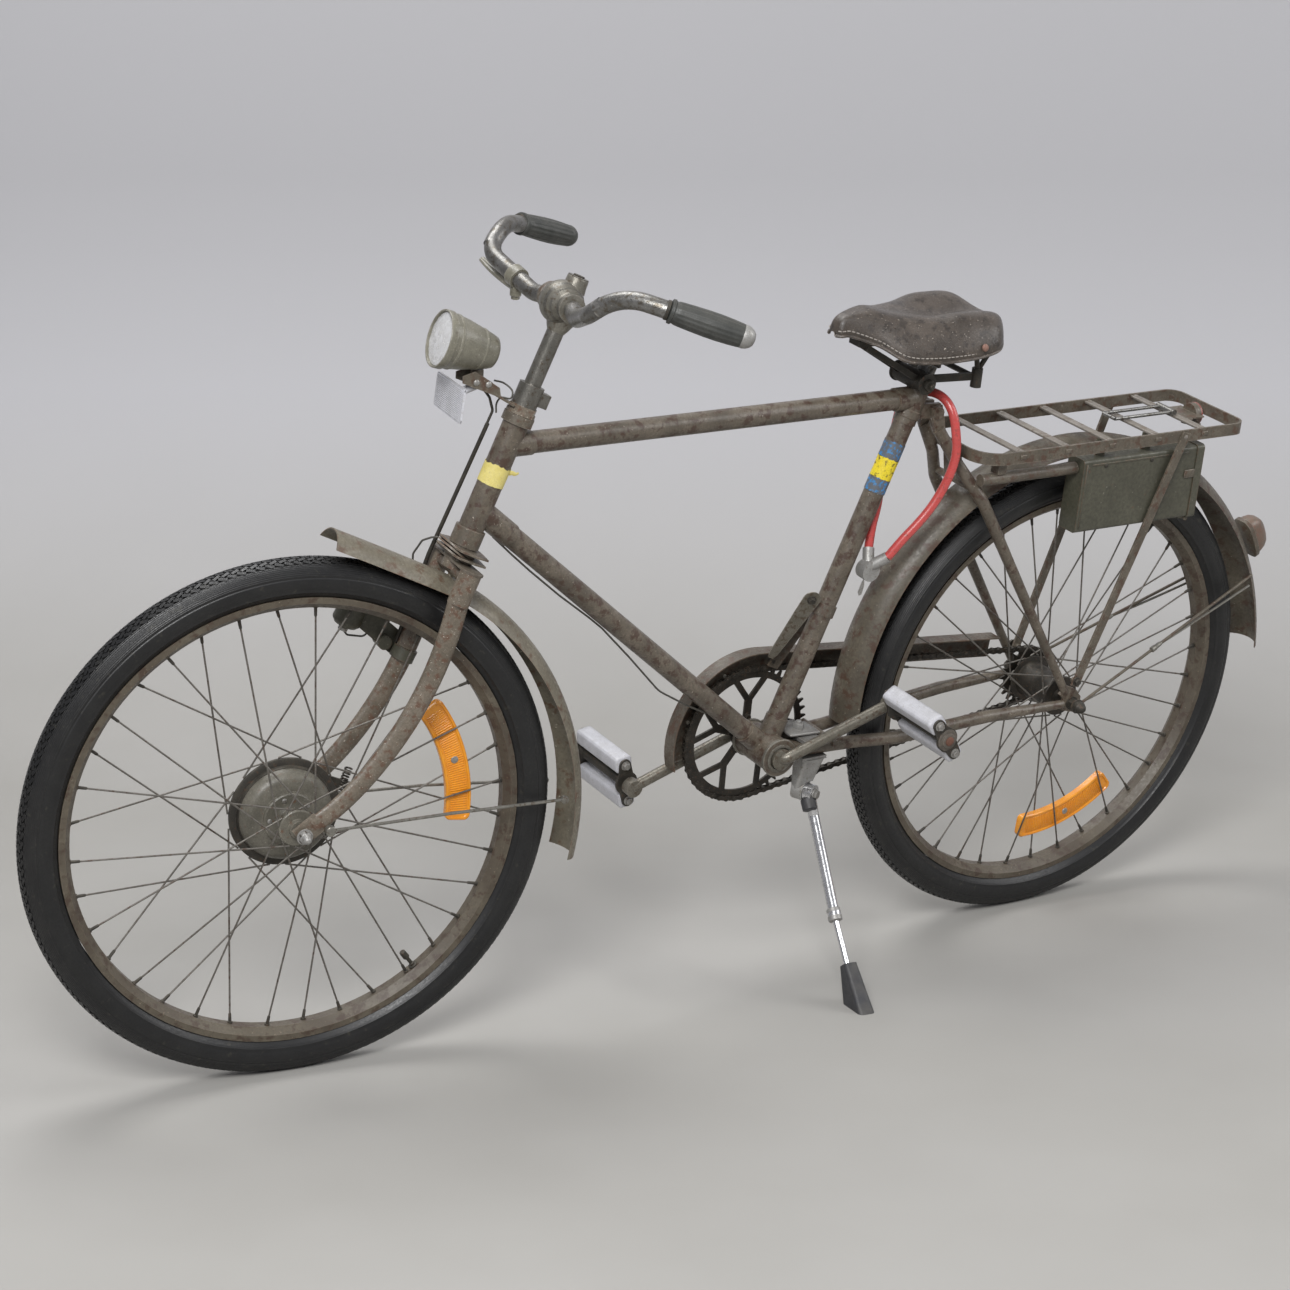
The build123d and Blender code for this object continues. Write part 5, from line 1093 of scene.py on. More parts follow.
    def nipples(self, shop: Shop) -> None:
        """A dark nipple at the rim for each spoke, leaning with it."""
        draft = Draft()
        flange = {1: 24.0, -1: 72.0} if self.drum else {1: 30.0, -1: 34.0}
        for number in range(4):
            side = 1 if number % 2 else -1
            lean = 1 if number % 4 < 2 else -1
            rim_angle = tau * (number + 0.5) / self.spokes
            foot_angle = rim_angle + radians(62) * lean
            hole = flange[side] + 1.2
            foot = vec(hole * cos(foot_angle), hole * sin(foot_angle), -(self.hub_half - 1.5) * side)
            reach = self.rim_inner + 0.4
            tip = vec(reach * cos(rim_angle), reach * sin(rim_angle), -1.5 * side)
            way = (foot - tip).normalized()
            draft.lathe([(-2, 3.4), (1.2, 3.4), (1.6, 2.2), (11.4, 2.0), (12.6, 1.5), (13, 1.2)], tip, way, 8)
        shop.ring(draft, self.prefix + "_nipples", self, "dark_steel", DARK_STEEL, self.spokes // 4,
                  tau * 4 / self.spokes)

    def valve(self, shop: Shop, at: float) -> None:
        """The tyre valve at an angle from straight ahead."""
        turn = radians(at)
        way = vec(-cos(turn), -sin(turn), 0)
        start = way * -(self.rim_inner + 1)
        profile = [(-2, 6.5), (1.6, 6.5), (2, 3.4), (4.6, 3.4), (5, 2.6), (15, 2.6), (15.4, 4.2), (17, 4.6), (26, 4.2),
                   (27, 3.2)]
        shop.fit(Draft().lathe(profile, start, way, 14), self.prefix + "_valve", self.body, "dark_steel", DARK_STEEL,
                 (), self.matrix)

    def reflector(self, shop: Shop) -> None:
        """The amber spoke reflector: a framed bar with fine ridges and a screw."""
        low, high, arc, half = *self.reflector_radii, radians(self.reflector_arc), 0.16 * self.hub_half
        middle = radians(self.reflector_at)

        def at(radius: float, share: float, z: float) -> Vector:
            """A point of the reflector, by radius and share of its arc."""
            turn = middle + arc * share / 2
            return vec(radius * cos(turn), radius * sin(turn), z)

        def outline(inset: float, z: float) -> list[Vector]:
            """The rounded strip's edge."""
            mid, wide = (low + high) / 2, (high - low) / 2 - inset
            half_arc = arc * mid / 2 - inset
            corner = 7.5
            ring = []
            for quarter, (along, across) in enumerate(((1, 1), (-1, 1), (-1, -1), (1, -1))):
                for step in range(7):
                    turn = pi / 2 * (quarter + step / 6)
                    place = along * (half_arc - corner) + corner * cos(turn)
                    ring.append(
                        at(mid + across * (wide - corner) + corner * sin(turn), place / (arc * mid / 2), z))
                if quarter in (0, 2):
                    reach = (half_arc - corner) / (arc * mid / 2)
                    ring += [at(mid + across * wide, along * reach * (1 - step / 6), z) for step in range(1, 12)]
            return ring
        draft = Draft()
        rings = [
            [draft.mesh.verts.new(p) for p in outline(inset, z)] for inset, z in ((4.2, 1.3 - half), (3.4, -half),
            (1.2, -half), (0, 1.4 - half), (0, half - 1.4), (1.2, half), (3.4, half), (4.2, half - 1.3))]
        draft.skin(rings)
        shop.fit(draft, self.prefix + "_reflector_body", self.body, "amber_plastic", AMBER,
                 [self.prefix + "_wheel_reflector"], self.matrix)
        count = self.reflector_ridges
        ridge = Draft()
        for side in (-1, 1):
            ridge.block(vec(223, 0, side * (half - 1.2)), vec(11.4, 0, 0), vec(0, 0.95, 0), vec(0, 0, side * 0.75), 0.5)
        step = arc * 0.86 / count
        shop.ring(ridge, self.prefix + "_reflector_ridges", self, "amber_plastic", AMBER, count, step,
                  middle - step * (count - 1) / 2)
        screw = Draft().lathe([(-0.2 - half, 2), (-half - 0.1, 4.4), (-half + 0.6, 5), (half - 0.6, 5),
                               (half + 0.1, 4.4), (half + 0.2, 2)], at(223, 0, 0), UPWARD, 16)
        shop.fit(screw, self.prefix + "_reflector_screw", self.body, "worn_steel", SCREW_STEEL, (), self.matrix)

    def build(self, shop: Shop) -> None:
        """Builds the whole wheel."""
        self.tyre(shop)
        self.hub(shop)
        self.nipples(shop)
        self.reflector(shop)
        self.valve(shop, 232.5 if self.drum else 100)
        shop.dress(self.body, RIM_PAINT, self.prefix + "_rim")
        shop.dress(self.body, SPOKE_STEEL, self.prefix + "_spokes")


# ---- saddle


@dataclass
class Saddle:
    """The moulded saddle cover with its rolled edge, stitches, rivets and clamp nuts."""

    sections: tuple[tuple[float, float, float, float, float], ...] = (
        (458, 579, 8, 571, .6), (452, 592, 15, 571.5, .6), (440, 599, 20, 572, .6), (408, 605, 42, 562, .5),
        (380, 603, 68, 547, .45), (345, 600, 84, 546, .5), (305, 594, 91, 548, .7), (270, 591, 92, 551, .86),
        (243, 590, 87, 556, .93), (222, 588, 64, 560, .9), (209, 583, 38, 566, .8))
    across: int = 40
    wall: float = 3.0

    def rows(self) -> list[Vector]:
        """Sections all the way from nose to back, as vectors with their shoulder shares."""
        keys = [vec(x, top, half) for x, top, half, _, _ in self.sections]
        lows = [vec(low, share, 0) for _, _, _, low, share in self.sections]
        return list(zip(smooth_line(keys, 7), smooth_line(lows, 7)))

    def shell(self, inset: float) -> list[list[Vector]]:
        """The cover's rows of points, drawn in by an inset."""
        made = []
        for (x, top, half), (low, share, _) in self.rows():
            power = log(1 - min(share, 0.93)) / log(0.8)
            dip = 8.0 * max(0.0, 1 - ((x - 312) / 95) ** 2)
            row = []
            for step in range(self.across + 1):
                t = sin(pi * (step / self.across - 0.5))
                rise = 1 - abs(t) ** power
                y = abs(t * half)
                lobes = 9.5 * exp(-((y - 47) / 25) ** 2) * exp(-((x - 262) / 48) ** 4)
                z = low + (top - low - inset) * rise - dip * exp(-(y / 26) ** 2) + lobes * min(rise * 3, 1)
                tuck = 1 - 0.05 * max(0.0, 1 - rise * 4)
                row.append(vec(x, t * (half - inset) * tuck, z))
            made.append(row)
        return made

    def build(self, shop: Shop) -> None:
        """Builds the cover and its fittings."""
        outer, inner = self.shell(0), self.shell(self.wall)
        draft = Draft()
        loops = []
        for row, under in zip(outer, inner):
            loops.append([*row, *reversed(under)])
        rings = [[draft.mesh.verts.new(point) for point in loop] for loop in loops]
        draft.skin(rings)
        cover = shop.fit(draft, "saddle_shell", "frame", "saddle_plastic", HIDE, ["saddle_cover"], None, 60)
        left, right = outer[-1][-1], outer[-1][0]
        back = [right.lerp(left, step / 12) - vec(2.5 * sin(pi * step / 12), 0, 0) for step in range(1, 12)]
        edge = [row[0] for row in outer] + back + [row[-1] for row in reversed(outer)]
        edge = [point + vec(0, 0, 1.2) for point in edge]
        shop.fit(Draft().tube(edge, 2.3, 8), "saddle_edge_roll", "frame", "saddle_plastic", HIDE)
        seam = [point + vec(0, 0, 6.5) for point in edge[4:-4]]
        look = shop.look(PIPING)
        stitch = Draft().block(ORIGIN, vec(0, 0, 2.2), vec(0.75, 0, 0), vec(0, 0.75, 0), 0.3)
        made = shop.repeat.make(
            shop.repeat.path, stitch, "saddle_stitches", PLACE.frame, look, Path=path_curve(seam, False), Count=110)
        fit(made, "frame", "saddle_plastic", look)
        spots = [(vec(404, side * 30, 581), vec(0.15, side, 0.35)) for side in (1, -1)]
        spots += [(vec(273, side * 89.5, 565), vec(0, side, 0.25)) for side in (1, -1)]
        shop.studs(dome(5.2, 2.6, 16), spots, "saddle_rivets", "frame", "saddle_plastic", RIVET_COPPER)
        bolts = Draft()
        for side in (1, -1):
            out = vec(0, side, 0)
            centre = vec(316, side * 30, 500)
            bolts.lathe([(0, 13.5), (0.8, 14.6), (3, 14.6), (3.6, 13)], centre, out, 24)
            bolts.nut(centre + out * 3, centre + out * 11, 8.6)
            bolts.lathe([(0, 4), (5, 4), (6, 3)], centre + out * 10, out, 12)
        shop.fit(bolts, "saddle_clamp_nuts", "frame", "dark_steel", DARK_STEEL)
        shop.dress("frame", DARK_STEEL, "saddle_frame")
        shop.dress("frame", WORN_STEEL, "seat_post")


# ---- steering


@dataclass
class Handlebar:
    """Bar, stem, ribbed grips with bright end caps, and the lever bar under the right half."""

    grip_length: float = 96.0
    grip_end: tuple[float, float, float] = (456, 273, 666)
    bend_end: tuple[float, float, float] = (364, 235, 695)
    stem_head: float = 725.0

    def fore(self, back: float, left: float, up: float) -> Vector:
        """A point given back from the front axle."""
        return vec(WHEELBASE - back, left, up)

    def build(self, shop: Shop) -> None:
        """Builds the grips and dresses the rest."""
        grips, caps, rings = Draft(), Draft(), Draft()
        for side in (1, -1):
            end, bar_end = (self.fore(back, left * side, up) for back, left, up in (self.grip_end, self.bend_end))
            way = (end - bar_end).normalized()
            start = end - way * self.grip_length
            side_way = way.orthogonal().normalized()
            rows = []
            for along, radius, flute in ((-6, 12.4, 0), (-5, 14.8, 0), (-1.5, 15, 0), (-0.5, 13.4, 0), (1, 13.4, 0),
                                         (3, 14.2, 0.2),
                                         (8, 14.6, 0.7), (20, 15.2, 0.7), (40, 15.9, 0.7), (55, 15.9, 0.7),
                                         (70, 15.3, 0.7),
                                         (80, 14.6, 0.6), (84, 14.1, 0), (85, 12, 0)):
                turns = [tau * step / 96 for step in range(96)]
                sizes = [radius - flute * (0.5 + 0.5 * cos(turn * 16)) for turn in turns]
                rows.append([grips.mesh.verts.new(start + way * along + aside(side_way, way, turn) * size)
                             for turn, size in zip(turns, sizes)])
            grips.skin(rows)
            cap = [(83, 13.6), (84.4, 14.2), (88, 14.1), (92, 13), (96, 10.6), (98.8, 7.4), (100, 2.5)]
            (caps if side > 0 else grips).lathe(cap, start, way, 32)
            rings.lathe([(-10.5, 11.2), (-10, 12.2), (-7, 12.2), (-6.4, 11.2)], start, way, 28)
        shop.fit(grips, "handle_grips", "fork", "grip_rubber", GRIP, ["grips"])
        shop.fit(caps, "grip_end_caps", "fork", "worn_steel", CAST)
        shop.fit(rings, "grip_rings", "fork", "dark_steel", DARK_STEEL)
        self.stem(shop)
        self.lever(shop)
        shop.dress("fork", WORN_STEEL, "handlebar")
        shop.dress("fork", STEM_STEEL, "stem")
        shop.dress("fork", LAMP_PAINT, "brake_lever")

    def stem(self, shop: Shop) -> None:
        """The round lug that holds the bar, its bolt and its collar."""
        head = PLACE.steering(self.stem_head, 8)
        out = LEFTWARD
        stem = Draft().lathe(
            [(-35.5, 14.5), (-34.5, 17.6), (-30, 17.8), (-27, 16.4), (-22, 18.2), (-14, 24.6), (-5, 27.8), (0, 28.2),
            (5, 27.8), (14, 24.6), (22, 18.2), (27, 16.4), (30, 17.8), (34.5, 17.6), (35.5, 14.5)], head, out, 48)
        way = PLACE.UP
        stem.lathe([(-36, 11.3), (-30, 14.5), (-24, 17), (-12, 24)], PLACE.steering(self.stem_head), way, 40)
        stem.lathe([(18, 15.5), (27, 14.2), (34, 13.9), (36, 13.4), (37, 11.6)], PLACE.steering(self.stem_head), way,
                   36)
        shop.fit(stem, "stem_ball", "fork", "cast_aluminium", BALL_STEEL, (), None, 50)
        top = Draft().nut(PLACE.steering(761.5), PLACE.steering(764), 7.4)
        shop.fit(top, "stem_bolt", "fork", "dark_steel", DARK_STEEL)
        collars = Draft()
        collars.lathe([(-5, 18), (-4, 18.8), (3, 18.8), (4, 17.8)], head - out * 31, out, 40)
        shop.fit(collars, "stem_collar", "fork", "army_paint", CARRIER_PAINT)

    def lever(self, shop: Shop) -> None:
        """The lever bar under the right half."""
        first, second = self.fore(321, -69, 645), self.fore(297, -165, 676)
        clamp = first + (second - first).normalized() * 40
        under = clamp - vec(0, 0, 16)
        lever = Draft()
        lever.tube(smooth_line([under, under + vec(4, -30, 4), under + vec(8, -62, 10), under + vec(10, -92, 17)]),
                   [5.6, 5.6] + [5.2] * 15 + [5.0, 4.8], 10, 0.7)
        lever.rod(under + vec(0, 0, 4), under - vec(0, 0, 9), 7.4, 16)
        lever.nut(under - vec(0, 0, 8), under - vec(0, 0, 13), 5.6)
        shop.fit(lever, "brake_lever_bar", "fork", "army_paint", LAMP_PAINT)


@dataclass
class HeadLamp:
    """The lamp shell with its rim, ribbed glass, bracket and white reflector below."""

    glass_radius: float = 33.0
    glass_rings: int = 12
    glass_steps: int = 48
    reflector_ribs: int = 17

    def build(self, shop: Shop) -> None:
        """Builds the lamp and what holds it."""
        back, rim = vec(960.8, 0, 588.9), vec(1034.6, 0, 610.8)
        way = (rim - back).normalized()
        length = (rim - back).length
        outside = [(0, 5), (0.4, 12), (1.2, 17), (3, 19.8), (8, 21.8), (18, 24.6), (30, 27.8), (44, 31.3), (56, 33.4),
                   (length - 12, 34.6), (length - 9.6, 35), (length - 9, 36.4), (length - 5, 36.5), (length - 1, 36.5),
                   (length, 35.9), (length, 34.4), (length - 3, 33.6)]
        inside = [(length - 10, 32), (length - 26, 27.5), (length - 42, 20), (length - 54, 9), (length - 57, 1)]
        shell = Draft()
        shell.lathe(outside + inside, back, way, 72)
        for at, tall in ((22, 0.7), (length - 18, 0.6)):
            size = 25.6 if at == 22 else 34.0
            shell.lathe([(at - 2, size), (at - 1, size + tall), (at + 1, size + tall), (at + 2, size + 0.2)], back,
                        way, 72)
        shop.fit(shell, "lamp_body", "fork", "army_paint", LAMP_PAINT, ["lamp_shell"])
        self.lens(shop, rim, way)
        self.mount(shop)

    def lens(self, shop: Shop, rim: Vector, way: Vector) -> None:
        """The ribbed glass.

        Args:
            shop: the shared groups and trees.
            rim: the middle of the lamp's rim.
            way: the way that the lamp points.
        """
        glass = Draft()
        centre = rim - way * 3
        side = LEFTWARD
        up = way.cross(side) * -1
        rows, size, steps = self.glass_rings, self.glass_radius, self.glass_steps
        rings = []
        for row in range(rows + 1):
            share = row / rows
            ring = []
            for step in range(steps):
                turn = tau * step / steps
                y, z = cos(turn) * share * size, sin(turn) * share * size
                rib = 0.35 * sin(y * 1.15)
                ring.append(centre + side * y + up * z + way * (2.0 * (1 - share ** 2) + rib))
            rings.append(ring)
        front = [[glass.mesh.verts.new(p) for p in ring] for ring in rings[1:]]
        tip = glass.mesh.verts.new(rings[0][0])
        base = [[glass.mesh.verts.new(p - way * 1.8) for p in rings[-1]],
                [glass.mesh.verts.new(centre - way * 1.8 + (p - centre) * 0.5) for p in rings[-1]]]
        chain = [*front, *base]
        for low, high in zip(chain, chain[1:]):
            for index in range(steps):
                after = (index + 1) % steps
                glass.mesh.faces.new((low[index], low[after], high[after], high[index]))
        for index in range(steps):
            glass.mesh.faces.new((tip, front[0][index], front[0][(index + 1) % steps]))
        glass.mesh.faces.new(chain[-1])
        made = glass.finish("lamp_lens", PLACE.fork, 60)
        material = bpy.data.materials.new("lens_glass")
        material.use_nodes = True
        web = Web(material.node_tree)
        shader = material.node_tree.nodes["Principled BSDF"]
        place = web.add("ShaderNodeGroup", node_tree=shop.groups.drawing["fork"]).outputs[0]
        grime = web.add("ShaderNodeGroup", {"Vector": place, "Size": 9.0, "From": 0.4, "To": 0.75},
                        node_tree=shop.groups.blotch).outputs[0]
        web.feed(shader.inputs["Base Color"], web.mix(grime, rgba((0.82, 0.82, 0.83)), rgba((0.6, 0.59, 0.57))))
        web.feed(shader.inputs["Roughness"], web.span(grime, 0, 1, 0.12, 0.4))
        shader.inputs["Transmission Weight"].default_value = 0.35
        fit(made, "fork", "lamp_glass", material, ["lamp_glass"])

    def mount(self, shop: Shop) -> None:
        """The bracket, the white reflector under the lamp and the leads."""
        shop.dress("fork", CARRIER_PAINT, "lamp_bracket")
        plate = vec(1016, 0, 536)
        lean = vec(1, 0, 0.1).normalized()
        tall = vec(-0.1, 0, 1).normalized()
        board = Draft().block(plate + lean * 1.4, vec(0, 45.6, 0), tall * 21.1, lean * 1.5, 1.2)
        shop.fit(board, "front_reflector_plate", "fork", "white_plastic", WHITE)
        ribs = Draft()
        for step in range(self.reflector_ribs):
            at = plate + lean * 3.1 + tall * (-18.4 + 2.3 * step)
            ribs.block(at, vec(0, 43.4, 0), tall * 0.8, lean * 0.6, 0.35)
        shop.fit(ribs, "front_reflector_ribs", "fork", "white_plastic", WHITE)
        shop.dress("fork", WHITE, "front_reflector")
        loop = smooth_line([vec(955, -12, 551), vec(941, -15, 546), vec(934, -4, 539), vec(941, 9, 533),
                            vec(952, 6, 534), vec(954, -4, 524), vec(954, -4, 512)], 5)
        shop.fit(Draft().tube(loop, 1.2, 7), "lamp_wire_loop", "fork", "dark_steel", LEAD)
        spots = [(vec(972, 12.4, 553), LEFTWARD), (vec(988, 12.4, 556), LEFTWARD)]
        channel = Draft()
        for side_way in (1, -1):
            outline = [vec(955, 11 * side_way, 535), vec(1006, 11 * side_way, 556), vec(1006, 11 * side_way, 565),
                       vec(990, 11 * side_way, 570), vec(957, 11 * side_way, 548)]
            channel.slab(outline, vec(0, 1.6 * side_way, 0))
        shop.fit(channel, "lamp_channel", "fork", "army_paint", CARRIER_PAINT)
        shop.studs(dome(4.2, 2.4), spots, "lamp_bracket_rivets", "fork", "worn_steel", SCREW_STEEL)
        shop.dress("fork", LEAD, "lamp_lead")
        shop.dress("fork", DARK_STEEL, "brake_rod")


@dataclass
class Fork:
    """Crown, blades, dynamo, mudguard and the brake plate beside the drum."""

    drum_face: float = -34.0

    def build(self, shop: Shop) -> None:
        """Dresses the fork and adds its small parts."""
        shop.dress("fork", FORK_PAINT, "fork_blades", "fork_crown")
        shop.dress("fork", GUARD_PAINT, "front_mudguard")
        shop.dress("fork", BOX_PAINT, "dynamo")
        shop.dress("fork", DARK_STEEL, "front_axle")
        self.brake(shop)
        self.stays(shop)
        self.crown(shop)
        self.dynamo(shop)

    def brake(self, shop: Shop) -> None:
        """The plate beside the drum, its arm and its spring."""
        hub = vec(WHEELBASE, self.drum_face, 0)
        out = vec(0, -1, 0)
        plate = Draft().lathe([(-2.4, 12), (-2, 55), (-0.6, 63), (0.6, 63.4), (1.6, 61), (2.2, 50), (3.4, 48),
                               (3.6, 30), (6, 27), (6.4, 12)], hub, out, 64)
        shop.fit(plate, "front_brake_plate", "fork", "dark_steel", FORK_PAINT)
        lever = Draft()
        lever.slab([polar(44, 148, -42, WHEELBASE), polar(58, 136, -42, WHEELBASE), polar(72, 150, -42, WHEELBASE),
                    polar(96, 166, -42, WHEELBASE), polar(92, 171, -42, WHEELBASE), polar(60, 160, -42, WHEELBASE)],
                    vec(0, -3.2, 0))
        lever.rod(polar(54, 146, -36, WHEELBASE), polar(54, 146, -50, WHEELBASE), 6, 16)
        lever.nut(polar(54, 146, -45, WHEELBASE), polar(54, 146, -52, WHEELBASE), 8)
        shop.fit(lever, "front_brake_arm", "fork", "dark_steel", DARK_STEEL)
        coil = []
        begin, stop = vec(1130, -45, 4), vec(1115, -45, 43)
        axis = (stop - begin).normalized()
        side = LEFTWARD
        front = side.cross(axis)
        for step in range(11 * 14 + 1):
            turn = tau * step / 14
            coil.append(begin.lerp(stop, step / 154) + (side * cos(turn) + front * sin(turn)) * 4.4)
        shop.fit(Draft().tube(coil, 1.25, 6), "front_brake_spring", "fork", "dark_steel", GREASY)

    def stays(self, shop: Shop) -> None:
        """The mudguard's wire stays and the axle's domed nuts."""
        stays, nuts = Draft(), Draft()
        for side in (1, -1):
            low = vec(WHEELBASE - 33, side * 57, 4)
            high = vec(WHEELBASE - 357, side * 34.6, 2)
            stays.tube([low, low.lerp(high, 0.5) + vec(0, side * 3, 3), high], 2.2, 8)
            stays.lathe([(-5, 6), (-4.4, 6.6), (4.4, 6.6), (5, 6)], low, LEFTWARD, 16)
            stays.lathe([(-3, 5), (3, 5), (3.8, 3)], high, vec(0, side, 0), 12)
            nuts.lathe([(0, 10.4), (1.4, 10.4), (1.6, 8.2), (7, 8), (7.6, 7), (12, 5.6), (15.4, 3.6), (16.6, 1.2)],
                       vec(WHEELBASE, side * 57.8, 0), vec(0, side, 0), 24)
        shop.fit(stays, "front_mudguard_stays", "fork", "worn_steel", STAY_STEEL)
        shop.fit(nuts, "front_axle_domes", "fork", "worn_steel", CAST)

    def crown(self, shop: Shop) -> None:
        """The crown's stacked plates, with the rounded one at its foot."""
        plates = Draft()
        outline = ((24, -10), (20, -34), (4, -40), (-20, -34), (-25, -12), (-25, 10), (-22, 38), (-6, 41), (16, 33),
                   (24, 12))
        for along in (396.5, 387.5):
            plates.slab([PLACE.steering(along, ahead, left) for ahead, left in outline], PLACE.UP * 2.4)
            plates.lathe([(-6.4, 18.5), (-6, 19.4), (-1, 19.4), (0, 18)], PLACE.steering(along), PLACE.UP, 32)
        turns = [pi * (step / 9 - 0.5) for step in range(10)]
        ends = [PLACE.steering(379.4, 15.6 * sin(a), 50 + 15.6 * cos(a)) for a in turns]
        ends += [PLACE.steering(379.4, -15.6 * sin(a), -50 - 15.6 * cos(a)) for a in turns]
        plates.slab(ends, PLACE.UP * 2.6)
        shop.fit(plates, "crown_plates", "fork", "dark_steel", CARRIER_PAINT)

    def dynamo(self, shop: Shop) -> None:
        """The bottle dynamo with its roller and terminal."""
        foot, way = vec(1116, -70, 232), vec(-31, 10, 79).normalized()
        bottle = Draft()
        bottle.lathe([(-5.5, 9), (-5, 14.8), (-1, 18.6), (1, 19.4), (4, 19.4), (5, 19.1), (40, 19.1), (41, 19.4),
                      (45, 19.4), (48, 18.2), (53, 12), (56, 9.4), (56.6, 6)], foot, way, 48)
        shop.fit(bottle, "dynamo_bottle", "fork", "army_paint", BOX_PAINT)
        wheel = Draft()
        profile = [(59.6, 5)]
        for ridge in range(5):
            profile += [(60 + ridge * 3.5, 9.4), (61 + ridge * 3.5, 10.2), (62.4 + ridge * 3.5, 10.2),
                        (63.2 + ridge * 3.5, 9.4)]
        wheel.lathe([*profile, (78, 5)], foot, way, 24)
        shop.fit(wheel, "dynamo_roller", "fork", "dark_steel", GREASY)
        tip = Draft().lathe([(-13.5, 3), (-13, 6.4), (-9, 6.4), (-8.4, 4.4), (-4, 4.4)], foot, way, 14)
        shop.fit(tip, "dynamo_terminal", "fork", "dark_steel", SCREW_STEEL)


# ---- drive


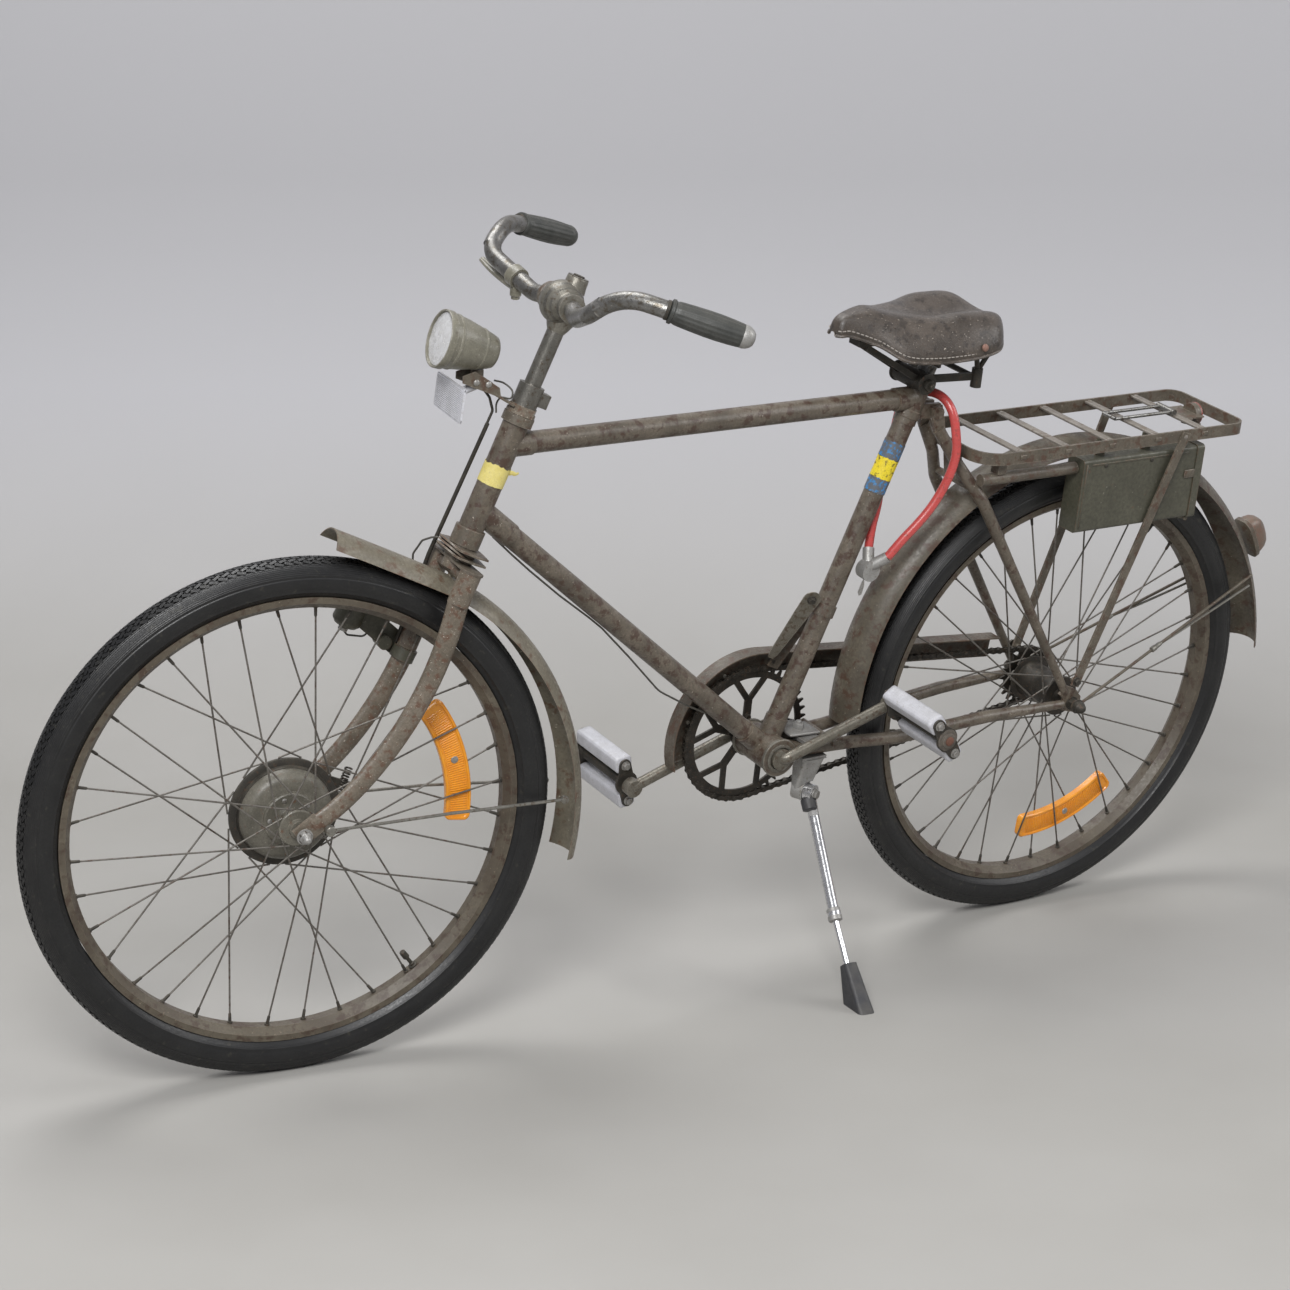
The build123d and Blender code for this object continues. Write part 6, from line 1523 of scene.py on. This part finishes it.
@dataclass
class Drive:
    """Chain links, chainring bolts, the guard's rivets and the cranks' ends."""

    pitch: float = 12.7
    ring_radius: float = 97.02
    sprocket_radius: float = 40.43
    centre: tuple[float, float] = (BRACKET_X, BRACKET_Z)
    line: float = -48.0
    links: int = 112
    guard_face: float = -37.6
    bolt_circle: float = 26.0
    guard_rivet_radius: float = 112.0

    def loop(self) -> list[Vector]:
        """The chain's line round both wheels, in the chain's own flat drawing."""
        ring, gap = Vector((*self.centre, 0)), hypot(*self.centre)
        slope = atan2(self.centre[1], self.centre[0])
        lean = asin((self.ring_radius - self.sprocket_radius) / gap)
        top, low = slope + pi / 2 + lean, slope - pi / 2 - lean
        line = []
        for step in range(61):
            turn = top + (low + tau - top) * step / 60
            line.append(vec(cos(turn), sin(turn), 0) * self.sprocket_radius)
        for step in range(121):
            turn = low + (top - low) * step / 120
            line.append(ring + vec(cos(turn), sin(turn), 0) * self.ring_radius)
        return line

    def plate(self, z: float, thick: float) -> Draft:
        """One link's pair of figure-eight plates, lying along z of the path; chain() adds its rollers or pins."""
        draft = Draft()
        for side in (1, -1):
            outline = []
            for end in (1, -1):
                for step in range(7):
                    turn = pi * (step / 6 - 0.5)
                    outline.append(vec(sin(turn) * 4.1 * end, 0, end * (self.pitch / 2 + cos(turn) * 4.1)))
                outline.append(vec(2.7 * end, 0, 0))
            draft.slab([p + vec(0, side * z, 0) for p in outline], vec(0, side * thick, 0))
        return draft

    def build(self, shop: Shop) -> None:
        """Builds the chain and dresses the drive."""
        self.chain(shop)
        self.cranks(shop)
        self.guard(shop)

    def chain(self, shop: Shop) -> None:
        """The chain's inner and outer links along its line."""
        look = shop.look(GREASY)
        matrix = PLACE.frame @ Matrix(((1, 0, 0, 0), (0, 0, -1, self.line), (0, 1, 0, 0), (0, 0, 0, 1)))
        for name, offset, z, roller in (("chain_inner_links", 0, 1.7, True), ("chain_outer_links", 1, 2.8, False)):
            draft = self.plate(z, 0.95)
            for end in (1, -1):
                place = vec(0, 0, end * self.pitch / 2)
                if roller:
                    draft.rod(place + vec(0, -2.4, 0), place + vec(0, 2.4, 0), 3.9, 10, 0)
                else:
                    draft.rod(place + vec(0, -4.4, 0), place + vec(0, 4.4, 0), 1.8, 8)
            made = shop.repeat.make(shop.repeat.path, draft, name, matrix, look, Path=path_curve(self.loop(), True),
                                    Count=self.links, Every=2, Offset=offset)
            fit(made, "frame", "dark_steel", look, ["chain"])

    def cranks(self, shop: Shop) -> None:
        """The chainring's bolts, the bracket's rings and the cranks."""
        shop.dress("frame", GREASY, "chainring", "rear_sprocket")
        shop.dress("frame", CRANK_STEEL, "crank")
        shop.dress("frame", CHAIN_GUARD_PAINT, "chain_guard")
        out = LEFTWARD
        middle = vec(self.centre[0], self.line + 1.4, self.centre[1])
        turns = [radians(-(72 * number + 18)) for number in range(5)]
        spots = [(middle + vec(cos(turn), 0, -sin(turn)) * self.bolt_circle, out) for turn in turns]
        shop.studs(bolt_head(4.6, 4.4), spots, "chainring_bolts", "crankset", "dark_steel", GREASY)
        nuts, cups = Draft(), Draft()
        bracket = vec(self.centre[0], 0, self.centre[1])
        for side in (1, -1):
            way = vec(0, side, 0)
            cups.lathe([(33.6, 25), (34.2, 27.2), (37.6, 27.4), (38.4, 26.4), (38.4, 22.8), (37.4, 22), (37.4, 20.6),
                        (39.6, 20.2), (40.2, 19.2), (40.2, 16.4), (39, 15.8), (37, 15.4)], bracket, way, 48)
        nuts.lathe([(38.2, 14.2), (39, 15), (44.4, 15), (45, 13.6), (45, 9)], bracket, out, 32)
        shop.fit(cups, "bracket_rings", "frame", "worn_steel", BALL_STEEL)
        shop.fit(nuts, "crank_lock_ring", "crankset", "dark_steel", CRANK_STEEL)

    def guard(self, shop: Shop) -> None:
        """The arm from the seat tube to the chain guard, its bolts and the guard's rivets."""
        out = LEFTWARD
        bracket = vec(self.centre[0], 0, self.centre[1])
        arm = Draft()
        top, foot = vec(447, 9, 201), vec(474, -26, 112)
        run = (foot - top).normalized()
        across = vec(1, -0.35, 0.1)
        across = (across - run * across.dot(run)).normalized()
        edge = [top + across * 12.5 * cos(radians(a)) - run * 12.5 * sin(radians(a))
                for a in range(0, 181, 15)]
        edge += [top.lerp(foot, 0.3) - across * 11, foot - across * 6.5, foot - across * 4 + run * 8,
                 foot + across * 4 + run * 8, foot + across * 6.5, top.lerp(foot, 0.3) + across * 11]
        arm.slab(edge, across.cross(run).normalized() * 1.4)
        shop.fit(arm, "guard_arm", "frame", "worn_steel", CRANK_STEEL)
        face = across.cross(run).normalized()
        face = face if face.y > 0 else -face
        bolt = [(top + face * 1.6, face), (vec(448, self.guard_face, 112), out)]
        shop.studs(bolt_head(5, 5), bolt, "guard_bolts", "frame", "dark_steel", DARK_STEEL)
        rivets = []
        for degrees in (20, 62, 104):
            turn = radians(degrees)
            reach = self.guard_rivet_radius
            rivets.append((bracket + vec(cos(turn) * reach, self.line + 11.4, sin(turn) * reach), out))
        shop.studs(dome(3, 1.4), rivets, "guard_rivets", "frame", "army_paint", DARK_STEEL)


@dataclass
class Pedal:
    """A pedal: two white ribbed blocks between dark end plates, on its tube."""

    name: str
    eye: tuple[float, float, float]
    side: int
    tilt: float
    length: float = 114.0
    spread: float = 27.5

    def build(self, shop: Shop) -> None:
        """Builds the pedal."""
        body = self.name + "_pedal_body"
        out = vec(0, self.side, 0)
        across = vec(cos(radians(self.tilt)), 0, sin(radians(self.tilt)))
        up = out.cross(across)
        inner = Vector(self.eye) + out * 14
        blocks = Draft()
        for half in (-1, 1):
            centre = inner + across * half * self.spread
            rows = []
            for along, shrink in ((3.4, 1.6), (5, 0.2), (10, 0), (104, 0), (109, 0.2), (110.6, 1.6)):
                ring = []
                for step in range(72):
                    turn = tau * step / 72
                    c, s = cos(turn), sin(turn)
                    power = (abs(c) ** 5 + abs(s) ** 5) ** (-0.2)
                    rib = 0.55 * (0.5 + 0.5 * cos(turn * 24)) if 5 < along < 109 else 0
                    ring.append(
                        blocks.mesh.verts.new(centre + out * along + across * c * power * (11.7 - shrink - rib)
                        + up * s * power * (12.7 - shrink - rib)))
                rows.append(ring)
            blocks.skin(rows)
        shop.fit(blocks, self.name + "_pedal_blocks", body, "white_plastic", WHITE, [self.name + "_pedal"], None, 50)
        plates = Draft()
        for along in (0, self.length - 3):
            outline = []
            for end in (1, -1):
                for step in range(9):
                    turn = radians(-90 + 22.5 * step)
                    outline.append(
                        inner + out * along + across * end * (self.spread + 9 * cos(turn)) + up * end * 9 * sin(turn))
                outline.append(inner + out * along + across * end * -10 + up * end * 14.5)
                outline.append(inner + out * along + across * end * -17 + up * end * 10)
            plates.slab(outline, out * 3)
        plates.lathe([(-0.5, 12), (0, 17), (3, 17), (3.6, 14), (7, 10.5), (7.4, 8.6), (self.length - 8, 8.6),
                      (self.length - 5, 12), (self.length - 3, 16.4), (self.length, 16.6), (self.length + 0.8, 13)],
                      inner, out, 40)
        shop.fit(plates, self.name + "_pedal_plates", body, "dark_steel", DARK_STEEL)
        cap = Draft()
        cap.lathe([(self.length, 15.4), (self.length + 1.4, 15), (self.length + 2, 12), (self.length + 2, 10.6),
                   (self.length + 4.4, 10.2), (self.length + 5, 8.6), (self.length + 5, 5), (self.length + 5.6, 4)],
                   inner, out, 32)
        shop.fit(cap, self.name + "_pedal_cap", body, "dark_steel", WORN_CAP)
        nub = Draft().lathe([(self.length + 4.4, 6.6), (self.length + 6.4, 6.4), (self.length + 7.4, 5),
                             (self.length + 7.8, 2)], inner, out, 20)
        shop.fit(nub, self.name + "_pedal_nub", body, "dark_steel", RUSTY_NUB)
        spots = []
        for half in (-1, 1):
            for along, way in ((self.length - 0.4, out), (0.2, -out)):
                spots.append((inner + across * half * self.spread + out * along, way))
        shop.studs(bolt_head(5.2, 5.6), spots, self.name + "_pedal_nuts", body, "dark_steel", SCREW_STEEL)


# ---- carrier, box and lamps at the back


@dataclass
class Carrier:
    """The luggage carrier's slats, rivets, clip and legs."""

    slats: tuple[float, ...] = (171, 92, 14, -69, -155)
    top: float = 406.0
    half: float = 79.0

    def build(self, shop: Shop) -> None:
        """Covers the slats and dresses the carrier."""
        shop.dress("frame", CARRIER_PAINT, "carrier_frame", "carrier_legs")
        shop.dress("frame", WORN_STEEL, "carrier_clip")
        covers = Draft()
        for x in self.slats:
            covers.block(vec(x, 0, self.top - 3.4), vec(0, self.half - 4, 0), vec(5.9, 0, 0), vec(0, 0, 1.9), 0.7)
        shop.fit(covers, "carrier_slats", "frame", "army_paint", WORN_SLATS)
        tabs = Draft()
        for x in self.slats:
            for side in (1, -1):
                tabs.block(vec(x, side * (self.half + 0.4), self.top - 8), vec(5.2, 0, 0), vec(0, 0, 3),
                           vec(0, 1.2, 0), 0.6)
        shop.fit(tabs, "carrier_slat_tabs", "frame", "army_paint", CARRIER_PAINT)
        spots = [(vec(x, side * (self.half - 8.5), self.top - 1.6), UPWARD) for x in self.slats for side in (1, -1)]
        spots += [(vec(-118, side * (self.half + 2.8), self.top - 9), vec(0, side, 0)) for side in (1, -1)]
        shop.studs(dome(3.4, 1.8), spots, "carrier_rivets", "frame", "army_paint", WORN_SLATS)
        shop.studs(bolt_head(5, 5.4), [(vec(7, side * 73, 39), vec(0, side, 0)) for side in (1, -1)],
                   "carrier_leg_nuts", "frame", "dark_steel", DARK_STEEL)


@dataclass
class Toolbox:
    """The toolbox's beads, latch and rivets, its hinged cover and the side tube."""

    front: float = 54.0
    rear: float = -152.0
    outer: float = 73.0
    bottom: float = 270.0
    top: float = 377.0

    def build(self, shop: Shop) -> None:
        """Adds the small parts and dresses the box."""
        shop.dress("frame", BOX_PAINT, "toolbox", "toolbox_lid")
        shop.dress("frame", CARRIER_PAINT, "side_tube")
        out = LEFTWARD
        middle = (self.top + self.bottom) / 2
        beads = Draft()
        beads.block(vec(self.front - 6, self.outer, middle), vec(0, 0, 47), vec(1.6, 0, 0), vec(0, 0.9, 0), 0.5)
        beads.block(vec((self.front + self.rear) / 2, self.outer, self.top - 8), vec(88, 0, 0), vec(0, 0, 1.5),
                    vec(0, 0.8, 0), 0.5)
        shop.fit(beads, "toolbox_beads", "frame", "army_paint", BOX_PAINT)
        latch = Draft()
        latch.block(vec(self.rear + 9, self.outer + 1.2, middle + 14), vec(9, 0, 0), vec(0, 0, 6), vec(0, 1.1, 0), 0.6)
        shop.fit(latch, "toolbox_latch", "frame", "army_paint", CARRIER_PAINT)
        spots = [(vec(x, self.outer + 0.2, z), out) for x, z in ((14, 366), (-69, 366))]
        shop.studs(dome(3.2, 1.8), spots, "toolbox_rivets", "frame", "army_paint", DARK_STEEL)


@dataclass
class RearLights:
    """The domed tail lamp and the round rear reflector."""

    angle: float = 152.0

    def build(self, shop: Shop) -> None:
        """Builds both."""
        turn = radians(self.angle)
        out = vec(cos(turn), 0, sin(turn))
        wide, tall = LEFTWARD, vec(-sin(turn), 0, cos(turn))
        base = polar(396, self.angle)
        lens, body = Draft(), Draft()

        def ring(draft: Draft, height: float, half_wide: float, half_tall: float) -> list:
            """One rounded-rectangle ring of the lamp."""
            made = []
            for step in range(48):
                a = tau * step / 48
                c, s = cos(a), sin(a)
                power = (abs(c) ** 3.4 + abs(s) ** 3.4) ** (-1 / 3.4)
                made.append(draft.mesh.verts.new(base + out * height + wide * c * power * half_wide
                                                 + tall * s * power * half_tall))
            return made
        body.skin([ring(body, *row) for row in ((0.3, 19, 32), (1, 20, 33), (7, 20, 33), (8, 19.2, 32.2), (9, 17, 30))])
        lens.skin(
            [ring(lens, *row) for row in ((7.6, 17.6, 30.6), (14, 17.4, 30), (22, 16, 27.4), (28, 13.4, 23),
            (32, 9.4, 16.4), (33.6, 4.4, 8), (34, 0.6, 1))])
        shop.fit(body, "tail_lamp_body", "frame", "red_plastic", CARRIER_PAINT, ["tail_lamp"])
        shop.fit(lens, "tail_lamp_lens", "frame", "red_plastic", TAIL_DOME, (), None, 60)
        shop.dress("frame", CARRIER_PAINT, "rear_reflector")
        face = Draft()
        profile = [(-0.4, 15.9), (0, 16.4), (1.4, 16.4), (2, 15.2)]
        for step in range(5):
            radius = 14 - step * 2.6
            profile += [(1.2, radius), (1.8, radius - 1.3)]
        face.lathe([*profile, (2, 0.6)], vec(-206, 0, 396), vec(-1, 0, 0), 40)
        shop.fit(face, "rear_reflector_lens", "frame", "red_plastic", RED_PLASTIC)


# ---- frame


@dataclass
class FrameTubes:
    """The frame's tubes, its small fittings, and the tape rings on two of them."""

    head_radius: float = 16.5
    tube_radius: float = 14.2
    seat_bands: tuple[float, float, float, float] = (382.0, 402.0, 431.0, 454.0)
    head_band: tuple[float, float] = (484.0, 510.0)
    seat_collar: float = 497.0

    def tape(self, start: Vector, way: Vector, radius: float, low: float, high: float, torn: float) -> Draft:
        """A ring of tape with a torn edge.

        Args:
            start: where distances start.
            way: along the tube.
            radius: the tape's radius.
            low: its lower edge.
            high: its upper edge.
            torn: how ragged its edges are.

        Returns:
            The drawing.
        """
        draft = Draft()
        side = way.orthogonal().normalized()
        steps = 48
        rings = []
        for thick in (0.0, 0.35):
            for share in ((0, 0.5, 1) if thick else (1, 0.5, 0)):
                ring = []
                for step in range(steps):
                    turn = tau * step / steps
                    ragged = torn * (
                        sin(turn * 3 + 1) * 0.5 + sin(turn * 11) * 0.35 + sin(turn * 19 + 2) * 0.25)
                    along = low + (high - low) * share + ragged * (share - 0.2)
                    lift = 0.5 * sin(turn * 5 + share * 2) ** 4
                    reach = aside(side, way, turn) * (radius + thick + lift * 0.4)
                    ring.append(draft.mesh.verts.new(start + way * along + reach))
                rings.append(ring)
        draft.skin(rings, closed=True)
        return draft

    def build(self, shop: Shop) -> None:
        """Dresses the frame."""
        shop.dress("frame", PAINT, "main_tubes", "head_tube", "seat_lug", "bottom_bracket", "seat_stays",
                   "chain_stays", "rear_dropouts")
        shop.dress("frame", REAR_GUARD_PAINT, "rear_mudguard", "rear_mudguard_stays")
        shop.dress("frame", CARRIER_PAINT, "headset_cups")
        shop.dress("frame", DARK_STEEL, "rear_axle")
        shop.dress("frame", LEAD, "frame_lead")
        self.rear(shop)
        self.tapes(shop)

    def rear(self, shop: Shop) -> None:
        """The rear mudguard's second wires and the axle's domed nuts."""
        doubled, domes = Draft(), Draft()
        for side in (1, -1):
            low, high = vec(-5, side * 73.4, 2), polar(369.4, 157.5, side * 34)
            middle = low.lerp(high, 0.44)
            way = (high - low).normalized()
            doubled.lathe([(-11, 3), (-10, 4.4), (-3, 4.4), (-2, 3.6), (6, 3.6), (10, 2.6)], middle, way, 14)
            doubled.tube(smooth_line([middle + way * 4, middle.lerp(high, 0.4) + vec(0, 0, -7),
                                      high + vec(2, side, -16)], 6), 1.8, 8)
            domes.lathe([(0, 10.6), (1.6, 10.6), (1.8, 9.2), (7, 9), (8, 8), (12, 6.6), (15, 4), (16, 1.2)],
                        vec(0, side * 74.6, 0), vec(0, side, 0), 24)
        shop.fit(doubled, "rear_stay_wires", "frame", "worn_steel", STAY_STEEL)
        shop.fit(domes, "rear_axle_domes", "frame", "dark_steel", DARK_STEEL)

    def tapes(self, shop: Shop) -> None:
        """The tape round the head tube with its loose end, the seat tube's bands and its collar."""
        start, way = PLACE.steering(0), PLACE.UP
        band = self.tape(start, way, self.head_radius + 0.3, *self.head_band, 2.4)
        shop.fit(band, "head_tube_tape", "frame", "army_paint", TAPE_YELLOW)
        curl = Draft()
        corner = PLACE.steering(505, -13, 10)
        curl.tube(smooth_line([corner, corner + vec(-4, 2, 1), corner + vec(-8, 3, -1), corner + vec(-12, 4, 1)], 4),
                  [3.2] * 4 + [2.8] * 4 + [2] * 4 + [0.8], 8, 0.2)
        shop.fit(curl, "head_tube_tape_end", "frame", "army_paint", TAPE_YELLOW)
        foot = vec(BRACKET_X, 0, BRACKET_Z)
        up = vec(-cos(SEAT_ANGLE), 0, sin(SEAT_ANGLE))
        for level, low, high, finish in zip(("low", "mid", "top"), self.seat_bands, self.seat_bands[1:],
                                            (BAND_BLUE, BAND_YELLOW, BAND_BLUE)):
            band = self.tape(foot, up, self.tube_radius + 0.3, low, high, 1.6)
            shop.fit(band, "seat_tube_tape_" + level, "frame", "army_paint", finish)
        collar = Draft()
        seat = foot + up * self.seat_collar
        collar.lathe([(-6, 16.6), (-5, 17.4), (5, 17.4), (6, 16.4)], seat, up, 40)
        shop.fit(collar, "seat_collar", "frame", "army_paint", PAINT)


@dataclass
class SideStand:
    """The bright tubular side stand with its collar and ribbed rubber foot."""

    hinge: tuple[float, float, float] = (431, 27, -80)
    collar: tuple[float, float, float] = (451, 150, -211)
    foot: tuple[float, float, float] = (457.5, 196, -258)
    clamp_x: float = 437.0

    def build(self, shop: Shop) -> None:
        """Dresses the stand and adds its rings."""
        shop.dress("frame", BRIGHT_STEEL, "stand_leg")
        shop.dress("frame", CAST, "stand_bracket")
        shop.dress("frame", FOOT_RUBBER, "stand_foot")
        hinge, collar, end = Vector(self.hinge), Vector(self.collar), Vector(self.foot)
        way = (end - collar).normalized()
        ring = Draft()
        ring.lathe([(-12, 8.2), (-11, 9.4), (-7, 9.6), (-6.4, 8.6), (-2, 8.6), (-1, 9.8), (5, 9.8), (6, 8.8),
                    (6.4, 6)], collar, way, 28)
        shop.fit(ring, "stand_collar_ring", "side_stand", "cast_aluminium", CAST)
        axis = vec(-0.4446, 0.8957, 0).normalized()
        bolt = Draft()
        bolt.nut(hinge + axis * 14, hinge + axis * 19, 7)
        shop.fit(bolt, "stand_pivot_nut", "frame", "worn_steel", SCREW_STEEL)
        clamp = Draft().block(vec(self.clamp_x, 0, 3.5), vec(25, 0, 1.2), vec(0, 19, 0), vec(-0.1, 0, 1.8), 0.9)
        clamp.nut(vec(self.clamp_x, 0, 5), vec(436.6, 0, 13), 8)
        clamp.lathe([(13, 4.2), (16, 4), (17, 2.6)], vec(self.clamp_x, 0, 0), UPWARD, 14)
        shop.fit(clamp, "stand_clamp_plate", "frame", "cast_aluminium", CAST)
        sleeve = Draft()
        leg = (collar - hinge).normalized()
        sleeve.lathe([(12, 9), (12.6, 10.6), (27, 10.2), (27.8, 8.6)], hinge, leg, 28)
        shop.fit(sleeve, "stand_sleeve", "side_stand", "tyre_rubber", FOOT_RUBBER)


# ---- studio


@dataclass
class Studio:
    """Camera, floor, backdrop, lamps and world."""

    offset: tuple[float, float, float] = (2.86866677, 3.40660575, 1.20631726)
    forward: tuple[float, float, float] = (-0.52225, -0.815058, -0.25087)
    lens: float = 88.31
    reach: float = 9.0
    wall_at: float = 1.15
    wall_bend: float = 0.9
    wall_top: float = 7.0

    def backdrop(self) -> None:
        """A floor that curves up into a wall behind the bicycle."""
        away = vec(self.forward[0], self.forward[1], 0).normalized()
        side = vec(-away.y, away.x, 0)
        wall, bend = self.wall_at, self.wall_bend
        profile = [(-self.reach, 0.0), (wall, 0.0)]
        profile += [(wall + bend * sin(radians(a)), bend * (1 - cos(radians(a)))) for a in range(9, 91, 9)]
        profile += [(wall + bend, self.wall_top)]
        draft = Draft()
        rows = [[(away * along + side * wide + vec(0, 0, up)) for along, up in profile]
                for wide in (-14.0, -5.0, 0.0, 5.0, 14.0)]
        draft.grid(rows)
        for face in draft.mesh.faces:
            face.normal_update()
        made = draft.finish("studio_floor", Matrix.Identity(4), 80)
        if made.data.polygons[0].normal.z < 0:
            made.data.flip_normals()
        material = bpy.data.materials.new("studio_paper")
        material.use_nodes = True
        web = Web(material.node_tree)
        shader = material.node_tree.nodes["Principled BSDF"]
        place = web.add("ShaderNodeTexCoord").outputs["Object"]
        height = web.add("ShaderNodeSeparateXYZ", {0: place}).outputs["Z"]
        cloud = web.add("ShaderNodeTexNoise", {"Vector": place, "Scale": 1.3, "Detail": 4.0}).outputs[0]
        floor = web.mix(web.span(cloud, 0.35, 0.65), rgba((0.325, 0.315, 0.293)), rgba((0.365, 0.355, 0.336)))
        web.feed(shader.inputs["Base Color"], web.mix(web.span(height, 0.0, 0.5), floor, rgba((0.42, 0.417, 0.432))))
        shader.inputs["Roughness"].default_value = 0.8
        made.data.materials.append(material)

    def lamp(self, name: str, at: tuple[float, float, float], power: float, size: float) -> None:
        """A soft square lamp aimed at the bicycle's middle."""
        data = bpy.data.lights.new(name, "AREA")
        data.energy = power
        data.size = size
        made = bpy.data.objects.new(name, data)
        bpy.context.scene.collection.objects.link(made)
        made.location = at
        made.rotation_euler = (vec(0, 0, 0.45) - Vector(at)).to_track_quat("-Z", "Y").to_euler()

    def build(self) -> None:
        """Sets up the studio."""
        scene = bpy.context.scene
        camera = bpy.data.objects.new("camera", bpy.data.cameras.new("camera"))
        scene.collection.objects.link(camera)
        camera.location = PLACE.home + Vector(self.offset)
        camera.rotation_euler = Vector(self.forward).to_track_quat("-Z", "Y").to_euler()
        camera.data.lens = self.lens
        camera.data.clip_end = 60
        scene.camera = camera
        self.backdrop()
        self.lamp("key", (2.9, 3.2, 3.7), 255, 1.9)
        self.lamp("fill", (-3.4, 2.8, 2.8), 85, 2.6)
        self.lamp("top", (0.4, -1.4, 4.2), 90, 2.0)
        world = bpy.data.worlds.new("studio")
        scene.world = world
        world.use_nodes = True
        world.node_tree.nodes["Background"].inputs["Color"].default_value = (0.9, 0.92, 1.0, 1)
        world.node_tree.nodes["Background"].inputs["Strength"].default_value = 0.32
        scene.view_settings.view_transform = "Standard"


def main() -> None:
    """Builds the bicycle, part by part."""
    logging.basicConfig(level=logging.INFO, format="%(name)s: %(message)s")
    shop = Shop()
    Studio().build()
    crews: list[tuple[str, Callable[[], None]]] = [
        ("red cable", lambda: CableLock().build(shop)),
        ("front wheel", lambda: Wheel("front", 164.5, 30.0, drum=True).build(shop)),
        ("rear wheel", lambda: Wheel("rear", 251.0, 36.0).build(shop)),
        ("saddle", lambda: Saddle().build(shop)),
        ("handlebar", lambda: Handlebar().build(shop)),
        ("head lamp", lambda: HeadLamp().build(shop)),
        ("fork", lambda: Fork().build(shop)),
        ("drive", lambda: Drive().build(shop)),
        ("left pedal", lambda: Pedal("left", (336.3, 69, 55.5), 1, 54).build(shop)),
        ("right pedal", lambda: Pedal("right", (645.7, -82, -85.5), -1, 80).build(shop)),
        ("carrier", lambda: Carrier().build(shop)),
        ("toolbox", lambda: Toolbox().build(shop)),
        ("rear lights", lambda: RearLights().build(shop)),
        ("frame", lambda: FrameTubes().build(shop)),
        ("side stand", lambda: SideStand().build(shop)),
    ]
    for name, crew in crews:
        crew()
        LOG.info("%s done", name)


if __name__ == "__main__":
    main()
